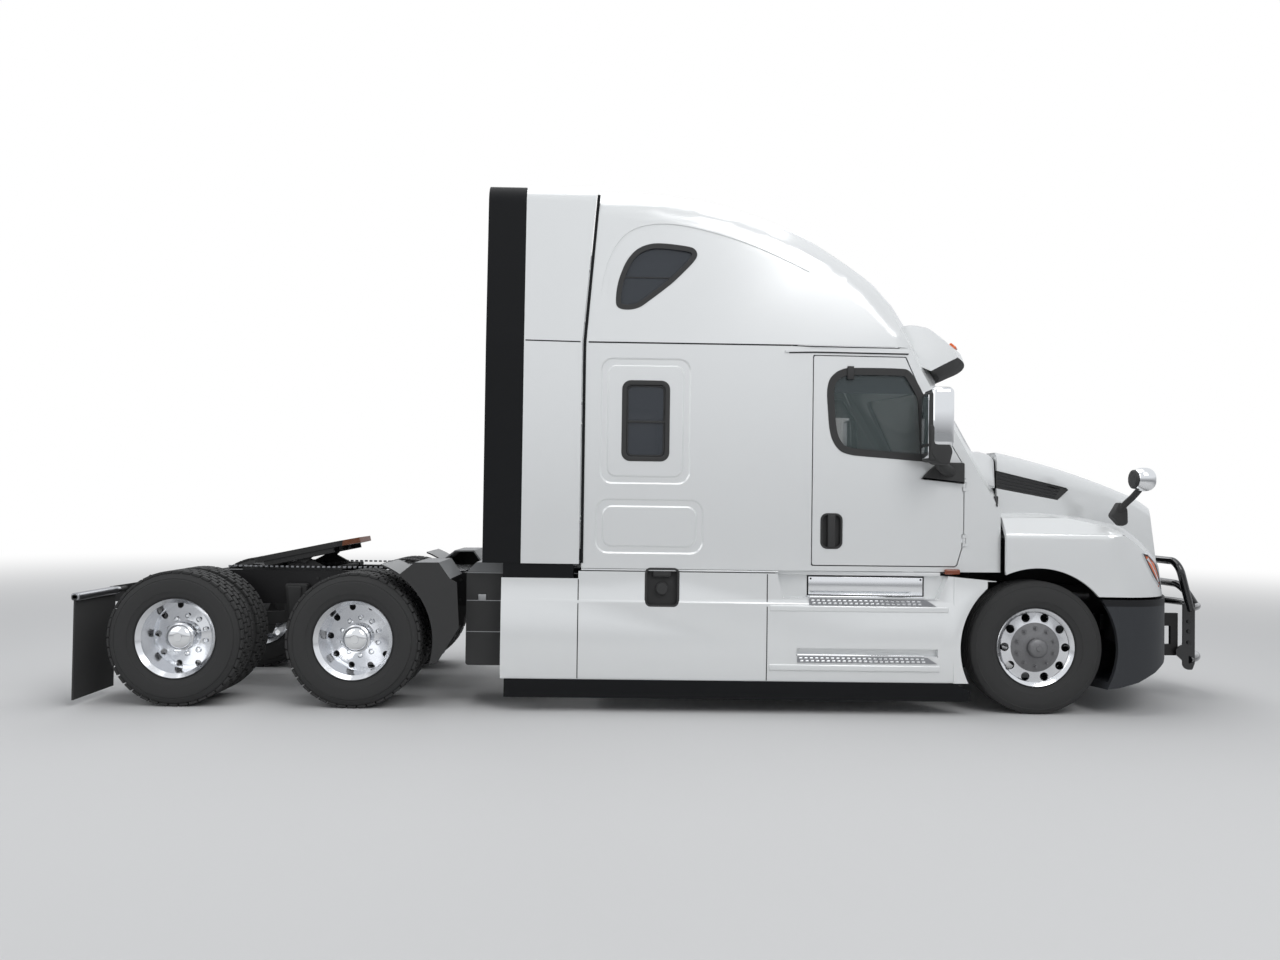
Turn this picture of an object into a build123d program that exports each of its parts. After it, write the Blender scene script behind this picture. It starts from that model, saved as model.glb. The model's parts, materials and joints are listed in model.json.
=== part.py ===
from build123d import *
import os
from math import cos, radians, sin, sqrt, tan

os.makedirs("parts", exist_ok=True)

# A three-axle sleeper-cab tractor unit. Millimetres, +X forward, +Y left, +Z up, standing on Z = 0.
# Stations along the truck are counted from the front axle, positive forward.

# Overall layout
WHEELBASE = 5770.0
TANDEM_SPACING = 1310.0
FRONT_REACH = 1800.0
REAR_REACH = 7280.0
FRONT_AXLE_X = (REAR_REACH - FRONT_REACH) / 2
SEAT_GAP = 0.3
MOVING_GAP = 8.0


def at(station):
    """X of a station counted from the front axle."""
    return FRONT_AXLE_X + station


DRIVE_AXLE_X = (
    at(-WHEELBASE + TANDEM_SPACING / 2),
    at(-WHEELBASE - TANDEM_SPACING / 2),
)
SIDES = (("right", -1), ("left", 1))

# Wheels and tyres
TYRE_RADIUS = 502.0
TYRE_WIDTH = 285.0
TREAD_WIDTH = 240.0
SHOULDER_DROP = 14.0
RIM_FLANGE_RADIUS = 298.5
RIM_FLANGE_WIDTH = 236.0
RIM_FLANGE_THICKNESS = 12.0
RIM_SEAT_RADIUS = 284.0
RIM_BARREL_RADIUS = 272.0
RIM_WALL = 10.0
BEAD_RADIUS = RIM_SEAT_RADIUS + SEAT_GAP
BEAD_WIDTH = RIM_FLANGE_WIDTH - 2 * RIM_FLANGE_THICKNESS - 2 * SEAT_GAP
HAND_HOLES = 10
HAND_HOLE_CIRCLE = 231.0
DRIVE_HAND_HOLE_RADIUS = 23.5
STEER_HAND_HOLE_RADIUS = 32.0
DRUM_RADIUS = 195.0
STEER_WHEEL_Y = 1030.0
TWIN_OUTER_Y = 1077.0
TWIN_SPACING = 330.0
TWIN_DISC_Y = TWIN_OUTER_Y - TWIN_SPACING / 2
DISC_THICKNESS = 24.0
SPINDLE_RADIUS = 55.0

# Steering
KINGPIN_Y = 900.0
KINGPIN_RADIUS = 24.0
KNUCKLE_BOSS_RADIUS = 42.0
KNUCKLE_HEIGHT = 150.0
AXLE_EYE_HEIGHT = 90.0
STEERING_ARM = 170.0
TIE_ROD_RADIUS = 20.0
TIE_ROD_DROP = 90.0
BALL_PIN_RADIUS = 12.0

# Frame
RAIL_OUTER_Y = 432.0
RAIL_HEIGHT = 270.0
RAIL_TOP = 962.0
RAIL_FLANGE = 88.0
RAIL_WALL = 12.0
RAIL_FRONT = 1150.0
RAIL_TAPER = 880.0
RAIL_TAPER_DROP = 150.0
FRONT_SLOPE_START = 40.0
FRONT_SLOPE_END = 110.0
CROSSMEMBER_WIDTH = 120.0
CROSSMEMBER_STATIONS = (820.0, -1100.0, -2300.0, -3300.0, -4250.0, -4800.0, -5770.0, -6900.0)

# Cab and sleeper
CAB_FLOOR = 1062.0
ROOF_SEAM = 2745.0
SLEEPER_REAR = -3430.0
SLEEPER_HALF_WIDTH = 1220.0
DOOR_REAR_HALF_WIDTH = 1190.0
DOOR_FRONT_HALF_WIDTH = 1145.0
COWL_HALF_WIDTH = 1112.0
NARROWING_REAR = -1880.0
DOOR_REAR = -1716.0
DOOR_FRONT = -550.0
FIREWALL = -262.0
CAB_WALL = 55.0
FLOOR_THICKNESS = 60.0
DOOR_THICKNESS = 75.0
DOOR_BOTTOM = 1098.0
DOOR_TOP = 2681.0
DOOR_HINGE_Z = (1300.0, 1720.0)
HINGE_STAND_OFF = 2.0
HINGE_BARREL = 11.0
HINGE_POCKET = 17.0
DOOR_PIN_RADIUS = 6.0
GLASS_THICKNESS = 8.0
GLASS_INSET = 14.0
SHIELD_SLOPE = 0.565
SHIELD_BASE_Z = 1900.0
SHIELD_BASE_CENTRE = -165.0
SHIELD_BASE_SIDE = -545.0

# Roof
ROOF_TOP = 3931.0
ROOF_WALL = 50.0
ROOF_SHOULDER_RADIUS = 240.0

# Wheel arches
ARCH_RADIUS = 600.0
ARCH_INNER_Y = 560.0

# Hood
HOOD_REAR = -248.0
HOOD_BOTTOM = 892.0
HOOD_WALL = 30.0
HOOD_FRONT = 1325.0
HOOD_HINGE_STATION = 1306.0
HOOD_HINGE_Z = 902.0
BONNET_HALF_WIDTH = 985.0
FENDER_HALF_WIDTH = 1196.0
NOSE_LEAN = 0.14
FENDER_SKEW = 0.5
FENDER_RISE = 0.06
FENDER_CORNER = 110.0
FENDER_MEASURED_Y = 1000.0
FENDER_PLANE_Y = 1300.0

# Bumper and guard
BUMPER_TOP = 872.0
BUMPER_WALL = 42.0
BUMPER_FRONT = 1345.0
BUMPER_SIDE_REAR = 480.0
BUMPER_SKEW = 0.5
GUARD_TUBE_RADIUS = 31.0
GUARD_PIVOT_STATION = 1450.0
GUARD_PIVOT_Z = 390.0
GUARD_PLATE_Y = 500.0
GUARD_PLATE_THICKNESS = 14.0
GUARD_PLATE_REAR = 1468.0
GUARD_PLATE_FRONT = 1567.0
GUARD_INNER_HOOP_Y = 300.0
GUARD_TUBE_HEIGHTS = (330.0, 750.0)
GUARD_HOOP_TOP = 1130.0
GUARD_INNER_HOOP_TOP = 930.0
GUARD_LEAN = 0.26
GUARD_BRACKET_THICKNESS = 32.0
BRACKET_ARMS = ((358.0, 450.0), (600.0, 705.0))
GUARD_PIN_RADIUS = 14.0

# Skirts and steps
SKIRT_HALF_WIDTH = 1232.0
SKIRT_WALL = 26.0
SKIRT_TOP = 985.0
SKIRT_BOTTOM = 240.0
SKIRT_REAR = -4020.0
SKIRT_JOINTS = (-3450.0, -2045.0)
RUBBER_BOTTOM = 105.0
UPPER_STEP_Z = 858.0
LOWER_STEP_Z = 431.0
STEP_RECESS = 115.0
STEP_BLOCK = STEP_RECESS + 35.0

# Side extenders
EXTENDER_REAR = -3880.0
EXTENDER_RUBBER_REAR = -4165.0
EXTENDER_TOP = 3950.0
EXTENDER_BOTTOM = 1092.0
EXTENDER_WALL = 34.0

# Fifth wheel
FIFTH_WHEEL_STATION = -5720.0
FIFTH_WHEEL_PIVOT_Z = 1060.0
FIFTH_WHEEL_LENGTH = 830.0
FIFTH_WHEEL_WIDTH = 914.0
FIFTH_WHEEL_PLATE = 44.0
FIFTH_WHEEL_REST_TILT = 12.0
KINGPIN_JAW_RADIUS = 25.4


def outline(points, corner=0.0, plane=Plane.XY):
    """Closed outline of straight runs; corner is one radius or a list with one for each point."""
    with BuildSketch(plane) as shape:
        with BuildLine():
            if corner:
                FilletPolyline(*points, radius=corner, close=True)
            else:
                Polyline(*points, close=True)
        make_face()
    return shape.sketch


def mirrored(half_points):
    """A half outline, given from the front to the rear at positive Y, with its other half."""
    return list(half_points) + [(x, -y) for x, y in reversed(half_points) if y != 0]


def write(part, name):
    """Labels a finished part and writes it."""
    part.part.label = name
    export_step(part.part, f"parts/{name}.step")


def wheel_plane(x, y, side):
    """Plane at a wheel's centre whose local X is the radius and local Y points out of the truck."""
    return Plane(origin=(x, y, TYRE_RADIUS), x_dir=(side, 0, 0), z_dir=(0, 0, 1))


def wheel_face(x, y, side):
    """Plane across a wheel's axis, facing out of the truck."""
    return Plane(origin=(x, y, TYRE_RADIUS), x_dir=(1, 0, 0), z_dir=(0, side, 0))


def wheel_axis(x):
    """Axis of a wheel at X."""
    return Axis((x, 0, TYRE_RADIUS), (0, 1, 0))


def arch_cylinder():
    """Space that the steered wheels sweep, from the springs out past the body."""
    with BuildPart() as space:
        for _, side in SIDES:
            with BuildSketch(wheel_face(at(0), side * ARCH_INNER_Y, side)):
                Circle(ARCH_RADIUS)
            extrude(amount=900)
    return space.part


def three_views(side_view, plan_view, front_view):
    """The body whose side, plan and front outlines are the three given sketches."""
    with BuildPart() as body:
        extrude(side_view, amount=1600, both=True)
        extrude(plan_view, amount=4600, mode=Mode.INTERSECT)
        if front_view is not None:
            extrude(front_view, amount=6000, both=True, mode=Mode.INTERSECT)
    return body.part


# Tyres
def tyre(x, y):
    """One tyre about the wheel centre at X, Y."""
    half = TYRE_WIDTH / 2
    with BuildPart() as ring:
        with BuildSketch(wheel_plane(x, y, 1)):
            with BuildLine():
                Polyline(
                    (BEAD_RADIUS, -BEAD_WIDTH / 2),
                    (RIM_FLANGE_RADIUS + 1, -BEAD_WIDTH / 2),
                    (RIM_FLANGE_RADIUS + 14, -BEAD_WIDTH / 2 - 10),
                    (RIM_FLANGE_RADIUS + 70, -half + 4),
                    (RIM_FLANGE_RADIUS + 130, -half),
                    (TYRE_RADIUS - SHOULDER_DROP - 22, -TREAD_WIDTH / 2 - 10),
                    (TYRE_RADIUS - SHOULDER_DROP / 2, -TREAD_WIDTH / 2 + 10),
                    (TYRE_RADIUS, -TREAD_WIDTH / 4),
                    (TYRE_RADIUS, TREAD_WIDTH / 4),
                    (TYRE_RADIUS - SHOULDER_DROP / 2, TREAD_WIDTH / 2 - 10),
                    (TYRE_RADIUS - SHOULDER_DROP - 22, TREAD_WIDTH / 2 + 10),
                    (RIM_FLANGE_RADIUS + 130, half),
                    (RIM_FLANGE_RADIUS + 70, half - 4),
                    (RIM_FLANGE_RADIUS + 14, BEAD_WIDTH / 2 + 10),
                    (RIM_FLANGE_RADIUS + 1, BEAD_WIDTH / 2),
                    (BEAD_RADIUS, BEAD_WIDTH / 2),
                    close=True,
                )
            make_face()
        revolve(axis=wheel_axis(x))
    return ring.part


for side_name, side in SIDES:
    with BuildPart() as steer_tyre:
        add(tyre(at(0), side * STEER_WHEEL_Y))
    write(steer_tyre, f"steer_tyre_{side_name}")

for axle_name, axle_x in zip(("front", "rear"), DRIVE_AXLE_X):
    for side_name, side in SIDES:
        with BuildPart() as twin_tyres:
            for y in (TWIN_OUTER_Y, TWIN_OUTER_Y - TWIN_SPACING):
                add(tyre(axle_x, side * y))
        write(twin_tyres, f"{axle_name}_drive_tyres_{side_name}")


# Rims
FLANGE_OUT = RIM_FLANGE_WIDTH / 2
SEAT_A = FLANGE_OUT - RIM_FLANGE_THICKNESS
HUB_RADIUS = 105.0
HUB_FACE_RADIUS = 186.0
CAP_RADIUS = 73.0

for side_name, side in SIDES:
    wheel_y = side * STEER_WHEEL_Y
    with BuildPart() as steer_rim:
        with BuildSketch(wheel_plane(at(0), wheel_y, side)):
            with BuildLine():
                Polyline(
                    (0, 172),
                    (CAP_RADIUS - 12, 172),
                    (CAP_RADIUS, 158),
                    (CAP_RADIUS, 120),
                    (HUB_RADIUS, 116),
                    (HUB_FACE_RADIUS, 96),
                    (RIM_BARREL_RADIUS - 14, 92),
                    (RIM_BARREL_RADIUS - 4, 104),
                    (RIM_FLANGE_RADIUS - 6, FLANGE_OUT),
                    (RIM_FLANGE_RADIUS, FLANGE_OUT - 6),
                    (RIM_FLANGE_RADIUS, SEAT_A),
                    (RIM_SEAT_RADIUS, SEAT_A),
                    (RIM_BARREL_RADIUS, 70),
                    (RIM_BARREL_RADIUS, -70),
                    (RIM_SEAT_RADIUS, -SEAT_A),
                    (RIM_FLANGE_RADIUS, -SEAT_A),
                    (RIM_FLANGE_RADIUS, -FLANGE_OUT),
                    (RIM_BARREL_RADIUS - RIM_WALL, -FLANGE_OUT + 20),
                    (RIM_BARREL_RADIUS - RIM_WALL, 74),
                    (DRUM_RADIUS, 74),
                    (DRUM_RADIUS, -62),
                    (SPINDLE_RADIUS + SEAT_GAP, -62),
                    (SPINDLE_RADIUS + SEAT_GAP, 60),
                    (0, 60),
                    close=True,
                )
            make_face()
        revolve(axis=wheel_axis(at(0)))
        with BuildSketch(wheel_face(at(0), wheel_y, side)):
            with PolarLocations(HAND_HOLE_CIRCLE, HAND_HOLES):
                Circle(STEER_HAND_HOLE_RADIUS)
        extrude(amount=140, mode=Mode.SUBTRACT)
    write(steer_rim, f"steer_rim_{side_name}")

TWIN_SHIFT = TWIN_SPACING / 2
INNER_FLANGE = TWIN_SHIFT - FLANGE_OUT
OUTER_FLANGE = TWIN_SHIFT + FLANGE_OUT


def twin_barrel_half(sign):
    """Outline points of one rim of a twin wheel, from its outer face in to the disc and out again."""
    return [
        (r, sign * a)
        for r, a in (
            (HAND_HOLE_CIRCLE + 10, DISC_THICKNESS / 2),
            (RIM_BARREL_RADIUS - RIM_WALL, DISC_THICKNESS / 2 + 30),
            (RIM_BARREL_RADIUS - RIM_WALL, OUTER_FLANGE - 30),
            (RIM_FLANGE_RADIUS - 6, OUTER_FLANGE),
            (RIM_FLANGE_RADIUS, OUTER_FLANGE - 6),
            (RIM_FLANGE_RADIUS, TWIN_SHIFT + SEAT_A),
            (RIM_SEAT_RADIUS, TWIN_SHIFT + SEAT_A),
            (RIM_BARREL_RADIUS, OUTER_FLANGE - 46),
            (RIM_BARREL_RADIUS, INNER_FLANGE + 46),
            (RIM_SEAT_RADIUS, TWIN_SHIFT - SEAT_A),
            (RIM_FLANGE_RADIUS, TWIN_SHIFT - SEAT_A),
            (RIM_FLANGE_RADIUS, INNER_FLANGE),
        )
    ]


for axle_name, axle_x in zip(("front", "rear"), DRIVE_AXLE_X):
    for side_name, side in SIDES:
        disc_y = side * TWIN_DISC_Y
        with BuildPart() as twin_rims:
            with BuildSketch(wheel_plane(axle_x, disc_y, side)):
                with BuildLine():
                    Polyline(
                        (0, 232),
                        (HUB_RADIUS - 45, 226),
                        (HUB_RADIUS, 196),
                        (HUB_RADIUS, 60),
                        (HUB_FACE_RADIUS - 20, 34),
                        *twin_barrel_half(1),
                        (RIM_BARREL_RADIUS, DISC_THICKNESS / 2),
                        (RIM_BARREL_RADIUS, -DISC_THICKNESS / 2),
                        *reversed(twin_barrel_half(-1)),
                        (DRUM_RADIUS, -DISC_THICKNESS / 2),
                        (DRUM_RADIUS, -240),
                        (SPINDLE_RADIUS + SEAT_GAP, -240),
                        (SPINDLE_RADIUS + SEAT_GAP, 60),
                        (0, 60),
                        close=True,
                    )
                make_face()
            revolve(axis=wheel_axis(axle_x))
            with BuildSketch(wheel_face(axle_x, disc_y, side)):
                with PolarLocations(HAND_HOLE_CIRCLE, HAND_HOLES):
                    Circle(DRIVE_HAND_HOLE_RADIUS)
            extrude(amount=80, both=True, mode=Mode.SUBTRACT)
        write(twin_rims, f"{axle_name}_drive_rims_{side_name}")


# Steering knuckles, front axle and tie rod
KNUCKLE_LOW = TYRE_RADIUS - KNUCKLE_HEIGHT / 2
HUB_INNER_Y = STEER_WHEEL_Y - 62
SPINDLE_END_Y = STEER_WHEEL_Y + 50
ARM_Z = TYRE_RADIUS - TIE_ROD_DROP
ARM_THICKNESS = 30.0
ARM_HALF_WIDTH = 24.0
EYE_CUT = 130.0

for side_name, side in SIDES:
    with BuildPart() as knuckle:
        with BuildSketch(Plane.XY.offset(KNUCKLE_LOW)):
            with Locations((at(0), side * KINGPIN_Y)):
                Circle(KNUCKLE_BOSS_RADIUS)
        extrude(amount=KNUCKLE_HEIGHT)
        with BuildSketch(wheel_face(at(0), side * (KINGPIN_Y + 20), side)):
            Circle(KNUCKLE_HEIGHT / 2)
        extrude(amount=HUB_INNER_Y - MOVING_GAP - KINGPIN_Y - 20)
        with BuildSketch(wheel_face(at(0), side * (KINGPIN_Y + 20), side)):
            Circle(SPINDLE_RADIUS)
        extrude(amount=SPINDLE_END_Y - KINGPIN_Y - 20)
        with BuildSketch(Plane.XY.offset(TYRE_RADIUS)):
            with Locations((at(0), side * (KINGPIN_Y - EYE_CUT / 2 + KNUCKLE_BOSS_RADIUS + 4))):
                Rectangle(200, EYE_CUT)
        extrude(amount=AXLE_EYE_HEIGHT / 2 + SEAT_GAP, both=True, mode=Mode.SUBTRACT)
        with BuildSketch(Plane.XY.offset(KNUCKLE_LOW)):
            with Locations((at(0), side * KINGPIN_Y)):
                Circle(KINGPIN_RADIUS)
        extrude(amount=KNUCKLE_HEIGHT)
        with BuildSketch(Plane.XY.offset(ARM_Z - ARM_THICKNESS / 2)):
            with Locations((at(-STEERING_ARM / 2), side * KINGPIN_Y)):
                SlotCenterToCenter(STEERING_ARM, 2 * ARM_HALF_WIDTH)
        extrude(amount=ARM_THICKNESS)
        with BuildSketch(Plane.XY.offset(ARM_Z - ARM_THICKNESS / 2)):
            with Locations((at(-STEERING_ARM), side * KINGPIN_Y)):
                Circle(BALL_PIN_RADIUS + SEAT_GAP)
        extrude(amount=ARM_THICKNESS, mode=Mode.SUBTRACT)
    write(knuckle, f"steering_knuckle_{side_name}")

ROD_Z = ARM_Z - ARM_THICKNESS / 2 - TIE_ROD_RADIUS - 12
with BuildPart() as tie_rod:
    with BuildSketch(Plane.XZ.offset(-KINGPIN_Y)):
        with Locations((at(-STEERING_ARM), ROD_Z)):
            Circle(TIE_ROD_RADIUS)
    extrude(amount=2 * KINGPIN_Y)
    for _, side in SIDES:
        with BuildSketch(Plane.XY.offset(ROD_Z - 26)):
            with Locations((at(-STEERING_ARM), side * KINGPIN_Y)):
                Circle(30)
        extrude(amount=52)
        with BuildSketch(Plane.XY.offset(ROD_Z)):
            with Locations((at(-STEERING_ARM), side * KINGPIN_Y)):
                Circle(BALL_PIN_RADIUS)
        extrude(amount=ARM_Z + ARM_THICKNESS / 2 - ROD_Z)
write(tie_rod, "tie_rod")

SPRING_Y = RAIL_OUTER_Y - 45.0
SPRING_WIDTH = 100.0
SPRING_FRONT = 690.0
SPRING_REAR = -760.0
SPRING_EYE_Z = RAIL_TOP - RAIL_HEIGHT - 60.0
BEAM_Z = 430.0
BEAM_HEIGHT = 110.0
BEAM_DEPTH = 100.0
SPRING_SEAT_Z = BEAM_Z + BEAM_HEIGHT / 2

with BuildPart() as front_axle:
    with BuildSketch(Plane.YZ.offset(at(0) - BEAM_DEPTH / 2)):
        with BuildLine():
            Polyline(
                (-KINGPIN_Y, TYRE_RADIUS + AXLE_EYE_HEIGHT / 2),
                (-KINGPIN_Y + 140, TYRE_RADIUS + AXLE_EYE_HEIGHT / 2),
                (-SPRING_Y - 120, SPRING_SEAT_Z),
                (SPRING_Y + 120, SPRING_SEAT_Z),
                (KINGPIN_Y - 140, TYRE_RADIUS + AXLE_EYE_HEIGHT / 2),
                (KINGPIN_Y, TYRE_RADIUS + AXLE_EYE_HEIGHT / 2),
                (KINGPIN_Y, TYRE_RADIUS - AXLE_EYE_HEIGHT / 2),
                (KINGPIN_Y - 140, TYRE_RADIUS - AXLE_EYE_HEIGHT / 2),
                (SPRING_Y + 120, SPRING_SEAT_Z - BEAM_HEIGHT),
                (-SPRING_Y - 120, SPRING_SEAT_Z - BEAM_HEIGHT),
                (-KINGPIN_Y + 140, TYRE_RADIUS - AXLE_EYE_HEIGHT / 2),
                (-KINGPIN_Y, TYRE_RADIUS - AXLE_EYE_HEIGHT / 2),
                close=True,
            )
        make_face()
    extrude(amount=BEAM_DEPTH)
    for _, side in SIDES:
        with BuildSketch(Plane.XY.offset(TYRE_RADIUS)):
            with Locations((at(0), side * (KINGPIN_Y + 40))):
                Rectangle(2 * BEAM_DEPTH, 80 + 2 * KNUCKLE_BOSS_RADIUS)
        extrude(amount=AXLE_EYE_HEIGHT, both=True, mode=Mode.SUBTRACT)
        with BuildSketch(Plane.XY.offset(TYRE_RADIUS)):
            with Locations((at(0), side * (KINGPIN_Y - 30))):
                Rectangle(2 * KNUCKLE_BOSS_RADIUS, 60)
            with Locations((at(0), side * KINGPIN_Y)):
                Circle(KNUCKLE_BOSS_RADIUS)
        extrude(amount=AXLE_EYE_HEIGHT / 2, both=True)
        with BuildSketch(Plane.XY.offset(TYRE_RADIUS)):
            with Locations((at(0), side * KINGPIN_Y)):
                Circle(KINGPIN_RADIUS + SEAT_GAP)
        extrude(amount=AXLE_EYE_HEIGHT, both=True, mode=Mode.SUBTRACT)
        with BuildSketch(Plane.XZ.offset(-side * SPRING_Y)):
            with BuildLine():
                ThreePointArc(
                    (at(SPRING_REAR), SPRING_EYE_Z),
                    (at(0), SPRING_SEAT_Z),
                    (at(SPRING_FRONT), SPRING_EYE_Z),
                )
                Line((at(SPRING_FRONT), SPRING_EYE_Z), (at(SPRING_FRONT), SPRING_EYE_Z + 20))
                ThreePointArc(
                    (at(SPRING_FRONT), SPRING_EYE_Z + 20),
                    (at(0), SPRING_SEAT_Z + 60),
                    (at(SPRING_REAR), SPRING_EYE_Z + 20),
                )
                Line((at(SPRING_REAR), SPRING_EYE_Z + 20), (at(SPRING_REAR), SPRING_EYE_Z))
            make_face()
        extrude(amount=SPRING_WIDTH / 2, both=True)
        for station in (SPRING_FRONT, SPRING_REAR):
            with BuildSketch(Plane.XZ.offset(-side * SPRING_Y)):
                with BuildLine():
                    Polyline(
                        (at(station) - 30, SPRING_EYE_Z - 20),
                        (at(station) + 30, SPRING_EYE_Z - 20),
                        (at(station) + 55, RAIL_TOP - RAIL_HEIGHT),
                        (at(station) - 55, RAIL_TOP - RAIL_HEIGHT),
                        close=True,
                    )
                make_face()
            extrude(amount=SPRING_WIDTH / 2 + 6, both=True)
write(front_axle, "front_axle")


# Frame rails with crossmembers, the front horns and the guard's pivot brackets
RAIL_BOTTOM = RAIL_TOP - RAIL_HEIGHT
FRAME_END_X = at(-REAR_REACH)
HOOD_BRACKET_Y = 218.0
HOOD_BRACKET_THICKNESS = 20.0
HOOD_PIN_RADIUS = 8.0
CAB_MOUNT_STATIONS = (-900.0, -3200.0)
OUTRIGGERS = (
    (-3600.0, SKIRT_HALF_WIDTH - SKIRT_WALL),
    (-2080.0, SKIRT_HALF_WIDTH - SKIRT_WALL),
    (-1760.0, SKIRT_HALF_WIDTH - STEP_BLOCK),
    (-750.0, SKIRT_HALF_WIDTH - STEP_BLOCK),
)
OUTRIGGER_Z = 900.0

with BuildPart() as frame_rails:
    for _, side in SIDES:
        with BuildSketch(Plane.XZ.offset(-side * RAIL_OUTER_Y)):
            with BuildLine():
                Polyline(
                    (at(RAIL_FRONT), RAIL_BOTTOM + 60),
                    (at(RAIL_FRONT), RAIL_TOP - FRONT_SLOPE_END),
                    (at(SPRING_FRONT), RAIL_TOP - FRONT_SLOPE_START),
                    (at(SPRING_REAR), RAIL_TOP),
                    (FRAME_END_X + RAIL_TAPER, RAIL_TOP),
                    (FRAME_END_X, RAIL_TOP - RAIL_TAPER_DROP),
                    (FRAME_END_X, RAIL_BOTTOM),
                    (at(SPRING_FRONT) + 60, RAIL_BOTTOM),
                    close=True,
                )
            make_face()
        extrude(amount=side * RAIL_FLANGE)
        with BuildSketch(Plane.XZ.offset(-side * (RAIL_OUTER_Y - RAIL_WALL))):
            with BuildLine():
                Polyline(
                    (at(RAIL_FRONT) + 1, RAIL_BOTTOM + 60 + RAIL_WALL),
                    (at(RAIL_FRONT) + 1, RAIL_TOP - FRONT_SLOPE_END - RAIL_WALL),
                    (at(SPRING_FRONT), RAIL_TOP - FRONT_SLOPE_START - RAIL_WALL),
                    (at(SPRING_REAR), RAIL_TOP - RAIL_WALL),
                    (FRAME_END_X + RAIL_TAPER, RAIL_TOP - RAIL_WALL),
                    (FRAME_END_X - 1, RAIL_TOP - RAIL_TAPER_DROP - RAIL_WALL),
                    (FRAME_END_X - 1, RAIL_BOTTOM + RAIL_WALL),
                    (at(SPRING_FRONT) + 60, RAIL_BOTTOM + RAIL_WALL),
                    close=True,
                )
            make_face()
        extrude(amount=side * RAIL_FLANGE, mode=Mode.SUBTRACT)
    for station in CROSSMEMBER_STATIONS:
        with BuildSketch(Plane.YZ.offset(at(station) - CROSSMEMBER_WIDTH / 2)):
            with BuildLine():
                Polyline(
                    (-RAIL_OUTER_Y + RAIL_WALL, RAIL_BOTTOM + 60),
                    (RAIL_OUTER_Y - RAIL_WALL, RAIL_BOTTOM + 60),
                    (RAIL_OUTER_Y - RAIL_WALL, RAIL_BOTTOM + 140),
                    (-RAIL_OUTER_Y + RAIL_WALL, RAIL_BOTTOM + 140),
                    close=True,
                )
            make_face()
        extrude(amount=CROSSMEMBER_WIDTH)
    for _, side in SIDES:
        with BuildSketch(Plane.XZ.offset(-side * RAIL_OUTER_Y)):
            add(
                outline(
                    [
                        (at(1050), 752),
                        (at(1050), 846),
                        (at(RAIL_FRONT), 846),
                        (at(1230), BRACKET_ARMS[1][1]),
                        (at(1445), BRACKET_ARMS[1][1]),
                        (at(1445), GUARD_PIVOT_Z),
                        (at(GUARD_PIVOT_STATION), BRACKET_ARMS[0][0]),
                        (at(1230), BRACKET_ARMS[0][0]),
                        (at(1130), 752),
                    ]
                )
            )
            with Locations((at(GUARD_PIVOT_STATION), GUARD_PIVOT_Z)):
                Circle(GUARD_PIVOT_Z - BRACKET_ARMS[0][0])
                Circle(GUARD_PIN_RADIUS + SEAT_GAP, mode=Mode.SUBTRACT)
            with Locations((at(1300), (BRACKET_ARMS[0][1] + BRACKET_ARMS[1][0]) / 2)):
                Rectangle(170, BRACKET_ARMS[1][0] - BRACKET_ARMS[0][1], mode=Mode.SUBTRACT)
        extrude(amount=-side * GUARD_BRACKET_THICKNESS)
        with BuildSketch(Plane.XZ.offset(-side * (HOOD_BRACKET_Y))):
            with BuildLine():
                Polyline(
                    (at(RAIL_FRONT) - 50, 770),
                    (at(RAIL_FRONT) + 50, 770),
                    (at(HOOD_HINGE_STATION) - 44, BUMPER_TOP + MOVING_GAP),
                    (at(HOOD_HINGE_STATION) + 12, HOOD_HINGE_Z - 8),
                    (at(HOOD_HINGE_STATION) - 12, HOOD_HINGE_Z + 12),
                    (at(RAIL_FRONT) - 50, 840),
                    close=True,
                )
            make_face()
            with Locations((at(HOOD_HINGE_STATION), HOOD_HINGE_Z)):
                Circle(14)
        extrude(amount=-side * HOOD_BRACKET_THICKNESS)
        with BuildSketch(Plane.XZ.offset(-side * (HOOD_BRACKET_Y))):
            with Locations((at(HOOD_HINGE_STATION), HOOD_HINGE_Z)):
                Circle(HOOD_PIN_RADIUS)
        extrude(amount=side * 36)
        for station in CAB_MOUNT_STATIONS:
            with BuildSketch(Plane.XY.offset(RAIL_TOP - 1)):
                with Locations((at(station), side * (RAIL_OUTER_Y - RAIL_FLANGE / 2))):
                    Rectangle(150, RAIL_FLANGE)
            extrude(amount=CAB_FLOOR - RAIL_TOP + 1 - SEAT_GAP)
        for station, reach in OUTRIGGERS:
            with BuildSketch(Plane.XZ.offset(-side * (RAIL_OUTER_Y - 1))):
                with Locations((at(station), OUTRIGGER_Z)):
                    Rectangle(60, 50)
            extrude(amount=-side * (reach - SEAT_GAP - RAIL_OUTER_Y + 1))
    with BuildSketch(Plane.YZ.offset(at(RAIL_FRONT) - 50)):
        with Locations((0, 800)):
            Rectangle(2 * (RAIL_OUTER_Y - RAIL_WALL), 70)
    extrude(amount=50)
write(frame_rails, "frame_rails")


def rail_top(station):
    """Height of the rails' top where they slope down to their front ends."""
    share = (station - SPRING_FRONT) / (RAIL_FRONT - SPRING_FRONT)
    return RAIL_TOP - FRONT_SLOPE_START - share * (FRONT_SLOPE_END - FRONT_SLOPE_START)


# Engine and radiator
ENGINE_FRONT = 760.0
ENGINE_REAR = -230.0
ENGINE_HALF_WIDTH = 310.0
ENGINE_LOW = 640.0
ENGINE_TOP = 1500.0
RADIATOR_STATION = 985.0
RADIATOR_THICKNESS = 110.0
RADIATOR_HALF_WIDTH = 450.0
RADIATOR_TOP = 1500.0
RADIATOR_LOW = rail_top(RADIATOR_STATION - RADIATOR_THICKNESS / 2) + SEAT_GAP
SUPPORT_FOOT = 60.0

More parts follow.
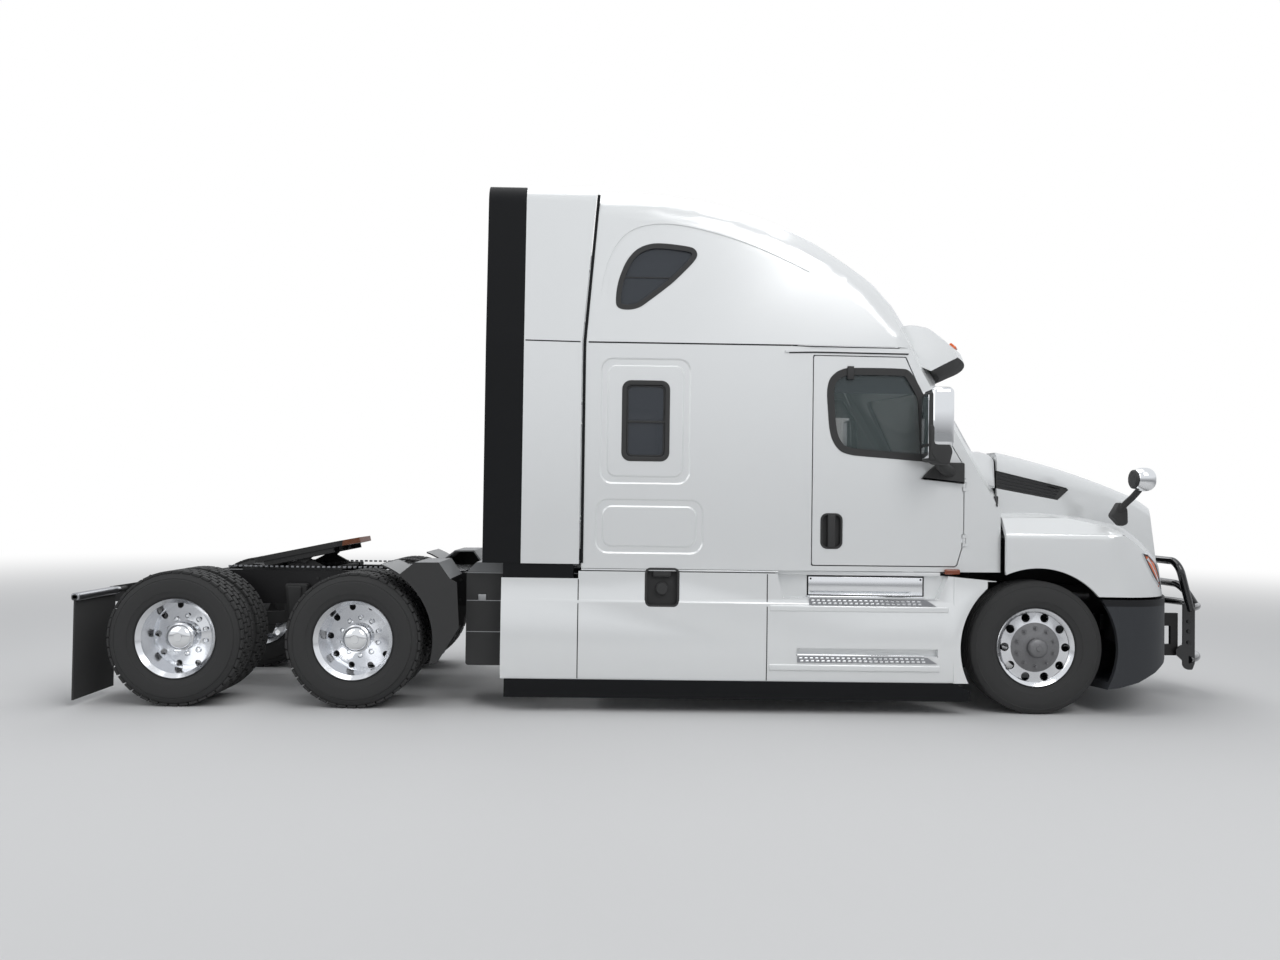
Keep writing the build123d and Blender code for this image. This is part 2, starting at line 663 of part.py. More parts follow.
with BuildPart() as engine_block:
    with BuildSketch(Plane.YZ.offset(at(ENGINE_REAR))):
        with BuildLine():
            FilletPolyline(
                (-ENGINE_HALF_WIDTH + 60, ENGINE_LOW),
                (ENGINE_HALF_WIDTH - 60, ENGINE_LOW),
                (ENGINE_HALF_WIDTH, ENGINE_LOW + 200),
                (ENGINE_HALF_WIDTH, ENGINE_TOP),
                (-ENGINE_HALF_WIDTH, ENGINE_TOP),
                (-ENGINE_HALF_WIDTH, ENGINE_LOW + 200),
                radius=30,
                close=True,
            )
        make_face()
    extrude(amount=ENGINE_FRONT - ENGINE_REAR)
    for station in (ENGINE_FRONT - 200, ENGINE_REAR + 160):
        with BuildSketch(Plane.YZ.offset(at(station) - SUPPORT_FOOT)):
            with Locations((0, RAIL_BOTTOM + RAIL_HEIGHT / 2)):
                Rectangle(2 * (RAIL_OUTER_Y - RAIL_WALL), SUPPORT_FOOT)
        extrude(amount=2 * SUPPORT_FOOT)
write(engine_block, "engine_block")

with BuildPart() as radiator:
    with BuildSketch(Plane.YZ.offset(at(RADIATOR_STATION) - RADIATOR_THICKNESS / 2)):
        with BuildLine():
            FilletPolyline(
                (-RADIATOR_HALF_WIDTH, RADIATOR_LOW),
                (RADIATOR_HALF_WIDTH, RADIATOR_LOW),
                (RADIATOR_HALF_WIDTH, RADIATOR_TOP),
                (-RADIATOR_HALF_WIDTH, RADIATOR_TOP),
                radius=25,
                close=True,
            )
        make_face()
    extrude(amount=RADIATOR_THICKNESS)
write(radiator, "radiator")

# Drive axles with their trailing arms and air springs
AXLE_TUBE_RADIUS = 68.0
BOWL_RADIUS = 205.0
BOWL_HALF_WIDTH = 170.0
ARM_LENGTH = 640.0
ARM_Y = RAIL_OUTER_Y - 50.0
AIR_SPRING_RADIUS = 135.0
AIR_SPRING_OFFSET = 280.0
HOUSING_END_Y = TWIN_DISC_Y + 40.0
DRUM_INNER_Y = TWIN_DISC_Y - 240.0

with BuildPart() as drive_axles:
    for axle_x in DRIVE_AXLE_X:
        with BuildSketch(wheel_plane(axle_x, 0, 1)):
            with BuildLine():
                Polyline(
                    (0, -HOUSING_END_Y),
                    (SPINDLE_RADIUS, -HOUSING_END_Y),
                    (SPINDLE_RADIUS, -DRUM_INNER_Y + MOVING_GAP),
                    (AXLE_TUBE_RADIUS, -DRUM_INNER_Y + MOVING_GAP),
                    (AXLE_TUBE_RADIUS, -BOWL_HALF_WIDTH - 90),
                    (BOWL_RADIUS - 40, -BOWL_HALF_WIDTH / 2),
                    (BOWL_RADIUS, 0),
                    (BOWL_RADIUS - 40, BOWL_HALF_WIDTH / 2),
                    (AXLE_TUBE_RADIUS, BOWL_HALF_WIDTH + 90),
                    (AXLE_TUBE_RADIUS, DRUM_INNER_Y - MOVING_GAP),
                    (SPINDLE_RADIUS, DRUM_INNER_Y - MOVING_GAP),
                    (SPINDLE_RADIUS, HOUSING_END_Y),
                    (0, HOUSING_END_Y),
                    close=True,
                )
            make_face()
        revolve(axis=wheel_axis(axle_x))
        with BuildSketch(Plane.YZ.offset(axle_x)):
            with Locations((0, TYRE_RADIUS + 20)):
                Circle(BOWL_RADIUS - 75)
        extrude(amount=BOWL_RADIUS + 110)
        for _, side in SIDES:
            with BuildSketch(Plane.XZ.offset(-side * ARM_Y)):
                with BuildLine():
                    Polyline(
                        (axle_x + ARM_LENGTH, RAIL_BOTTOM - 150),
                        (axle_x + ARM_LENGTH, RAIL_BOTTOM - 60),
                        (axle_x, TYRE_RADIUS + AXLE_TUBE_RADIUS + 30),
                        (axle_x - AIR_SPRING_OFFSET - 60, TYRE_RADIUS - 30),
                        (axle_x - AIR_SPRING_OFFSET - 60, TYRE_RADIUS - 75),
                        (axle_x - 60, TYRE_RADIUS - 20),
                        close=True,
                    )
                make_face()
            extrude(amount=38, both=True)
            with BuildSketch(Plane.XZ.offset(-side * ARM_Y)):
                with BuildLine():
                    Polyline(
                        (axle_x + ARM_LENGTH - 60, RAIL_BOTTOM - 160),
                        (axle_x + ARM_LENGTH + 60, RAIL_BOTTOM - 160),
                        (axle_x + ARM_LENGTH + 90, RAIL_BOTTOM),
                        (axle_x + ARM_LENGTH - 90, RAIL_BOTTOM),
                        close=True,
                    )
                make_face()
            extrude(amount=50, both=True)
            with BuildSketch(Plane.XY.offset(TYRE_RADIUS - 50)):
                with Locations((axle_x - AIR_SPRING_OFFSET, side * (ARM_Y - 10))):
                    Circle(AIR_SPRING_RADIUS - 40)
            extrude(amount=60)
            with BuildSketch(Plane.XY.offset(TYRE_RADIUS + 10)):
                with Locations((axle_x - AIR_SPRING_OFFSET, side * (ARM_Y - 10))):
                    Circle(AIR_SPRING_RADIUS)
            extrude(amount=RAIL_BOTTOM - TYRE_RADIUS - 10)
write(drive_axles, "drive_axles")

# Fuel tanks hung outside the rails, and the exhaust box
TANK_RADIUS = 305.0
TANK_Y = 860.0
TANK_Z = 640.0
TANK_FRONT = -2120.0
TANK_REAR = -3360.0
STRAP_WIDTH = 60.0
STRAP_THICKNESS = 6.0

with BuildPart() as fuel_tanks:
    for _, side in SIDES:
        with BuildSketch(Plane.YZ.offset(at(TANK_REAR))):
            with Locations((side * TANK_Y, TANK_Z)):
                Circle(TANK_RADIUS)
        extrude(amount=TANK_FRONT - TANK_REAR)
        for station in (TANK_FRONT - 250, TANK_REAR + 250):
            with BuildSketch(Plane.YZ.offset(at(station) - STRAP_WIDTH / 2)):
                with Locations((side * TANK_Y, TANK_Z)):
                    Circle(TANK_RADIUS + STRAP_THICKNESS)
                with Locations((side * (RAIL_OUTER_Y + 60), TANK_Z + 90)):
                    Rectangle(120, 320)
            extrude(amount=STRAP_WIDTH)
write(fuel_tanks, "fuel_tanks")

BOX_FRONT = -860.0
BOX_REAR = -1660.0
BOX_INNER_Y = RAIL_OUTER_Y
BOX_OUTER_Y = 980.0
BOX_LOW = 330.0
BOX_TOP = 900.0
PIPE_RADIUS = 60.0

with BuildPart() as exhaust_box:
    with BuildSketch(Plane.YZ.offset(at(BOX_REAR))):
        with BuildLine():
            FilletPolyline(
                (-BOX_OUTER_Y, BOX_LOW),
                (-BOX_INNER_Y - 60, BOX_LOW),
                (-BOX_INNER_Y - 60, RAIL_BOTTOM),
                (-BOX_INNER_Y, RAIL_BOTTOM),
                (-BOX_INNER_Y, BOX_TOP),
                (-BOX_OUTER_Y, BOX_TOP),
                radius=[60, 60, 0, 0, 0, 60],
                close=True,
            )
        make_face()
    extrude(amount=BOX_FRONT - BOX_REAR)
    with BuildSketch(Plane.YZ.offset(at(BOX_REAR) - 320)):
        with Locations((-BOX_OUTER_Y + 200, BOX_LOW + 200)):
            Circle(PIPE_RADIUS)
    extrude(amount=320)
write(exhaust_box, "exhaust_box")


# Cab and sleeper
def rounded_half_plan(inset):
    """Half plan of the cab and sleeper, from the front centre to the rear centre."""
    return [
        (at(FIREWALL) + 240 - inset, 0),
        (at(FIREWALL) + 240 - inset, COWL_HALF_WIDTH - 500),
        (at(FIREWALL) - inset, COWL_HALF_WIDTH - inset),
        (at(DOOR_FRONT), DOOR_FRONT_HALF_WIDTH - inset),
        (at(DOOR_REAR), DOOR_REAR_HALF_WIDTH - inset),
        (at(NARROWING_REAR), SLEEPER_HALF_WIDTH - inset),
        (at(SLEEPER_REAR) + inset, SLEEPER_HALF_WIDTH - inset),
        (at(SLEEPER_REAR) + inset, 0),
    ]


def shield_prism(inset):
    """Space behind the swept and sloping plane of the windshield, moved back by the inset."""
    base = at(0)
    with BuildPart() as prism:
        with BuildSketch(Plane.XY.offset(SHIELD_BASE_Z)):
            with BuildLine():
                ThreePointArc(
                    (base + SHIELD_BASE_SIDE - inset, -SLEEPER_HALF_WIDTH),
                    (base + SHIELD_BASE_CENTRE - inset, 0),
                    (base + SHIELD_BASE_SIDE - inset, SLEEPER_HALF_WIDTH),
                )
                Polyline(
                    (base + SHIELD_BASE_SIDE - inset, SLEEPER_HALF_WIDTH),
                    (base + SLEEPER_REAR - 900, SLEEPER_HALF_WIDTH),
                    (base + SLEEPER_REAR - 900, -SLEEPER_HALF_WIDTH),
                    (base + SHIELD_BASE_SIDE - inset, -SLEEPER_HALF_WIDTH),
                )
            make_face()
        extrude(amount=2600, dir=(-SHIELD_SLOPE, 0, 1))
        extrude(prism.faces().sort_by(Axis.Z)[0], amount=1500, dir=(SHIELD_SLOPE, 0, -1))
    return prism.part


def cab_mass(inset, floor_inset, top):
    """Solid of the cab and sleeper, drawn in by the inset all round."""
    side_view = outline(
        [
            (at(SLEEPER_REAR) + inset, CAB_FLOOR + floor_inset),
            (at(FIREWALL) - inset, CAB_FLOOR + floor_inset),
            (at(FIREWALL) - inset, SHIELD_BASE_Z + 40),
            (at(FIREWALL) + 240 - inset, SHIELD_BASE_Z + 60),
            (at(FIREWALL) + 240 - inset, top),
            (at(SLEEPER_REAR) + inset, top),
        ],
        plane=Plane.XZ,
    )
    plan_view = outline(mirrored(rounded_half_plan(inset)))
    return three_views(side_view, plan_view, None) & shield_prism(inset)


def door_outline(side, gap):
    """Side outline of a door, drawn in by the gap."""
    return outline(
        [
            (at(DOOR_REAR) + gap, DOOR_BOTTOM + gap),
            (at(DOOR_FRONT) - 55 - gap, DOOR_BOTTOM + gap),
            (at(DOOR_FRONT) - gap, DOOR_BOTTOM + 190),
            (at(DOOR_FRONT) - gap, 1860),
            (at(DOOR_FRONT) - 330 - 1.1 * gap, 2401),
            (at(DOOR_FRONT) - 455 - gap, DOOR_TOP - gap),
            (at(DOOR_REAR) + gap, DOOR_TOP - gap),
        ],
        corner=[14, 30, 60, 60, 60, 14, 14],
        plane=Plane.XZ.offset(-side * 900),
    )


def window_outline(side, inset):
    """Side outline of a door's window, drawn in by the inset."""
    return outline(
        [
            (at(-1596) + inset, 2440),
            (at(-1570) + inset, 2120),
            (at(-1500) + inset, 1974 + inset),
            (at(-1345), 1937 + inset),
            (at(-842) - inset, 1903 + inset),
            (at(-866) - inset, 2356),
            (at(-1000) - inset, 2575 - inset),
            (at(-1440) + inset, 2575 - inset),
        ],
        corner=[60, 60, 60, 60, 12, 50, 30, 70],
        plane=Plane.XZ.offset(-side * 900),
    )


SLEEPER_WINDOW = (-2966.0, 2163.0, 342.0, 588.0)
SLEEPER_WINDOW_CORNER = 62.0
WALL_PRESSINGS = (
    (-2968.0, 2162.0, 674.0, 940.0, 90.0),
    (-2930.0, 1377.0, 807.0, 408.0, 95.0),
)
PRESSING_WIDTH = 62.0
PRESSING_DEPTH = 11.0
PRESSING_SLOPE = 50.0
SHIELD_HALF_WIDTH = 1045.0
SHIELD_GLASS_LOW = 1985.0
SHIELD_GLASS_TOP = 2545.0


def sleeper_window(side, inset):
    """Side outline of a sleeper window, drawn in by the inset."""
    station, height, width, tall = SLEEPER_WINDOW
    with BuildSketch(Plane.XZ.offset(-side * 900)) as shape:
        with Locations((at(station), height)):
            RectangleRounded(width - 2 * inset, tall - 2 * inset, SLEEPER_WINDOW_CORNER - inset / 2)
    return shape.sketch


def shield_outline(inset):
    """Front outline of the windshield, drawn in by the inset."""
    return outline(
        [
            (-SHIELD_HALF_WIDTH + inset, SHIELD_GLASS_LOW + inset),
            (SHIELD_HALF_WIDTH - inset, SHIELD_GLASS_LOW + inset),
            (SHIELD_HALF_WIDTH - 70 - inset, SHIELD_GLASS_TOP - inset),
            (-SHIELD_HALF_WIDTH + 70 + inset, SHIELD_GLASS_TOP - inset),
        ],
        corner=70,
        plane=Plane.YZ.offset(at(-1400)),
    )


def door_hinge(side, height, radius, low, high, tab):
    """One leaf of a door hinge: a barrel on the door's axis with its tab along X."""
    axis_x = at(DOOR_FRONT) - MOVING_GAP / 2
    axis_y = side * (DOOR_FRONT_HALF_WIDTH + HINGE_STAND_OFF)
    with BuildPart() as leaf:
        with BuildSketch(Plane.XY.offset(height + low)):
            with Locations((axis_x, axis_y)):
                Circle(radius)
            if tab:
                with BuildLine():
                    Polyline(
                        (axis_x, axis_y),
                        (axis_x + tab, axis_y),
                        (axis_x + tab, axis_y - side * 24),
                        (axis_x, axis_y - side * 6),
                        close=True,
                    )
                make_face()
        extrude(amount=high - low)
    return leaf.part


cab_outer = cab_mass(0, 0, ROOF_SEAM)
cab_inner = cab_mass(CAB_WALL, FLOOR_THICKNESS, ROOF_SEAM + 50)

with BuildPart() as cab_shell:
    add(cab_outer)
    add(cab_inner, mode=Mode.SUBTRACT)
    for _, side in SIDES:
        extrude(door_outline(side, 0), amount=side * -600, mode=Mode.SUBTRACT)
        extrude(sleeper_window(side, 0), amount=side * -600, mode=Mode.SUBTRACT)
    extrude(shield_outline(0), amount=1600, mode=Mode.SUBTRACT)
    for _, side in SIDES:
        for station, height, length, tall, corner in WALL_PRESSINGS:
            wall_face = Plane(
                origin=(at(station), side * SLEEPER_HALF_WIDTH, height), x_dir=(1, 0, 0), z_dir=(0, -side, 0)
            )
            with BuildSketch(wall_face):
                RectangleRounded(length, tall, corner)
                RectangleRounded(
                    length - 2 * PRESSING_WIDTH,
                    tall - 2 * PRESSING_WIDTH,
                    corner - PRESSING_WIDTH / 2,
                    mode=Mode.SUBTRACT,
                )
            extrude(amount=PRESSING_DEPTH, taper=PRESSING_SLOPE, mode=Mode.SUBTRACT)
    add(arch_cylinder(), mode=Mode.SUBTRACT)
    for _, side in SIDES:
        for height in DOOR_HINGE_Z:
            add(door_hinge(side, height, HINGE_POCKET, -50, 50, 0), mode=Mode.SUBTRACT)
            for low in (-45, 21):
                add(door_hinge(side, height, HINGE_BARREL, low, low + 24, 34))
            add(door_hinge(side, height, DOOR_PIN_RADIUS, -45, 45, 0))
write(cab_shell, "cab_shell")

# Doors with their glass and their handles in pockets
HANDLE_STATION = -1563.0
HANDLE_Z = 1360.0
HANDLE_WIDTH = 150.0
HANDLE_HEIGHT = 250.0
HANDLE_DEPTH = 34.0
HANDLE_GRIP_WIDTH = 46.0
handle_y = DOOR_FRONT_HALF_WIDTH + (DOOR_REAR_HALF_WIDTH - DOOR_FRONT_HALF_WIDTH) * (
    (DOOR_FRONT - HANDLE_STATION) / (DOOR_FRONT - DOOR_REAR)
)

for side_name, side in SIDES:
    with BuildPart() as door:
        add(cab_outer)
        add(cab_mass(DOOR_THICKNESS, 0, ROOF_SEAM), mode=Mode.SUBTRACT)
        extrude(door_outline(side, MOVING_GAP), amount=side * -600, mode=Mode.INTERSECT)
        extrude(window_outline(side, 0), amount=side * -600, mode=Mode.SUBTRACT)
        with BuildSketch(Plane.XZ.offset(-side * (handle_y - HANDLE_DEPTH))):
            with Locations((at(HANDLE_STATION), HANDLE_Z)):
                RectangleRounded(HANDLE_WIDTH, HANDLE_HEIGHT, 50)
        extrude(amount=-side * 2 * HANDLE_DEPTH, mode=Mode.SUBTRACT)
        with BuildSketch(Plane.XZ.offset(-side * (handle_y - HANDLE_DEPTH))):
            for end in (-1, 1):
                with Locations((at(HANDLE_STATION), HANDLE_Z + end * (HANDLE_HEIGHT / 2 - 30))):
                    Rectangle(HANDLE_GRIP_WIDTH, 60)
        extrude(amount=-side * (HANDLE_DEPTH - 12))
        with BuildSketch(Plane.XZ.offset(-side * (handle_y - 16))):
            with Locations((at(HANDLE_STATION), HANDLE_Z)):
                RectangleRounded(HANDLE_GRIP_WIDTH, HANDLE_HEIGHT - 16, 20)
        extrude(amount=-side * 20)
        for height in DOOR_HINGE_Z:
            add(door_hinge(side, height, HINGE_POCKET, -50, 50, 0), mode=Mode.SUBTRACT)
            add(door_hinge(side, height, HINGE_BARREL, -16, 16, -34))
            add(door_hinge(side, height, DOOR_PIN_RADIUS + SEAT_GAP, -45, 45, 0), mode=Mode.SUBTRACT)
    write(door, f"door_{side_name}")
    with BuildPart() as door_glass:
        add(cab_mass(GLASS_INSET, 0, ROOF_SEAM))
        add(cab_mass(GLASS_INSET + GLASS_THICKNESS, 0, ROOF_SEAM), mode=Mode.SUBTRACT)
        extrude(window_outline(side, SEAT_GAP), amount=side * -600, mode=Mode.INTERSECT)
    write(door_glass, f"door_glass_{side_name}")

with BuildPart() as cab_glass:
    add(cab_mass(GLASS_INSET, 0, ROOF_SEAM))
    add(cab_mass(GLASS_INSET + GLASS_THICKNESS, 0, ROOF_SEAM), mode=Mode.SUBTRACT)
    with BuildPart(mode=Mode.INTERSECT):
        for _, side in SIDES:
            extrude(sleeper_window(side, SEAT_GAP), amount=side * -600)
        extrude(shield_outline(SEAT_GAP), amount=1600)
write(cab_glass, "cab_glass")


# Raised roof with its windows
ROOF_FLAT_END = -3000.0
ROOF_REAR_TOP = -3330.0
ROOF_BROW = (-1215.0, 3255.0)
ROOF_CROWN_MIDDLE = (-2204.0, 3793.0)
ROOF_BROW_MIDDLE = (-1040.0, 3062.0)
ROOF_LOW_FRONT = -735.0
ROOF_NOSE_HALF_WIDTH = 1165.0
ROOF_TAPER = 2.2


def roof_mass(inset, low):
    """Solid of the raised roof, drawn in by the inset, from the height low."""
    top = ROOF_TOP - inset
    crown_end = (at(ROOF_BROW[0]) - 0.6 * inset, ROOF_BROW[1] - 0.8 * inset)
    with BuildPart() as body:
        with BuildSketch(Plane.XZ):
            with BuildLine():
                Polyline(
                    (at(ROOF_LOW_FRONT) - inset, ROOF_SEAM),
                    (at(ROOF_LOW_FRONT) - inset, ROOF_SEAM - 100),
                    (at(SLEEPER_REAR) + inset, ROOF_SEAM - 100),
                    (at(SLEEPER_REAR) + inset, ROOF_SEAM),
                )
                Line((at(SLEEPER_REAR) + inset, ROOF_SEAM), (at(ROOF_REAR_TOP) + inset, top))
                Line((at(ROOF_REAR_TOP) + inset, top), (at(ROOF_FLAT_END), top))
                ThreePointArc(
                    (at(ROOF_FLAT_END), top),
                    (at(ROOF_CROWN_MIDDLE[0]) - 0.2 * inset, ROOF_CROWN_MIDDLE[1] - inset),
                    crown_end,
                )
                ThreePointArc(
                    crown_end,
                    (at(ROOF_BROW_MIDDLE[0]) - 0.8 * inset, ROOF_BROW_MIDDLE[1] - 0.6 * inset),
                    (at(ROOF_LOW_FRONT) - inset, ROOF_SEAM),
                )
            make_face()
        extrude(amount=1600, both=True)
        with BuildSketch(Plane.XY.offset(low)):
            with BuildLine():
                Polyline(
                    *mirrored(
                        [
                            (at(ROOF_LOW_FRONT) + 100, 0),
                            (at(ROOF_LOW_FRONT) + 100, 700),
                            (at(DOOR_FRONT) - 450, ROOF_NOSE_HALF_WIDTH - inset),
                            (at(NARROWING_REAR), SLEEPER_HALF_WIDTH - inset),
                            (at(SLEEPER_REAR) + inset, SLEEPER_HALF_WIDTH - inset),
                            (at(SLEEPER_REAR) + inset, 0),
                        ]
                    ),
                    close=True,
                )
            make_face()
        extrude(amount=ROOF_TOP - low + 200, taper=ROOF_TAPER, mode=Mode.INTERSECT)
        shoulder = [
            edge
            for edge in body.edges().filter_by(
                lambda e: e.center().Z > ROOF_SEAM + 60 and abs(e.center().Y) > 600
            )
            if edge.center().X > at(ROOF_REAR_TOP)
        ]
        fillet(shoulder, radius=ROOF_SHOULDER_RADIUS - inset)
    return body.part & shield_prism(inset)


def roof_window(side, inset):
    """Side outline of a roof window, drawn in by the inset."""
    return outline(
        [
            (at(-3193) + inset, 3040 + inset),
            (at(-3187) + inset, 3152),
            (at(-3120) + inset, 3380 - inset),
            (at(-2985), 3486 - inset),
            (at(-2700), 3480 - inset),
            (at(-2606) - 1.5 * inset, 3432 - inset),
            (at(-2833), 3173 + inset),
            (at(-3040), 3020 + inset),
        ],
        corner=[30, 60, 120, 100, 90, 20, 500, 120],
        plane=Plane.XZ.offset(-side * 900),
    )


ROOF_GROOVE = (
    (-3286.0, 3094.0),
    (-3236.0, 3362.0),
    (-3102.0, 3560.0),
    (-2874.0, 3626.0),
    (-2567.0, 3589.0),
    (-2229.0, 3490.0),
    (-1952.0, 3375.0),
    (-1759.0, 3285.0),
)
ROOF_GROOVE_WIDTH = 46.0
ROOF_GROOVE_DEPTH = 8.0

roof_outer = roof_mass(0, ROOF_SEAM + SEAT_GAP)

with BuildPart() as roof_grooves:
    for _, side in SIDES:
        with BuildSketch(Plane.XZ.offset(-side * 900)):
            with BuildLine():
                Spline(*[(at(station), height) for station, height in ROOF_GROOVE])
            trace(line_width=ROOF_GROOVE_WIDTH)
        extrude(amount=-side * 600)
    add(roof_mass(ROOF_GROOVE_DEPTH, ROOF_SEAM), mode=Mode.SUBTRACT)

with BuildPart() as roof_shell:
    add(roof_outer)
    add(roof_mass(ROOF_WALL, ROOF_SEAM - 20), mode=Mode.SUBTRACT)
    add(roof_grooves.part, mode=Mode.SUBTRACT)
    for _, side in SIDES:
        extrude(roof_window(side, 0), amount=side * -600, mode=Mode.SUBTRACT)
write(roof_shell, "roof_shell")

with BuildPart() as roof_glass:
    add(roof_mass(GLASS_INSET, ROOF_SEAM))
    add(roof_mass(GLASS_INSET + GLASS_THICKNESS, ROOF_SEAM - 20), mode=Mode.SUBTRACT)
    with BuildPart(mode=Mode.INTERSECT):
        for _, side in SIDES:
            extrude(roof_window(side, SEAT_GAP), amount=side * -600)
write(roof_glass, "roof_glass")

# Sun visor over the windshield
SHIELD_RADIUS = (
    SLEEPER_HALF_WIDTH**2 + (SHIELD_BASE_CENTRE - SHIELD_BASE_SIDE) ** 2
) / (2 * (SHIELD_BASE_CENTRE - SHIELD_BASE_SIDE))
VISOR_TIP = (-310.0, 2672.0)
VISOR_HALF_ANGLE = 30.0

visor_centre = at(SHIELD_BASE_CENTRE) - SHIELD_SLOPE * (VISOR_TIP[1] - SHIELD_BASE_Z) - SHIELD_RADIUS
visor_start = radians(-VISOR_HALF_ANGLE)
visor_plane = Plane(
    origin=(visor_centre, 0, 0),
    x_dir=(cos(visor_start), sin(visor_start), 0),
    z_dir=(sin(visor_start), -cos(visor_start), 0),
)
tip_x = at(VISOR_TIP[0]) - visor_centre

with BuildPart() as sun_visor:
    with BuildSketch(visor_plane):
        with BuildLine():
            FilletPolyline(
                (tip_x - 560, 2890),
                (tip_x - 480, 2935),
                (tip_x - 340, 2942),
                (tip_x - 220, 2912),
                (tip_x - 120, 2826),
                (tip_x - 20, 2735),
                (tip_x, VISOR_TIP[1]),
                (tip_x - 50, 2650),
                (tip_x - 195, 2582),
                (tip_x - 235, 2600),
                (tip_x - 560, 2760),
                radius=[0, 30, 120, 120, 120, 30, 8, 30, 10, 10, 0],
                close=True,
            )
        make_face()
    revolve(
        axis=Axis((visor_centre, 0, 0), (0, 0, 1)),
        revolution_arc=2 * VISOR_HALF_ANGLE,
    )
    add(cab_outer, mode=Mode.SUBTRACT)
    add(roof_outer, mode=Mode.SUBTRACT)
write(sun_visor, "sun_visor")


# Side extenders behind the sleeper, with their rubber edges
EXTENDER_GAP = 18.0
EXTENDER_SHOULDER = 150.0
EXTENDER_RETURN = 160.0
RUBBER_SHEET = 12.0
STAY_RADIUS = 16.0
STAY_HEIGHTS = (1400.0, 2300.0, 3300.0)


def extender_section(side, x, outer_inset, inner_inset, low):
    """Cross-section of one extender's sheet between two insets, standing on the height low."""
    lean = (EXTENDER_TOP - ROOF_SEAM) * tan(radians(ROOF_TAPER))
    top_y = SLEEPER_HALF_WIDTH - lean
    points = [
        (SLEEPER_HALF_WIDTH - outer_inset, low),
        (SLEEPER_HALF_WIDTH - outer_inset, ROOF_SEAM),
        (top_y - outer_inset, EXTENDER_TOP - outer_inset),
        (top_y - EXTENDER_RETURN, EXTENDER_TOP - outer_inset),
        (top_y - EXTENDER_RETURN, EXTENDER_TOP - inner_inset),
        (top_y - inner_inset, EXTENDER_TOP - inner_inset),
        (SLEEPER_HALF_WIDTH - inner_inset, ROOF_SEAM),
        (SLEEPER_HALF_WIDTH - inner_inset, low),
    ]
    outer_corner = EXTENDER_SHOULDER - outer_inset
    inner_corner = EXTENDER_SHOULDER - inner_inset
    return outline(
        [(side * y, z) for y, z in points],
        corner=[0, 0, outer_corner, 0, 0, inner_corner, 0, 0],
        plane=Plane.YZ.offset(x),
    )


with BuildPart() as side_extenders:
    for _, side in SIDES:
        section = extender_section(side, at(EXTENDER_REAR), 0, EXTENDER_WALL, EXTENDER_BOTTOM)
        extrude(section, amount=ROOF_REAR_TOP - EXTENDER_REAR)
    with BuildPart(mode=Mode.INTERSECT):
        extrude(
            outline(
                [
                    (at(EXTENDER_REAR), EXTENDER_BOTTOM),
                    (at(SLEEPER_REAR) - EXTENDER_GAP, EXTENDER_BOTTOM),
                    (at(SLEEPER_REAR) - EXTENDER_GAP, ROOF_SEAM),
                    (at(ROOF_REAR_TOP) - EXTENDER_GAP, EXTENDER_TOP),
                    (at(EXTENDER_REAR), EXTENDER_TOP),
                ],
                plane=Plane.XZ,
            ),
            amount=1600,
            both=True,
        )
    for _, side in SIDES:
        for height in STAY_HEIGHTS:
            stay_y = SLEEPER_HALF_WIDTH - 90
            with BuildSketch(Plane.YZ.offset(at(SLEEPER_REAR) - 260)):
                with Locations((side * stay_y, height)):
                    Circle(STAY_RADIUS)
            lean_room = 100 if height > ROOF_SEAM else 0
            extrude(amount=260 + lean_room - SEAT_GAP)
            with BuildSketch(Plane.XZ.offset(-side * (stay_y - STAY_RADIUS))):
                with Locations((at(SLEEPER_REAR) - 260, height)):
                    Circle(STAY_RADIUS)
            extrude(amount=-side * (90 + STAY_RADIUS - EXTENDER_WALL / 2 - max(0, height - ROOF_SEAM) / 26))
    with Locations((-SEAT_GAP, 0, 0)):
        add(roof_outer, mode=Mode.SUBTRACT)
write(side_extenders, "side_extenders")

RUBBER_FOOT_FRONT = -3490.0
RUBBER_FOOT_REAR = -4010.0

with BuildPart() as rubber_edges:
    for _, side in SIDES:
        section = extender_section(side, at(EXTENDER_RUBBER_REAR), 6, 6 + RUBBER_SHEET, EXTENDER_BOTTOM)
        extrude(section, amount=EXTENDER_REAR - EXTENDER_RUBBER_REAR)
        with BuildSketch(Plane.XZ.offset(-side * (SLEEPER_HALF_WIDTH - 150))):
            with BuildLine():
                Polyline(
                    (at(RUBBER_FOOT_REAR), SKIRT_TOP),
                    (at(RUBBER_FOOT_FRONT), SKIRT_TOP),
                    (at(RUBBER_FOOT_FRONT), EXTENDER_BOTTOM),
                    (at(RUBBER_FOOT_REAR), EXTENDER_BOTTOM),
                    close=True,
                )
            make_face()
        extrude(amount=-side * 140)
        with BuildSketch(Plane.XZ.offset(-side * (SKIRT_HALF_WIDTH - 2 - RUBBER_SHEET))):
            with BuildLine():
                Polyline(
                    (at(SKIRT_REAR) + 30, RUBBER_BOTTOM),
                    (at(-530), RUBBER_BOTTOM),
                    (at(-530), SKIRT_BOTTOM - 60),
                    (at(-640), SKIRT_BOTTOM),
                    (at(SKIRT_REAR) + 30, SKIRT_BOTTOM),
                    close=True,
                )
            make_face()
        extrude(amount=-side * RUBBER_SHEET)
    add(arch_cylinder(), mode=Mode.SUBTRACT)
write(rubber_edges, "rubber_edges")

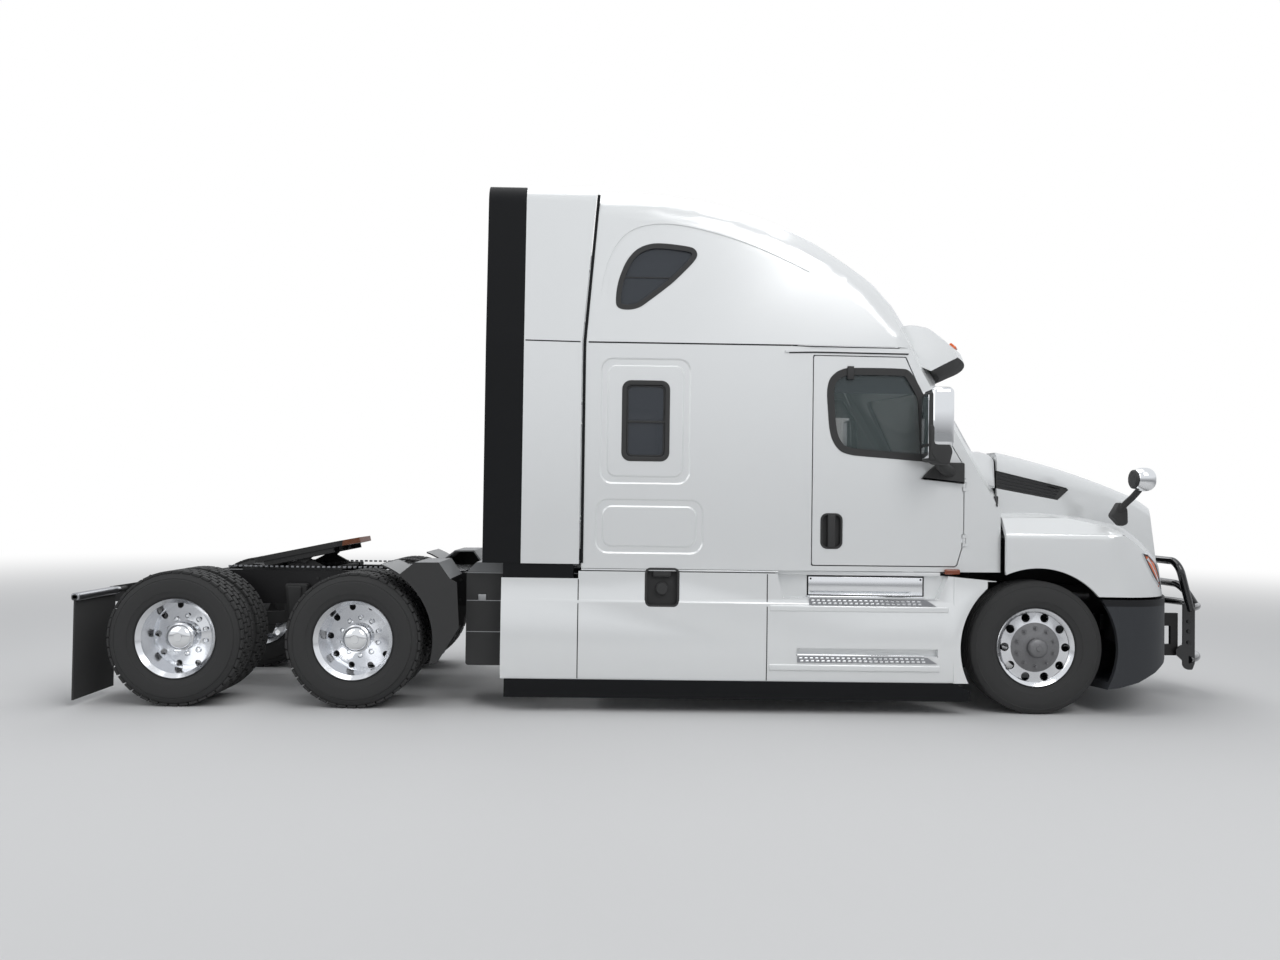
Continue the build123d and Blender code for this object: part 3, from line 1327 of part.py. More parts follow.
# Side skirts with the step recesses
STEP_ZONE_REAR = -1990.0
STEP_ZONE_FRONT = -700.0
PANEL_RECESS = 55.0
SKIRT_LEDGE_UPPER = (763.0, 823.0)
FILLER = (-2828.0, 925.0, 250.0, 285.0, 60.0)
SKIRT_FRONT_TOP = 1040.0
SKIRT_CREASES = ((SKIRT_BOTTOM, 12.0), (410.0, 0.0), (815.0, 0.0), (835.0, 9.0), (SKIRT_FRONT_TOP + 5, 9.0))
RECESS_SLOPE = 28.0
UPPER_TREAD = (-1733.0, -785.0)
LOWER_TREAD = (-1819.0, -774.0)

with BuildPart() as side_skirts:
    for _, side in SIDES:
        with BuildSketch(Plane.XZ.offset(-side * (SKIRT_HALF_WIDTH - SKIRT_WALL))):
            with BuildLine():
                Polyline(
                    (at(SKIRT_REAR), SKIRT_BOTTOM),
                    (at(-400), SKIRT_BOTTOM),
                    (at(-400), 999),
                    (at(-300), 999),
                    (at(-500), SKIRT_FRONT_TOP - 22),
                    (at(-760), SKIRT_FRONT_TOP),
                    (at(SKIRT_JOINTS[0]), SKIRT_FRONT_TOP),
                    (at(SKIRT_JOINTS[0]), SKIRT_TOP),
                    (at(SKIRT_REAR), SKIRT_TOP),
                    close=True,
                )
            make_face()
        extrude(amount=-side * SKIRT_WALL)
        with BuildSketch(Plane.XZ.offset(-side * (SKIRT_HALF_WIDTH - STEP_BLOCK))):
            with BuildLine():
                Polyline(
                    (at(STEP_ZONE_REAR) - 40, SKIRT_BOTTOM),
                    (at(STEP_ZONE_FRONT) + 60, SKIRT_BOTTOM),
                    (at(STEP_ZONE_FRONT) + 60, SKIRT_FRONT_TOP - 10),
                    (at(STEP_ZONE_REAR) - 40, SKIRT_FRONT_TOP - 10),
                    close=True,
                )
            make_face()
        extrude(amount=-side * (STEP_BLOCK - 1))
        with BuildSketch(Plane.XZ.offset(-side * (SKIRT_HALF_WIDTH - STEP_RECESS))):
            add(
                outline(
                    [
                        (at(STEP_ZONE_REAR) + 60, UPPER_STEP_Z),
                        (at(STEP_ZONE_FRONT) - 60, UPPER_STEP_Z),
                        (at(STEP_ZONE_FRONT) + 10, SKIRT_FRONT_TOP + 1),
                        (at(STEP_ZONE_REAR) + 20, SKIRT_FRONT_TOP + 1),
                    ],
                    corner=[20, 20, 0, 0],
                )
            )
        extrude(amount=-side * (STEP_RECESS + 10), mode=Mode.SUBTRACT)
        panel_face = Plane(origin=(0, side * SKIRT_HALF_WIDTH, 0), x_dir=(-side, 0, 0), z_dir=(0, -side, 0))
        with BuildSketch(panel_face):
            add(
                outline(
                    [
                        (-side * (at(STEP_ZONE_REAR) + 20), LOWER_STEP_Z - 10),
                        (-side * (at(STEP_ZONE_FRONT) - 60), LOWER_STEP_Z - 10),
                        (-side * (at(STEP_ZONE_FRONT) + 20), SKIRT_LEDGE_UPPER[0]),
                        (-side * (at(STEP_ZONE_REAR) + 20), SKIRT_LEDGE_UPPER[0]),
                    ],
                    corner=60,
                )
            )
        extrude(amount=PANEL_RECESS, taper=RECESS_SLOPE, mode=Mode.SUBTRACT)
        with BuildSketch(Plane.XZ.offset(-side * (SKIRT_HALF_WIDTH - PANEL_RECESS))):
            with BuildLine():
                Polyline(
                    (at(LOWER_TREAD[0]) - 6, LOWER_STEP_Z),
                    (at(LOWER_TREAD[1]) + 6, LOWER_STEP_Z),
                    (at(LOWER_TREAD[1]) + 6, LOWER_STEP_Z + 60),
                    (at(LOWER_TREAD[0]) - 6, LOWER_STEP_Z + 60),
                    close=True,
                )
            make_face()
        extrude(amount=-side * (PANEL_RECESS + 10), mode=Mode.SUBTRACT)
        with BuildSketch(Plane.YZ.offset(at(SKIRT_REAR) - 10)):
            with BuildLine():
                Polyline(
                    *[(side * (SKIRT_HALF_WIDTH - inset), height) for height, inset in SKIRT_CREASES],
                    (side * (SKIRT_HALF_WIDTH + 20), SKIRT_CREASES[-1][0]),
                    (side * (SKIRT_HALF_WIDTH + 20), SKIRT_BOTTOM),
                    close=True,
                )
            make_face()
        extrude(amount=STEP_ZONE_FRONT + 60 - SKIRT_REAR, mode=Mode.SUBTRACT)
        station, height, width, tall, depth = FILLER
        with BuildSketch(Plane.XZ.offset(-side * (SKIRT_HALF_WIDTH - depth))):
            with Locations((at(station), height)):
                RectangleRounded(width, tall, 40)
        extrude(amount=-side * (depth + 10), mode=Mode.SUBTRACT)
    add(arch_cylinder(), mode=Mode.SUBTRACT)
write(side_skirts, "side_skirts")

DECK_FRONT = -4410.0
DECK_REAR = -5060.0
DECK_THICKNESS = 12.0

with BuildPart() as tread_plates:
    for _, side in SIDES:
        for low, rear, front, depth in (
            (UPPER_STEP_Z, *UPPER_TREAD, STEP_RECESS),
            (LOWER_STEP_Z, *LOWER_TREAD, PANEL_RECESS),
        ):
            with BuildSketch(Plane.XY.offset(low)):
                with Locations(
                    (
                        at((rear + front) / 2),
                        side * (SKIRT_HALF_WIDTH - depth / 2),
                    )
                ):
                    Rectangle(front - rear, depth)
            extrude(amount=8)
        with BuildSketch(Plane.XZ.offset(-side * (SKIRT_HALF_WIDTH - STEP_RECESS))):
            with BuildLine():
                Polyline(
                    (at(-1733), UPPER_STEP_Z),
                    (at(-847), UPPER_STEP_Z),
                    (at(-847), 1014),
                    (at(-1733), 1014),
                    close=True,
                )
            make_face()
        extrude(amount=-side * 6)
    with BuildSketch(Plane.XY.offset(RAIL_TOP)):
        with Locations((at((DECK_FRONT + DECK_REAR) / 2), 0)):
            Rectangle(DECK_FRONT - DECK_REAR, 2 * RAIL_OUTER_Y - 40)
    extrude(amount=DECK_THICKNESS)
write(tread_plates, "tread_plates")


# Hood with its fenders
def nose_plan(front, inset, low, skew_high):
    """The body's front in plan, leaning back as it rises: round nose and round corners."""
    centre = at(front) - inset
    with BuildPart() as nose:
        with BuildSketch(Plane.XY.offset(low)):
            with BuildLine():
                ThreePointArc(
                    (centre - 265, -940 + inset),
                    (centre, 0),
                    (centre - 265, 940 - inset),
                )
                ThreePointArc(
                    (centre - 265, 940 - inset),
                    (centre - 415, 1120 - inset),
                    (centre - 740, FENDER_HALF_WIDTH - inset),
                )
                Polyline(
                    (centre - 740, FENDER_HALF_WIDTH - inset),
                    (at(-1400), FENDER_HALF_WIDTH - inset),
                    (at(-1400), -FENDER_HALF_WIDTH + inset),
                    (centre - 740, -FENDER_HALF_WIDTH + inset),
                )
                ThreePointArc(
                    (centre - 740, -FENDER_HALF_WIDTH + inset),
                    (centre - 415, -1120 + inset),
                    (centre - 265, -940 + inset),
                )
            make_face()
        extrude(amount=1400, dir=(-skew_high, 0, 1))
    return nose.part


def bonnet_mass(inset, low, rear):
    """Middle of the hood, drawn in by the inset, from the height low and the station rear."""
    with BuildPart() as body:
        with BuildSketch(Plane.XZ):
            with BuildLine():
                Polyline((at(1325), 1380 - inset), (at(1325), low), (at(rear), low), (at(rear), 1985 - inset))
                ThreePointArc(
                    (at(rear), 1985 - inset),
                    (at(320), 1860 - inset),
                    (at(930), 1672 - inset),
                )
                ThreePointArc(
                    (at(930), 1672 - inset),
                    (at(1170), 1540 - inset),
                    (at(1325), 1380 - inset),
                )
            make_face()
        extrude(amount=1300, both=True)
        plan_half = [
            (at(1400), 0),
            (at(1400), 560 - inset),
            (at(900), 700 - inset),
            (at(300), 860 - inset),
            (at(HOOD_REAR), BONNET_HALF_WIDTH - inset),
            (at(-700), BONNET_HALF_WIDTH - inset),
            (at(-700), 0),
        ]
        extrude(outline(mirrored(plan_half)), amount=2600, mode=Mode.INTERSECT)
        add(nose_plan(HOOD_FRONT + 300 * NOSE_LEAN, inset, HOOD_BOTTOM - 300, NOSE_LEAN), mode=Mode.INTERSECT)
        edges = body.edges().filter_by(
            lambda e: abs(e.center().Y) > 400 and e.center().Z > 1500 and e.center().X > at(rear) + 60
        )
        fillet(edges, radius=90)
    return body.part


def fender_mass(side, inset, low, rear):
    """One fender, drawn in by the inset, from the height low and the station rear."""
    reach = FENDER_PLANE_Y - FENDER_MEASURED_Y
    back = -FENDER_SKEW * reach
    down = -FENDER_RISE * reach
    with BuildPart() as body:
        with BuildSketch(Plane.XZ.offset(-side * FENDER_PLANE_Y)):
            with BuildLine():
                Polyline(
                    (at(1062) + back - inset, 960),
                    (at(1085) + back - inset, low - 60),
                    (at(rear) + back - 300, low - 60),
                    (at(rear) + back - 300, 1505 + down - inset),
                    (at(rear) + back, 1505 + down - inset),
                )
                ThreePointArc(
                    (at(rear) + back, 1505 + down - inset),
                    (at(250) + back, 1490 + down - inset),
                    (at(690) + back, 1400 + down - inset),
                )
                ThreePointArc(
                    (at(690) + back, 1400 + down - inset),
                    (at(900) + back - 0.7 * inset, 1235 + down - 0.7 * inset),
                    (at(1062) + back - inset, 960),
                )
            make_face()
        extrude(amount=1700, dir=(FENDER_SKEW, -side, FENDER_RISE))
        front_view = outline(
            [
                (side * 30, low),
                (side * (FENDER_HALF_WIDTH + 20 - inset), low),
                (side * (FENDER_HALF_WIDTH + 20 - inset), 1330 - inset),
                (side * (FENDER_HALF_WIDTH - 100 - inset), 1480 - inset),
                (side * 900, 1540 - inset),
                (side * 30, 1560 - inset),
            ],
            corner=[0, 0, FENDER_CORNER, FENDER_CORNER, FENDER_CORNER, 0],
            plane=Plane.YZ.offset(at(rear)),
        )
        extrude(front_view, amount=2600, mode=Mode.INTERSECT)
        add(nose_plan(HOOD_FRONT + 300 * NOSE_LEAN, inset, HOOD_BOTTOM - 300, NOSE_LEAN), mode=Mode.INTERSECT)
    return body.part


def hood_mass(inset, low, rear):
    """Solid of the whole hood, drawn in by the inset."""
    return bonnet_mass(inset, low, rear) + fender_mass(-1, inset, low, rear) + fender_mass(1, inset, low, rear)


def shield_lip(station):
    """X just before the cab's lip under the windshield, at a station of the windshield's base."""
    return at(station) - SHIELD_SLOPE * 40 + MOVING_GAP


VENT = [(-251, 1700), (-251, 1837), (355, 1714), (371, 1697), (276, 1617)]
GRILLE = [(-500, 1010), (500, 1010), (560, 1120), (520, 1400), (-520, 1400), (-560, 1120)]
GRILLE_BARS = 9
GRILLE_BAR_HEIGHT = 16.0
GRILLE_DEPTH = 12.0
LAMP_SIDE = [(792, 1228), (1400, 1228), (1400, 925), (1035, 925), (908, 1032)]
LAMP_INNER_Y = 705.0
HINGE_Y = 186.0
HINGE_THICKNESS = 18.0
HINGE_RADIUS = 16.0
HINGE_LIP = 12.0


def vent_outline(side, inset):
    """Side outline of the hood's side vent, drawn in by the inset."""
    with BuildSketch(Plane.XZ.offset(-side * 800)) as shape:
        add(outline([(at(x), z) for x, z in VENT]))
        offset(amount=-inset, kind=Kind.INTERSECTION)
    return shape.sketch


def grille_outline(inset):
    """Front outline of the grille, drawn in by the inset."""
    with BuildSketch(Plane.YZ.offset(at(1000))) as shape:
        add(outline(GRILLE, corner=60))
        offset(amount=-inset, kind=Kind.INTERSECTION)
    return shape.sketch


def lamp_space(side, inset):
    """Space of one headlamp, drawn in by the inset."""
    with BuildPart() as space:
        with BuildSketch(Plane.XZ.offset(-side * LAMP_INNER_Y)) as shape:
            add(outline([(at(x), z) for x, z in LAMP_SIDE], corner=[8, 0, 0, 14, 14]))
            offset(amount=-inset, kind=Kind.INTERSECTION)
        extrude(amount=-side * 700)
    return space.part


hood_outer = hood_mass(0, HOOD_BOTTOM, HOOD_REAR)
hood_inner = hood_mass(HOOD_WALL, HOOD_BOTTOM - 100, HOOD_REAR - 100)

with BuildPart() as hood:
    add(hood_outer)
    add(hood_inner, mode=Mode.SUBTRACT)
    add(arch_cylinder(), mode=Mode.SUBTRACT)
    with BuildSketch(Plane.XY):
        with BuildLine():
            ThreePointArc(
                (shield_lip(SHIELD_BASE_SIDE), -SLEEPER_HALF_WIDTH),
                (shield_lip(SHIELD_BASE_CENTRE), 0),
                (shield_lip(SHIELD_BASE_SIDE), SLEEPER_HALF_WIDTH),
            )
            Line(
                (shield_lip(SHIELD_BASE_SIDE), SLEEPER_HALF_WIDTH),
                (shield_lip(SHIELD_BASE_SIDE), -SLEEPER_HALF_WIDTH),
            )
        make_face()
    extrude(amount=2600, mode=Mode.SUBTRACT)
    extrude(grille_outline(0), amount=600, mode=Mode.SUBTRACT)
    with BuildSketch(Plane.XY):
        with Locations((at(HOOD_HINGE_STATION) + HINGE_LIP, 0)):
            Rectangle(60, 900, align=(Align.MIN, Align.CENTER))
    extrude(amount=HOOD_HINGE_Z, mode=Mode.SUBTRACT)
    for _, side in SIDES:
        extrude(vent_outline(side, 0), amount=-side * 400, mode=Mode.SUBTRACT)
        add(lamp_space(side, 0), mode=Mode.SUBTRACT)
        with BuildSketch(Plane.XZ.offset(-side * (HINGE_Y - MOVING_GAP))):
            with Locations((at(HOOD_HINGE_STATION), HOOD_HINGE_Z - 20)):
                Rectangle(120, 84)
        notch = HOOD_BRACKET_Y + HOOD_BRACKET_THICKNESS - HINGE_Y + 2 * MOVING_GAP
        extrude(amount=-side * notch, mode=Mode.SUBTRACT)
        with BuildSketch(Plane.XZ.offset(-side * HINGE_Y)):
            with BuildLine():
                Polyline(
                    (at(HOOD_HINGE_STATION) - HINGE_RADIUS, HOOD_HINGE_Z),
                    (at(HOOD_HINGE_STATION) + HINGE_RADIUS, HOOD_HINGE_Z),
                    (at(HOOD_HINGE_STATION) + HINGE_RADIUS, HOOD_HINGE_Z + 30),
                    (at(HOOD_HINGE_STATION) - 10, HOOD_HINGE_Z + 90),
                    (at(HOOD_HINGE_STATION) - 40, HOOD_HINGE_Z + 90),
                    close=True,
                )
            make_face()
            with Locations((at(HOOD_HINGE_STATION), HOOD_HINGE_Z)):
                Circle(HINGE_RADIUS)
                Circle(HOOD_PIN_RADIUS + SEAT_GAP, mode=Mode.SUBTRACT)
        extrude(amount=-side * HINGE_THICKNESS)
write(hood, "hood")

with BuildPart() as hood_grilles:
    add(hood_mass(GRILLE_DEPTH, HOOD_BOTTOM, HOOD_REAR))
    add(hood_inner, mode=Mode.SUBTRACT)
    with BuildPart(mode=Mode.INTERSECT):
        extrude(grille_outline(SEAT_GAP), amount=600)
        for _, side in SIDES:
            extrude(vent_outline(side, SEAT_GAP), amount=-side * 400)
    low = GRILLE[0][1]
    pitch = (GRILLE[3][1] - low) / GRILLE_BARS
    for row in range(GRILLE_BARS):
        with BuildSketch(Plane.YZ.offset(at(1000))):
            with Locations((0, low + (row + 0.5) * pitch)):
                Rectangle(960, pitch - GRILLE_BAR_HEIGHT)
        extrude(amount=600, mode=Mode.SUBTRACT)
write(hood_grilles, "hood_grilles")

with BuildPart() as headlamps:
    add(hood_outer)
    add(hood_inner, mode=Mode.SUBTRACT)
    with BuildPart(mode=Mode.INTERSECT):
        for _, side in SIDES:
            add(lamp_space(side, SEAT_GAP))
write(headlamps, "headlamps")

MIRROR_HEAD = [(672, 1704), (700, 1850), (835, 1842), (848, 1712), (800, 1699)]
MIRROR_ARM = [(600, 1430), (745, 1330), (752, 1560), (720, 1640), (735, 1700), (690, 1712), (668, 1640), (672, 1585)]
MIRROR_FOOT_Y = 1000.0
MIRROR_HEAD_Y = 1170.0
MIRROR_HEAD_WIDTH = 170.0

with BuildPart() as hood_mirrors:
    for _, side in SIDES:
        with BuildSketch(Plane.XZ.offset(-side * MIRROR_FOOT_Y)):
            add(outline([(at(x), z) for x, z in MIRROR_ARM], corner=14))
        extrude(amount=-side * (MIRROR_HEAD_Y + 15 - MIRROR_FOOT_Y))
        with BuildSketch(Plane.XZ.offset(-side * MIRROR_HEAD_Y)):
            add(outline([(at(x), z) for x, z in MIRROR_HEAD], corner=28))
        extrude(amount=-side * MIRROR_HEAD_WIDTH)
        with Locations((0, side * SEAT_GAP, SEAT_GAP)):
            add(hood_outer, mode=Mode.SUBTRACT)
write(hood_mirrors, "hood_mirrors")


# Bumper
BUMPER_CHIN = [(1105, 430), (981, 322), (856, 255), (705, 211), (430, 178)]


def bumper_mass(inset, top, rear):
    """Solid of the bumper cover, drawn in by the inset, up to the height top."""
    reach = FENDER_PLANE_Y - FENDER_MEASURED_Y
    with BuildPart() as body:
        for _, side in SIDES:
            with BuildSketch(Plane.XZ.offset(-side * FENDER_PLANE_Y)):
                shift = at(-BUMPER_SKEW * reach)
                add(
                    outline(
                        [(shift + x - inset, z + inset) for x, z in BUMPER_CHIN]
                        + [
                            (shift + rear - 700, 178 + inset),
                            (shift + rear - 700, top),
                            (shift + 1105 - inset + (top - 430) * 1.3, top),
                        ],
                    )
                )
            extrude(amount=(FENDER_PLANE_Y + 0.2) * sqrt(1 + BUMPER_SKEW**2), dir=(BUMPER_SKEW, -side, 0))
        with BuildSketch(Plane.XY):
            with Locations((at(rear) + 1000, 0)):
                Rectangle(2000, 3000)
        extrude(amount=2000, mode=Mode.INTERSECT)
        add(nose_plan(BUMPER_FRONT, inset, 100, 0), mode=Mode.INTERSECT)
    return body.part


with BuildPart() as bumper:
    add(bumper_mass(0, BUMPER_TOP, BUMPER_SIDE_REAR))
    add(bumper_mass(BUMPER_WALL, BUMPER_TOP + 100, BUMPER_SIDE_REAR - 100), mode=Mode.SUBTRACT)
    add(arch_cylinder(), mode=Mode.SUBTRACT)
    for _, side in SIDES:
        with BuildSketch(Plane.YZ.offset(at(RAIL_FRONT) + SEAT_GAP)):
            with Locations((side * (RAIL_OUTER_Y - 50), RAIL_BOTTOM + 100)):
                Rectangle(60, 60)
        extrude(amount=130)
        with BuildSketch(Plane.XZ.offset(-side * (RAIL_OUTER_Y - MOVING_GAP))):
            for low, high in BRACKET_ARMS:
                with Locations((at(1300), (low + high) / 2)):
                    Rectangle(300, high - low + 2 * MOVING_GAP)
        extrude(amount=-side * (GUARD_BRACKET_THICKNESS + 2 * MOVING_GAP), mode=Mode.SUBTRACT)
write(bumper, "bumper")

# Guard in front of the bumper
GUARD_ARM_HALF = 38.0
GUARD_INNER_Y = GUARD_PLATE_Y - GUARD_PLATE_THICKNESS
HOOP_FOOT_X = (GUARD_PLATE_REAR + GUARD_PLATE_FRONT) / 2 + 18

with BuildPart() as front_guard:
    for _, side in SIDES:
        with BuildSketch(Plane.XZ.offset(-side * GUARD_INNER_Y)):
            add(
                outline(
                    [
                        (at(GUARD_PLATE_REAR), 247),
                        (at(GUARD_PLATE_FRONT) - 20, 247),
                        (at(GUARD_PLATE_FRONT), 300),
                        (at(GUARD_PLATE_FRONT), 790),
                        (at(GUARD_PLATE_REAR), 790),
                        (at(GUARD_PLATE_REAR), GUARD_PIVOT_Z + 70),
                        (at(GUARD_PIVOT_STATION) - GUARD_ARM_HALF, GUARD_PIVOT_Z + 20),
                        (at(GUARD_PIVOT_STATION) - GUARD_ARM_HALF, GUARD_PIVOT_Z - 20),
                        (at(GUARD_PLATE_REAR), GUARD_PIVOT_Z - 70),
                    ],
                    corner=[50, 15, 20, 12, 12, 20, 20, 20, 20],
                )
            )
        extrude(amount=-side * GUARD_PLATE_THICKNESS)
        with BuildSketch(Plane.XZ.offset(-side * (RAIL_OUTER_Y - 6))):
            with Locations((at(GUARD_PIVOT_STATION), GUARD_PIVOT_Z)):
                Circle(GUARD_PIN_RADIUS)
        extrude(amount=-side * (GUARD_PLATE_Y - RAIL_OUTER_Y + 6))
    for height in GUARD_TUBE_HEIGHTS:
        with BuildLine() as bow:
            ThreePointArc(
                (at(HOOP_FOOT_X) - 20, -GUARD_PLATE_Y, height),
                (at(FRONT_REACH) - GUARD_TUBE_RADIUS, 0, height),
                (at(HOOP_FOOT_X) - 20, GUARD_PLATE_Y, height),
            )
        with BuildSketch(Plane(bow.line @ 0, z_dir=bow.line % 0)):
            Circle(GUARD_TUBE_RADIUS)
        sweep(path=bow.line)
    for half, top, foot in (
        (GUARD_PLATE_Y - 8, GUARD_HOOP_TOP, GUARD_TUBE_HEIGHTS[1] - 20),
        (GUARD_INNER_HOOP_Y, GUARD_INNER_HOOP_TOP, GUARD_TUBE_HEIGHTS[1]),
    ):
        plane = Plane(
            origin=(at(HOOP_FOOT_X) + (150 if half < 400 else 0), 0, foot),
            x_dir=(0, 1, 0),
            z_dir=(1, 0, GUARD_LEAN * (2.6 if half < 400 else 1)),
        )
        rise = (top - foot) / plane.y_dir.Z
        with BuildLine(plane) as hoop:
            FilletPolyline(
                (-half, 0),
                (-half, rise),
                (half, rise),
                (half, 0),
                radius=110,
            )
        with BuildSketch(Plane(hoop.line @ 0, z_dir=hoop.line % 0)):
            Circle(GUARD_TUBE_RADIUS)
        sweep(path=hoop.line)
write(front_guard, "front_guard")

# Fifth wheel
FW_TOP = 84.0
FW_TRUNNION_Y = 395.0
FW_TRUNNION_THICKNESS = 26.0
FW_BRACKET_THICKNESS = 34.0
FW_PIN_RADIUS = 20.0
FW_THROAT = 44.0
fw_tilt = radians(FIFTH_WHEEL_REST_TILT)
FW_X = at(FIFTH_WHEEL_STATION)


def fifth_wheel_plane(height):
    """Plane along the tilted top plate, at a height above its pivot."""
    return Plane(
        origin=(FW_X - height * sin(fw_tilt), 0, FIFTH_WHEEL_PIVOT_Z + height * cos(fw_tilt)),
        x_dir=(cos(fw_tilt), 0, sin(fw_tilt)),
        z_dir=(-sin(fw_tilt), 0, cos(fw_tilt)),
    )


half_length = FIFTH_WHEEL_LENGTH / 2
half_width = FIFTH_WHEEL_WIDTH / 2

with BuildPart() as fifth_wheel_plate:
    with BuildSketch(fifth_wheel_plane(FW_TOP - FIFTH_WHEEL_PLATE)):
        add(
            outline(
                [
                    (half_length, -190),
                    (half_length, 190),
                    (half_length - 130, half_width),
                    (-half_length + 60, half_width),
                    (-half_length, half_width - 90),
                    (-half_length, 165),
                    (-120, FW_THROAT / 2),
                    (0, FW_THROAT / 2),
                    (0, -FW_THROAT / 2),
                    (-120, -FW_THROAT / 2),
                    (-half_length, -165),
                    (-half_length, -half_width + 90),
                    (-half_length + 60, -half_width),
                    (half_length - 130, -half_width),
                ],
                corner=[60, 60, 60, 30, 30, 20, 40, 0, 0, 40, 20, 30, 30, 60],
            )
        )
        Circle(KINGPIN_JAW_RADIUS, mode=Mode.SUBTRACT)
    extrude(amount=FIFTH_WHEEL_PLATE)
    with BuildSketch(fifth_wheel_plane(FW_TOP - FIFTH_WHEEL_PLATE - 40)):
        for _, side in SIDES:
            with Locations((-30, side * (half_width - 20))):
                Rectangle(FIFTH_WHEEL_LENGTH - 260, 24)
            with Locations((-60, side * 150)):
                Rectangle(FIFTH_WHEEL_LENGTH - 260, 24)
        with Locations((180, 0)):
            Rectangle(24, 2 * FW_TRUNNION_Y - 2 * FW_BRACKET_THICKNESS - 40)
    extrude(amount=40)
    for _, side in SIDES:
        with BuildSketch(Plane.XZ.offset(-side * FW_TRUNNION_Y)):
            with BuildLine():
                Polyline(
                    (FW_X - 110, FIFTH_WHEEL_PIVOT_Z + 20),
                    (FW_X - 34, FIFTH_WHEEL_PIVOT_Z - 20),
                    (FW_X + 34, FIFTH_WHEEL_PIVOT_Z - 20),
                    (FW_X + 110, FIFTH_WHEEL_PIVOT_Z + 60),
                    close=True,
                )
            make_face()
            with Locations((FW_X, FIFTH_WHEEL_PIVOT_Z)):
                Circle(36)
                Circle(FW_PIN_RADIUS + SEAT_GAP, mode=Mode.SUBTRACT)
        extrude(amount=-side * FW_TRUNNION_THICKNESS)
write(fifth_wheel_plate, "fifth_wheel_plate")

SLIDE_Y = 350.0
SLIDE_HALF = 60.0
SLIDE_HEIGHT = 26.0
TEETH = 12
TOOTH_PITCH = 58.0

with BuildPart() as fifth_wheel_base:
    for _, side in SIDES:
        with BuildSketch(Plane.XY.offset(RAIL_TOP)):
            with Locations((FW_X - 110, side * SLIDE_Y)):
                Rectangle(780, 2 * SLIDE_HALF)
                with GridLocations(TOOTH_PITCH, 1, TEETH, 1):
                    with Locations((0, -side * SLIDE_HALF)):
                        Rectangle(TOOTH_PITCH / 2, 24, mode=Mode.SUBTRACT)
        extrude(amount=SLIDE_HEIGHT)
        bracket_y = FW_TRUNNION_Y - FW_BRACKET_THICKNESS - 3
        with BuildSketch(Plane.XZ.offset(-side * bracket_y)):
            with BuildLine():
                Polyline(
                    (FW_X - 170, RAIL_TOP + SLIDE_HEIGHT - 1),
                    (FW_X + 170, RAIL_TOP + SLIDE_HEIGHT - 1),
                    (FW_X + 32, FIFTH_WHEEL_PIVOT_Z),
                    (FW_X - 32, FIFTH_WHEEL_PIVOT_Z),
                    close=True,
                )
            make_face()
            with Locations((FW_X, FIFTH_WHEEL_PIVOT_Z)):
                Circle(32)
        extrude(amount=-side * FW_BRACKET_THICKNESS)
        with BuildSketch(Plane.XZ.offset(-side * bracket_y)):
            with Locations((FW_X, FIFTH_WHEEL_PIVOT_Z)):
                Circle(FW_PIN_RADIUS)
        extrude(amount=-side * (FW_BRACKET_THICKNESS + 3 + FW_TRUNNION_THICKNESS))
    with BuildSketch(Plane.XY.offset(RAIL_TOP)):
        for station in (FW_X - 420, FW_X + 230):
            with Locations((station, 0)):
                Rectangle(80, 2 * SLIDE_Y)
    extrude(amount=SLIDE_HEIGHT - 6)
write(fifth_wheel_base, "fifth_wheel_base")

# Quarter fenders before the drive wheels, and mud flaps behind them
QUARTER_RADIUS = 592.0
QUARTER_THICKNESS = 12.0
QUARTER_INNER_Y = 600.0
QUARTER_OUTER_Y = 1212.0
QUARTER_CAP_INNER_Y = 640.0
QUARTER_FACE = (
    (-4653.0, 342.0),
    (-4489.0, 344.0),
    (-4330.0, 606.0),
    (-4351.0, 941.0),
    (-4400.0, 968.0),
    (-4487.0, 1089.0),
    (-4666.0, 1087.0),
    (-4790.0, 985.0),
)
QUARTER_CAP_UNDER = ((-4783.0, 973.0), (-4661.0, 1075.0), (-4494.0, 1077.0), (-4412.0, 962.0))
FLAP_STATION = -7150.0
FLAP_INNER_Y = 612.0
FLAP_OUTER_Y = 1222.0
FLAP_BOTTOM = 45.0
HANGER_Z = 800.0
HANGER_RADIUS = 22.0

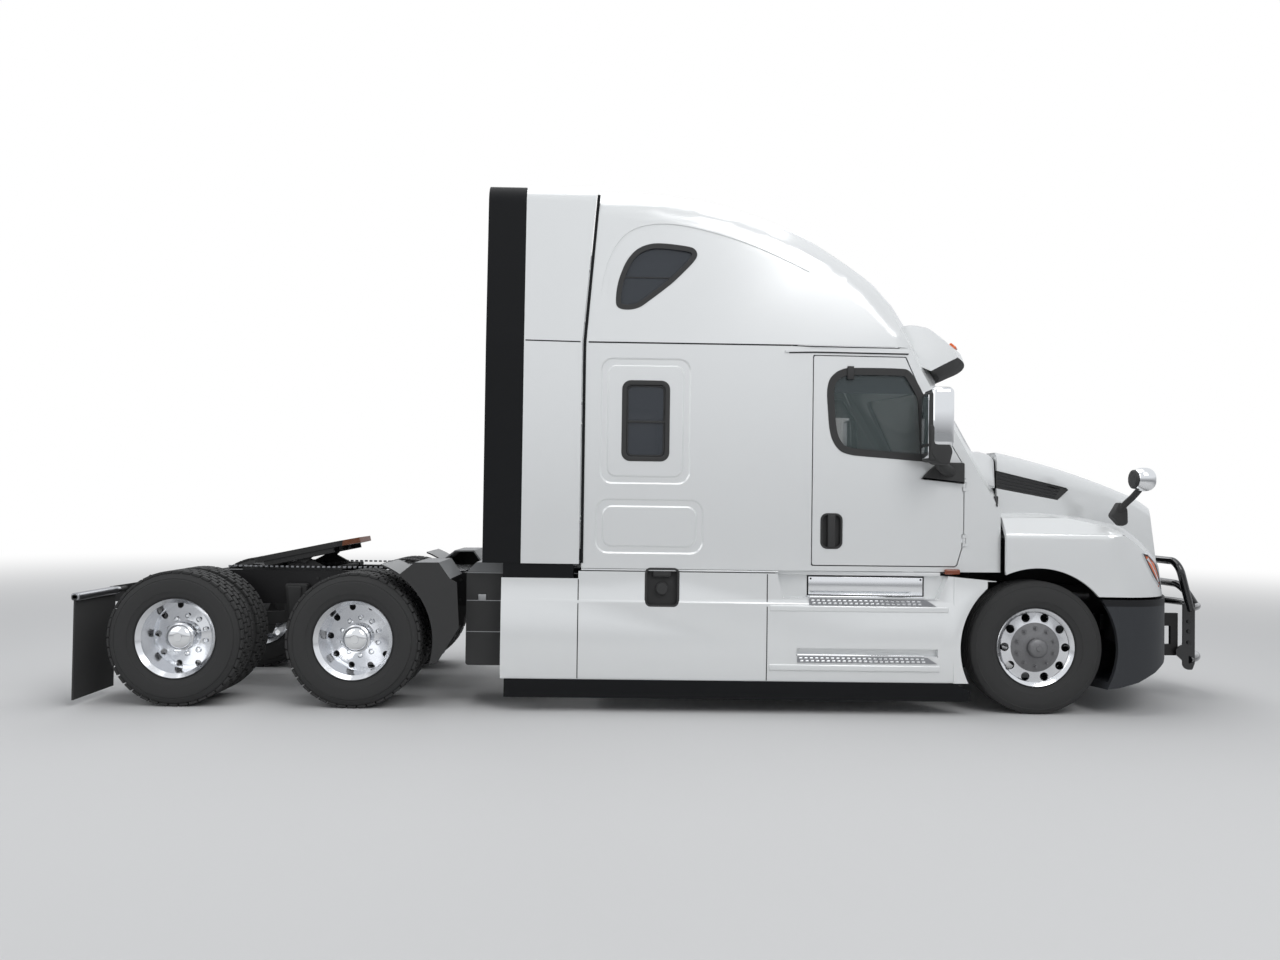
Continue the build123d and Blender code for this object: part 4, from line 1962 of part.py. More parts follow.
with BuildPart() as mud_guards:
    for _, side in SIDES:
        quarter_plane = Plane(
            origin=(DRIVE_AXLE_X[0], side * QUARTER_INNER_Y, TYRE_RADIUS), x_dir=(1, 0, 0), z_dir=(0, -1, 0)
        )
        with BuildSketch(quarter_plane):
            with BuildLine():
                Polyline((200, 1300), (200, 286), (0, 0), (1000, -290), (1300, 1300), close=True)
            make_face()
            with Locations((0, 0)):
                Circle(QUARTER_RADIUS + QUARTER_THICKNESS, mode=Mode.INTERSECT)
                Circle(QUARTER_RADIUS, mode=Mode.SUBTRACT)
        extrude(amount=-side * (QUARTER_OUTER_Y - QUARTER_INNER_Y))
        with BuildSketch(Plane.XZ.offset(-side * QUARTER_OUTER_Y)):
            add(outline([(at(station), height) for station, height in QUARTER_FACE]))
            with Locations((DRIVE_AXLE_X[0], TYRE_RADIUS)):
                Circle(QUARTER_RADIUS, mode=Mode.SUBTRACT)
        extrude(amount=side * QUARTER_THICKNESS)
        with BuildSketch(Plane.XZ.offset(-side * QUARTER_OUTER_Y)):
            add(outline([(at(station), height) for station, height in QUARTER_FACE[4:] + QUARTER_CAP_UNDER]))
        extrude(amount=side * (QUARTER_OUTER_Y - QUARTER_CAP_INNER_Y))
        with BuildSketch(Plane.XZ.offset(-side * RAIL_OUTER_Y)):
            with Locations((DRIVE_AXLE_X[0] + QUARTER_RADIUS * 0.8, RAIL_TOP - 110)):
                Rectangle(50, 50)
        extrude(amount=-side * (QUARTER_OUTER_Y - RAIL_OUTER_Y - 120))
        with BuildSketch(Plane.YZ.offset(at(FLAP_STATION) - 6)):
            with Locations((side * (FLAP_INNER_Y + FLAP_OUTER_Y) / 2, (FLAP_BOTTOM + HANGER_Z) / 2)):
                Rectangle(FLAP_OUTER_Y - FLAP_INNER_Y, HANGER_Z - FLAP_BOTTOM)
        extrude(amount=12)
        with BuildSketch(Plane.XZ.offset(-side * RAIL_OUTER_Y)):
            with Locations((at(FLAP_STATION), HANGER_Z)):
                Circle(HANGER_RADIUS)
        extrude(amount=-side * (FLAP_OUTER_Y - RAIL_OUTER_Y))
write(mud_guards, "mud_guards")

# Auxiliary power unit on the right rail
UNIT_FRONT = -3700.0
UNIT_REAR = -4300.0
UNIT_INNER_Y = 470.0
UNIT_OUTER_Y = 1060.0
UNIT_LOW = 310.0
UNIT_TOP = 1010.0
SHROUD_TOP = 1085.0

with BuildPart() as power_unit:
    with BuildSketch(Plane.XZ.offset(UNIT_INNER_Y)):
        add(
            outline(
                [
                    (at(UNIT_REAR), UNIT_LOW),
                    (at(UNIT_FRONT), UNIT_LOW),
                    (at(UNIT_FRONT), UNIT_TOP),
                    (at(UNIT_FRONT) - 60, SHROUD_TOP),
                    (at(UNIT_REAR) + 70, SHROUD_TOP),
                    (at(UNIT_REAR), UNIT_TOP),
                ],
                corner=[20, 20, 12, 12, 12, 12],
            )
        )
    extrude(amount=UNIT_OUTER_Y - UNIT_INNER_Y)
    for station in (UNIT_REAR + 120, UNIT_FRONT - 120):
        with BuildSketch(Plane.XZ.offset(RAIL_OUTER_Y)):
            with Locations((at(station), RAIL_BOTTOM + RAIL_HEIGHT / 2)):
                Rectangle(90, RAIL_HEIGHT - 20)
        extrude(amount=UNIT_INNER_Y - RAIL_OUTER_Y)
write(power_unit, "power_unit")

# Dashboard with the steering wheel, and the two seats
CABIN_FLOOR = CAB_FLOOR + FLOOR_THICKNESS
SEAT_X = -1330.0
SEAT_Y = 520.0
SEAT_WIDTH = 500.0
STEERING_WHEEL_RADIUS = 225.0
WHEEL_RIM_RADIUS = 16.0
DASH_HALF_WIDTH = 1030.0

with BuildPart() as dashboard:
    with BuildSketch(Plane.XZ.offset(-DASH_HALF_WIDTH)):
        add(
            outline(
                [
                    (at(FIREWALL) - CAB_WALL - 4, CABIN_FLOOR + SEAT_GAP),
                    (at(FIREWALL) - CAB_WALL - 4, 1830),
                    (at(-560), 1885),
                    (at(-760), 1850),
                    (at(-800), 1700),
                    (at(-640), 1520),
                    (at(-560), CABIN_FLOOR + SEAT_GAP),
                ],
                corner=[0, 60, 60, 60, 40, 80, 0],
            )
        )
    extrude(amount=2 * DASH_HALF_WIDTH)
    add(cab_mass(CAB_WALL + SEAT_GAP, FLOOR_THICKNESS + SEAT_GAP, ROOF_SEAM), mode=Mode.INTERSECT)
    column = Plane(origin=(at(-720), SEAT_Y, 1700), x_dir=(0, 1, 0), z_dir=(-0.85, 0, 0.53))
    with BuildSketch(column):
        Circle(36)
    extrude(amount=230)
    wheel_disc = column.offset(230)
    with BuildSketch(wheel_disc.offset(-14)):
        Circle(STEERING_WHEEL_RADIUS)
        Circle(STEERING_WHEEL_RADIUS - 2 * WHEEL_RIM_RADIUS, mode=Mode.SUBTRACT)
        Circle(62)
        with PolarLocations(STEERING_WHEEL_RADIUS / 2, 3, start_angle=90):
            Rectangle(STEERING_WHEEL_RADIUS - 30, 34)
    extrude(amount=28)
write(dashboard, "dashboard")

with BuildPart() as seats:
    for _, side in SIDES:
        for points, corner in (
            (
                [(-190, 0), (190, 0), (150, 330), (-150, 330)],
                20,
            ),
            (
                [(-250, 330), (270, 330), (290, 450), (-230, 430)],
                50,
            ),
            (
                [(-250, 430), (-110, 430), (-190, 1060), (-330, 1060)],
                50,
            ),
            (
                [(-315, 1060), (-225, 1060), (-235, 1250), (-325, 1250)],
                30,
            ),
        ):
            width = SEAT_WIDTH if corner == 50 else SEAT_WIDTH * 0.6
            with BuildSketch(Plane.XZ.offset(-side * SEAT_Y - width / 2)):
                add(
                    outline(
                        [(at(SEAT_X) + x, CABIN_FLOOR + SEAT_GAP + z) for x, z in points],
                        corner=corner,
                    )
                )
            extrude(amount=width)
write(seats, "seats")

# Door mirrors
DOOR_MIRROR_FOOT = [(-886, 1762), (-600, 1762), (-575, 1885), (-815, 1888)]
DOOR_MIRROR_ARM = [(-800, 1790), (-700, 1790), (-730, 1990), (-830, 1990)]
DOOR_MIRROR_HEAD = [(-921, 1857), (-745, 1857), (-729, 1960), (-729, 2380), (-760, 2427), (-905, 2427), (-921, 2380)]
DOOR_MIRROR_IN = 1255.0
DOOR_MIRROR_OUT = 1490.0

for side_name, side in SIDES:
    with BuildPart() as door_mirror:
        with BuildSketch(Plane.XZ.offset(-side * 1080)):
            add(outline([(at(x), z) for x, z in DOOR_MIRROR_FOOT], corner=16))
        extrude(amount=-side * 130)
        with BuildSketch(Plane.XZ.offset(-side * 1170)):
            add(outline([(at(x), z) for x, z in DOOR_MIRROR_ARM], corner=10))
        extrude(amount=-side * (DOOR_MIRROR_IN + 60 - 1170))
        with BuildSketch(Plane.XZ.offset(-side * DOOR_MIRROR_IN)):
            add(outline([(at(x), z) for x, z in DOOR_MIRROR_HEAD], corner=26))
        extrude(amount=-side * (DOOR_MIRROR_OUT - DOOR_MIRROR_IN))
        with Locations((0, side * SEAT_GAP, 0)):
            add(cab_outer, mode=Mode.SUBTRACT)
    write(door_mirror, f"door_mirror_{side_name}")
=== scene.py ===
"""Dresses the road tractor: paint, glass, tyres, wheels, lamps, steps and the small fittings.

Lengths are in metres in the row frame: +X to the front, +Y to the left, +Z up. A station is a distance along X,
counted from the front axle. What lies on both sides is drawn on the left one.
"""

import json
import logging
import math
from dataclasses import dataclass, field
from enum import Enum
from typing import Callable, Optional, Sequence

import bmesh
import bpy
from mathutils import Matrix, Vector
from mathutils.bvhtree import BVHTree


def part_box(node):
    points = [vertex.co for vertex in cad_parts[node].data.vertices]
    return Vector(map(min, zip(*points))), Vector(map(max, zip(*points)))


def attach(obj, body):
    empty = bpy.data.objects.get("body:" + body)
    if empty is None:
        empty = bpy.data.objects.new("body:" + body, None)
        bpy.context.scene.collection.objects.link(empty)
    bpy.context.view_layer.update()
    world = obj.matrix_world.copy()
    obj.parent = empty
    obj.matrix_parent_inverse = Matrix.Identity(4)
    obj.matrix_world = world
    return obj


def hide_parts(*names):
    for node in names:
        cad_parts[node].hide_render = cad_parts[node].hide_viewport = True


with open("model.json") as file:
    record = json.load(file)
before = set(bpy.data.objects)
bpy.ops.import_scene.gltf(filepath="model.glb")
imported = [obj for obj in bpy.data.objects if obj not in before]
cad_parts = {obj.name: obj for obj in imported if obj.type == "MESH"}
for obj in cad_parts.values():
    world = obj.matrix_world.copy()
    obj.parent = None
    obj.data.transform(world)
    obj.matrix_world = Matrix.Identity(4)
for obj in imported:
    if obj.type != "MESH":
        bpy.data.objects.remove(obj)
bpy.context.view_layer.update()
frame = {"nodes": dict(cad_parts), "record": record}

LOG = logging.getLogger("tractor")

Point = tuple[float, float, float]
Flat = tuple[float, float]
Box = tuple[Point, Point]
Corners = float | Sequence[float]

FRONT_AXLE_X = 2.740
AXLE_Z = 0.502
DRIVE_AXLES_X = {"front": -2.375, "rear": -3.685}
SIDES = {"right": -1.0, "left": 1.0}
FORWARDS: Point = (1, 0, 0)
LEFTWARDS: Point = (0, 1, 0)
UPWARDS: Point = (0, 0, 1)

SAME_PLACE = 1e-6
CORNER_STEPS = 6
RIM_STEPS = 3
CAB_HALF_WIDTHS = ((-3.43, 1.220), (-1.88, 1.220), (-1.716, 1.190), (-0.55, 1.145), (-0.262, 1.112))
ROOF_JOINT_Z = 2.745
ROOF_LEAN = math.tan(math.radians(2.2))
HUB_RADIUS = 0.190
HUB_FROM_Y = 1.095


def at(station: float) -> float:
    """X of a station counted from the front axle."""
    return FRONT_AXLE_X + station


def stations(points: Sequence[Flat]) -> list[Flat]:
    """Pairs of station and Z as pairs of X and Z."""
    return [(at(station), z) for station, z in points]


def corners_of(edges: tuple[float, float, float, float], out: float = 0.0) -> list[Flat]:
    """Corners of a rectangle on a wall.

    Args:
        edges: Its rear and front stations, and its lower and upper heights.
        out: How far it grows on every side.

    Returns:
        The corners as pairs of X and Z.
    """
    rear, front, low, high = edges
    return [
        (at(rear) - out, low - out), (at(front) + out, low - out), (at(front) + out, high + out),
        (at(rear) - out, high + out),
    ]


# Finishes


class Nodes:
    """Adds linked nodes to the tree of a material or of the world."""

    def __init__(self, owner: bpy.types.Material | bpy.types.World) -> None:
        """Takes up the owner's node tree.

        Args:
            owner: The material or the world.
        """
        owner.use_nodes = True
        self.tree = owner.node_tree

    def feed(self, node: bpy.types.Node, inputs: dict[str | int, object]) -> None:
        """Sets or links a node's inputs.

        Args:
            node: The node.
            inputs: A value, or the output that feeds it, for each input by its name or number.
        """
        for key, value in inputs.items():
            if isinstance(value, bpy.types.NodeSocket):
                self.tree.links.new(value, node.inputs[key])
            else:
                node.inputs[key].default_value = value

    def add(self, kind: str, inputs: dict[str | int, object], out: str | int = 0,
            **settings: str) -> Optional[bpy.types.NodeSocket]:
        """Adds a node and feeds it.

        Args:
            kind: The node's type, without the part that all shader nodes share.
            inputs: What feeds each input.
            out: The output that is wanted.
            settings: The node's own choices.

        Returns:
            That output, or none where the node has none.
        """
        node = self.tree.nodes.new(f"ShaderNode{kind}")
        for key, value in settings.items():
            setattr(node, key, value)
        self.feed(node, inputs)
        return node.outputs[out] if node.outputs else None


@dataclass(frozen=True)
class Coat:
    """A painted, moulded or bare surface with grain, mottling and dust.

    The numbers go onto the shader's sockets; the noise only varies colour, roughness and height. The slot is the
    record's material slot of most pieces that wear it, and is not used.
    """

    name: str
    colour: Point
    rough: float = 0.4
    metal: float = 0.0
    coat: float = 0.0
    mottle: float = 0.06
    grain: float = 60.0
    bump: float = 0.0
    dust: float = 0.0
    alpha: float = 1.0
    shine: float = 0.5
    slot: str = ""
    coat_rough: float = 0.04
    patches: float = 1.7
    rough_range: Flat = (0.82, 1.18)
    dust_colour: Point = (0.33, 0.30, 0.27)
    dust_heights: Flat = (0.1, 1.0)

    def material(self) -> bpy.types.Material:
        """The node material of this finish, made once.

        Returns:
            The material, with its colour, roughness and bump from noise in object coordinates.
        """
        found = bpy.data.materials.get(self.name)
        if found:
            return found
        made = bpy.data.materials.new(self.name)
        nodes = Nodes(made)
        where = nodes.add("TexCoord", {}, "Object")
        fine = nodes.add("TexNoise", {"Vector": where, "Scale": self.grain, "Detail": 4.0})
        broad = nodes.add("TexNoise", {"Vector": where, "Scale": self.patches, "Detail": 3.0})
        half = nodes.add("Math", {0: broad, 1: 0.5}, operation="MULTIPLY")
        both = nodes.add("Math", {0: fine, 1: 0.5, 2: half}, operation="MULTIPLY_ADD")
        dark = (*[part * (1.0 - self.mottle) for part in self.colour], 1.0)
        light = (*[min(1.0, part * (1.0 + self.mottle)) for part in self.colour], 1.0)
        top = nodes.add("Mix", {"A": dark, "B": light, "Factor": both}, "Result", data_type="RGBA")
        if self.dust:
            top = self._dusted(nodes, where, top, fine)
        least, most = (min(1.0, self.rough * share) for share in self.rough_range)
        gloss = nodes.add("MapRange", {"Value": both, "To Min": least, "To Max": most})
        shader = made.node_tree.nodes["Principled BSDF"]
        nodes.feed(shader, {
            "Base Color": top, "Roughness": gloss, "Metallic": self.metal, "Specular IOR Level": self.shine,
            "Coat Weight": self.coat, "Coat Roughness": self.coat_rough, "Alpha": self.alpha,
        })
        if self.bump:
            relief = nodes.add("Bump", {"Strength": 0.5, "Distance": self.bump, "Height": fine})
            nodes.feed(shader, {"Normal": relief})
        return made

    def _dusted(self, nodes: Nodes, where: bpy.types.NodeSocket, under: bpy.types.NodeSocket,
                fine: bpy.types.NodeSocket) -> bpy.types.NodeSocket:
        """Mixes road dust over the colour, thicker towards the ground.

        Args:
            nodes: The material's nodes.
            where: The coordinates.
            under: The colour under the dust.
            fine: The fine noise that breaks the dust up.

        Returns:
            The mixed colour.
        """
        height = nodes.add("SeparateXYZ", {"Vector": where}, "Z")
        low = nodes.add("MapRange", {
            "Value": height, "From Min": self.dust_heights[0], "From Max": self.dust_heights[1],
            "To Min": self.dust, "To Max": self.dust * 0.25,
        })
        cover = nodes.add("Math", {0: low, 1: fine}, operation="MULTIPLY")
        dust = (*self.dust_colour, 1.0)
        return nodes.add("Mix", {"A": under, "B": dust, "Factor": cover}, "Result", data_type="RGBA")


class Finish(Enum):
    """The finishes that the tractor's pieces wear."""

    WHITE = Coat(
        "white_paint", (0.80, 0.815, 0.82), rough=0.30, coat=0.5, mottle=0.012, grain=900.0, bump=0.00002, dust=0.03,
        slot="white_paint",
    )
    GREY_PLASTIC = Coat(
        "bumper_plastic", (0.030, 0.033, 0.038), rough=0.55, mottle=0.12, grain=700.0, bump=0.0002, dust=0.03,
        shine=0.35,
    )
    LIP_PLASTIC = Coat(
        "dark_lip", (0.006, 0.0065, 0.008), rough=0.5, mottle=0.12, grain=700.0, bump=0.0002, shine=0.3,
    )
    BLACK_PLASTIC = Coat(
        "black_plastic", (0.0050, 0.0055, 0.0065), rough=0.45, mottle=0.15, grain=900.0, bump=0.00015, shine=0.25,
        slot="black_plastic",
    )
    BLACK_GLOSS = Coat("black_enamel", (0.006, 0.006, 0.007), rough=0.12, coat=0.6, mottle=0.1, slot="black_plastic")
    RUBBER = Coat(
        "sheet_rubber", (0.0045, 0.005, 0.006), rough=0.62, mottle=0.2, grain=220.0, bump=0.0004, shine=0.2,
        slot="black_rubber",
    )
    TYRE = Coat(
        "tyre_rubber", (0.0045, 0.0047, 0.0052), rough=0.72, mottle=0.25, grain=240.0, bump=0.0006, dust=0.004,
        shine=0.09, slot="tyre_rubber",
    )
    FRAME = Coat(
        "frame_enamel", (0.0065, 0.0065, 0.0075), rough=0.42, mottle=0.3, grain=90.0, bump=0.0003, dust=0.06,
        shine=0.35, slot="cast_black",
    )
    CAST = Coat(
        "cast_black", (0.009, 0.009, 0.0095), rough=0.6, mottle=0.35, grain=160.0, bump=0.001, dust=0.08, shine=0.3,
        slot="cast_black",
    )
    CHROME = Coat("chrome", (0.86, 0.87, 0.88), rough=0.06, metal=1.0, mottle=0.02, slot="polished_wheel")
    POLISHED = Coat("polished_aluminium", (0.80, 0.81, 0.83), rough=0.16, metal=1.0, mottle=0.05, grain=30.0)
    HUB_DULL = Coat(
        "weathered_hub", (0.20, 0.20, 0.205), rough=0.5, metal=0.75, mottle=0.4, grain=70.0, bump=0.0006,
        slot="polished_wheel",
    )
    TREAD = Coat(
        "tread_aluminium", (0.34, 0.345, 0.36), rough=0.34, metal=1.0, mottle=0.12, grain=120.0, bump=0.0003,
        slot="bright_tread",
    )
    BRIGHT = Coat(
        "bright_panel", (0.86, 0.87, 0.88), rough=0.13, metal=1.0, mottle=0.03, grain=9.0, bump=0.0003,
        slot="bright_tread",
    )
    TANK = Coat(
        "tank_aluminium", (0.35, 0.355, 0.36), rough=0.38, metal=1.0, mottle=0.2, grain=60.0, slot="cast_black",
    )
    DARK_GLASS = Coat(
        "dark_glass", (0.012, 0.014, 0.016), rough=0.03, coat=0.3, mottle=0.05, alpha=0.93, slot="dark_glass",
    )
    CLEAR_GLASS = Coat("tinted_glass", (0.10, 0.13, 0.13), rough=0.02, mottle=0.02, alpha=0.38)
    LENS = Coat("lamp_lens", (0.16, 0.17, 0.18), rough=0.05, coat=0.6, mottle=0.03, alpha=0.80)
    AMBER = Coat(
        "amber_lens", (0.78, 0.13, 0.012), rough=0.12, coat=0.6, mottle=0.15, grain=260.0, bump=0.0005,
        slot="lamp_lens",
    )
    DARK_AMBER = Coat(
        "amber_marker", (0.22, 0.045, 0.012), rough=0.2, coat=0.5, mottle=0.2, grain=260.0, slot="lamp_lens",
    )
    TRIM = Coat(
        "cabin_trim", (0.055, 0.058, 0.062), rough=0.65, mottle=0.15, grain=500.0, bump=0.0003, slot="cabin_trim",
    )
    CLOTH = Coat(
        "seat_cloth", (0.050, 0.052, 0.060), rough=0.9, mottle=0.3, grain=900.0, bump=0.0008, slot="seat_cloth",
    )
    GREASE = Coat("rusty_grease", (0.16, 0.045, 0.012), rough=0.35, mottle=0.5, grain=40.0, bump=0.002)
    SEAM = Coat("seam_shadow", (0.012, 0.012, 0.012), rough=0.8, mottle=0.1, slot="black_rubber")
    CAP_GREY = Coat("cap_grey", (0.17, 0.175, 0.18), rough=0.5, mottle=0.1, grain=500.0, bump=0.0002)


def wear(thing: bpy.types.Object, finish: Finish) -> bpy.types.Object:
    """Puts one finish on the whole of a piece.

    Args:
        thing: The piece.
        finish: What it wears.

    Returns:
        The same piece.
    """
    thing.data.materials.clear()
    thing.data.materials.append(finish.value.material())
    return thing


# Mesh work


class Form:
    """A mesh that is being shaped with bmesh operators."""

    def __init__(self) -> None:
        """Starts an empty mesh."""
        self.bm = bmesh.new()

    def _all(self) -> list:
        """Every vertex, edge and face."""
        return self.bm.verts[:] + self.bm.edges[:] + self.bm.faces[:]

    def round_off(self, geom: list, width: float, segments: int) -> None:
        """Rounds edges, or corners of a flat face.

        Args:
            geom: The edges or the vertices.
            width: How wide the rounding is.
            segments: Steps in it.
        """
        flat = bool(geom) and isinstance(geom[0], bmesh.types.BMVert)
        bmesh.ops.bevel(
            self.bm, geom=geom, offset=width, offset_type="OFFSET", affect="VERTICES" if flat else "EDGES",
            segments=segments, profile=0.5, material=-1,
        )

    def block(self, low: Point, high: Point, round_by: float = 0.0, segments: int = 2) -> "Form":
        """Adds a box between two corners.

        Args:
            low: Lowest corner.
            high: Highest corner.
            round_by: Radius of all its edges.
            segments: Steps in each rounded edge.

        Returns:
            This form.
        """
        middle = [(a + b) / 2 for a, b in zip(low, high)]
        size = [max(b - a, 1e-5) for a, b in zip(low, high)]
        made = bmesh.ops.create_cube(self.bm, size=1.0, matrix=Matrix.LocRotScale(middle, None, size))
        if round_by:
            self.round_off(list({e for v in made["verts"] for e in v.link_edges}), round_by, segments)
        return self

    def box(self, corners: Box, round_by: float = 0.0, segments: int = 2) -> "Form":
        """Adds a box whose corners have stations for X.

        Args:
            corners: Its lowest and its highest corner.
            round_by: Radius of all its edges.
            segments: Steps in each rounded edge.

        Returns:
            This form.
        """
        low, high = ((at(station), y, z) for station, y, z in corners)
        return self.block(low, high, round_by, segments)

    def rod(self, start: Point, end: Point, radius: float, sides: int = 16, taper: Optional[float] = None) -> "Form":
        """Adds a round bar between two points.

        Args:
            start: Centre of one end.
            end: Centre of the other end.
            radius: Radius at the start.
            sides: Sides of the bar.
            taper: Radius at the end, if it differs.

        Returns:
            This form.
        """
        a, b = Vector(start), Vector(end)
        axis = b - a
        turn = Vector((0, 0, 1)).rotation_difference(axis).to_matrix().to_4x4()
        bmesh.ops.create_cone(
            self.bm, cap_ends=True, segments=sides, radius1=radius,
            radius2=radius if taper is None else taper, depth=axis.length,
            matrix=Matrix.Translation((a + b) / 2) @ turn,
        )
        return self

    def turned(self, profile: Sequence[Flat], centre: Point, axis: Point, steps: int = 48) -> "Form":
        """Adds a turned body.

        Args:
            profile: Pairs of radius and distance along the axis.
            centre: A point on the axis.
            axis: Direction of the axis.
            steps: Steps round the axis.

        Returns:
            This form.
        """
        along = Vector(axis).normalized()
        out = along.orthogonal().normalized()
        base = Vector(centre)
        verts = [self.bm.verts.new(base + out * r + along * a) for r, a in profile]
        edges = [self.bm.edges.new(pair) for pair in zip(verts, verts[1:])]
        bmesh.ops.spin(
            self.bm, geom=verts + edges, cent=base, axis=along, dvec=(0, 0, 0),
            angle=math.tau, steps=steps, use_merge=True, use_duplicate=False,
        )
        bmesh.ops.remove_doubles(self.bm, verts=self.bm.verts[:], dist=SAME_PLACE)
        return self

    def _outlined(self, outline: Sequence[Flat], low: float, corners: Corners) -> bmesh.types.BMFace:
        """Adds a flat face.

        Args:
            outline: Its corners as pairs of X and Z.
            low: Where it stands along Y.
            corners: One radius, or one for each corner.

        Returns:
            The face.
        """
        old = set(self.bm.verts)
        verts = [self.bm.verts.new((x, low, z)) for x, z in outline]
        self.bm.faces.new(verts)
        radii = [corners] * len(verts) if isinstance(corners, (int, float)) else corners
        for vert, radius in zip(verts, radii):
            if radius > 0:
                self.round_off([vert], radius, CORNER_STEPS)
        return next(f for f in self.bm.faces if all(v not in old for v in f.verts))

    def _thickened(self, faces: list[bmesh.types.BMFace], by: float) -> list[bmesh.types.BMVert]:
        """Gives faces a thickness along Y.

        Args:
            faces: The faces.
            by: The thickness.

        Returns:
            The vertices of the farther side.
        """
        grown = bmesh.ops.extrude_face_region(self.bm, geom=faces, use_keep_orig=True)["geom"]
        top = [g for g in grown if isinstance(g, bmesh.types.BMVert)]
        bmesh.ops.translate(self.bm, vec=(0.0, by, 0.0), verts=top)
        return top

    def _outwards(self, verts: list[bmesh.types.BMVert]) -> "Form":
        """Turns the faces of some vertices outwards."""
        bmesh.ops.recalc_face_normals(self.bm, faces=list({f for v in verts for f in v.link_faces}))
        return self

    def plate(self, outline: Sequence[Flat], low: float, high: float, corners: Corners = 0.0,
              edge: float = 0.0) -> "Form":
        """Adds a flat plate cut to an outline in X and Z, standing between two distances along Y.

        Args:
            outline: Corners as pairs of X and Z.
            low: Nearer face, along Y.
            high: Farther face, along Y.
            corners: One radius, or one for each corner.
            edge: Radius along the edges of the farther face.

        Returns:
            This form.
        """
        old = set(self.bm.verts)
        top = self._thickened([self._outlined(outline, low, corners)], high - low)
        if edge:
            self.round_off([e for e in self.bm.edges if e.verts[0] in top and e.verts[1] in top], edge, RIM_STEPS)
        return self._outwards([v for v in self.bm.verts if v not in old])

    def band(self, outline: Sequence[Flat], width: float, low: float, high: float, corners: Corners = 0.0,
             edge: float = 0.0) -> "Form":
        """Adds a closed band that follows an outline in X and Z, such as a gasket or an embossed rib.

        Args:
            outline: Outer corners as pairs of X and Z.
            width: Width of the band, inwards.
            low: Nearer face, along Y.
            high: Farther face, along Y.
            corners: One radius, or one for each corner.
            edge: Radius along the edges of the farther face.

        Returns:
            This form.
        """
        old = set(self.bm.verts)
        face = self._outlined(outline, low, corners)
        outer = [v.co.copy() for v in face.verts]
        outer_edges = face.edges[:]
        after = outer[1:] + outer[:1]
        turn = math.copysign(width, sum(a.x * b.z - b.x * a.z for a, b in zip(outer, after)))
        inner = []
        for a, b, c in zip(outer[-1:] + outer[:-1], outer, after):
            first, run = (b - a).normalized(), ((b - a).normalized() + (c - b).normalized()).normalized()
            inner.append(self.bm.verts.new(b + Vector((-run.z, 0.0, run.x)) * (turn / max(0.3, run.dot(first)))))
        inner_edges = [self.bm.edges.new(pair) for pair in zip(inner, inner[1:] + inner[:1])]
        bmesh.ops.delete(self.bm, geom=[face], context="FACES_ONLY")
        ring = bmesh.ops.bridge_loops(self.bm, edges=outer_edges + inner_edges)["faces"]
        top = self._thickened(ring, high - low)
        if edge:
            rim = [
                e for e in self.bm.edges
                if e.verts[0] in top and e.verts[1] in top and len(e.link_faces) == 2
                and abs(e.link_faces[0].normal.dot(e.link_faces[1].normal)) < 0.5
            ]
            self.round_off(rim, edge, RIM_STEPS)
        return self._outwards([v for v in self.bm.verts if v not in old])

    def strip(self, path: Sequence[Flat], width: float, low: float, high: float, steps: int = 48) -> "Form":
        """Adds a thin strip that follows a path in X and Z.

        Args:
            path: Points of its middle line as pairs of X and Z.
            width: Width of the strip.
            low: Nearer face, along Y.
            high: Farther face, along Y.
            steps: Steps along the path.

        Returns:
            This form.
        """
        points = [Vector((x, 0.0, z)) for x, z in path]
        lengths = [(b - a).length for a, b in zip(points, points[1:])]
        total = sum(lengths)

        def place(distance: float) -> Vector:
            """A point of the path.

            Args:
                distance: How far it lies along the path.

            Returns:
                The point.
            """
            for start, end, length in zip(points, points[1:], lengths):
                if distance <= length or end is points[-1]:
                    return start.lerp(end, distance / length)
                distance -= length
            return points[-1]

        made = bmesh.ops.create_grid(self.bm, x_segments=steps, y_segments=1, size=0.5)["verts"]
        for vert in made:
            distance = (vert.co.x + 0.5) * total
            run = (place(min(distance + 0.01, total)) - place(max(distance - 0.01, 0.0))).normalized()
            across = Vector((-run.z, 0.0, run.x)) * (vert.co.y * width)
            vert.co = place(distance) + across + Vector((0.0, low, 0.0))
        top = self._thickened(list({f for v in made for f in v.link_faces}), high - low)
        return self._outwards(made + top)

    def shaped(self, rule: Callable[[Vector], Vector]) -> "Form":
        """Moves each vertex by a rule, such as laying a flat plate on the cab's skin.

        Args:
            rule: Gives a vertex's new place from its old one.

        Returns:
            This form.
        """
        for vert in self.bm.verts:
            vert.co = rule(vert.co)
        return self

    def turn(self, angle: float, axis: Point, about: Point) -> "Form":
        """Turns the whole form by an angle in radians, about an axis through a point."""
        bmesh.ops.rotate(self.bm, cent=about, matrix=Matrix.Rotation(angle, 3, axis), verts=self.bm.verts[:])
        return self

    def cut(self, spot: Point, normal: Point) -> "Form":
        """Adds edges where a plane through a spot crosses the form."""
        bmesh.ops.bisect_plane(self.bm, geom=self._all(), dist=1e-5, plane_co=spot, plane_no=normal)
        return self

    def join(self, other: "Form") -> "Form":
        """Takes up another form.

        Args:
            other: The form, which ends there.

        Returns:
            This form.
        """
        mesh = bpy.data.meshes.new("joined")
        other.bm.to_mesh(mesh)
        other.bm.free()
        self.bm.from_mesh(mesh)
        bpy.data.meshes.remove(mesh)
        return self

    def _copied(self, source: list) -> list[bmesh.types.BMVert]:
        """Copies some geometry and gives the copy's vertices."""
        copy = bmesh.ops.duplicate(self.bm, geom=source)["geom"]
        return [g for g in copy if isinstance(g, bmesh.types.BMVert)]

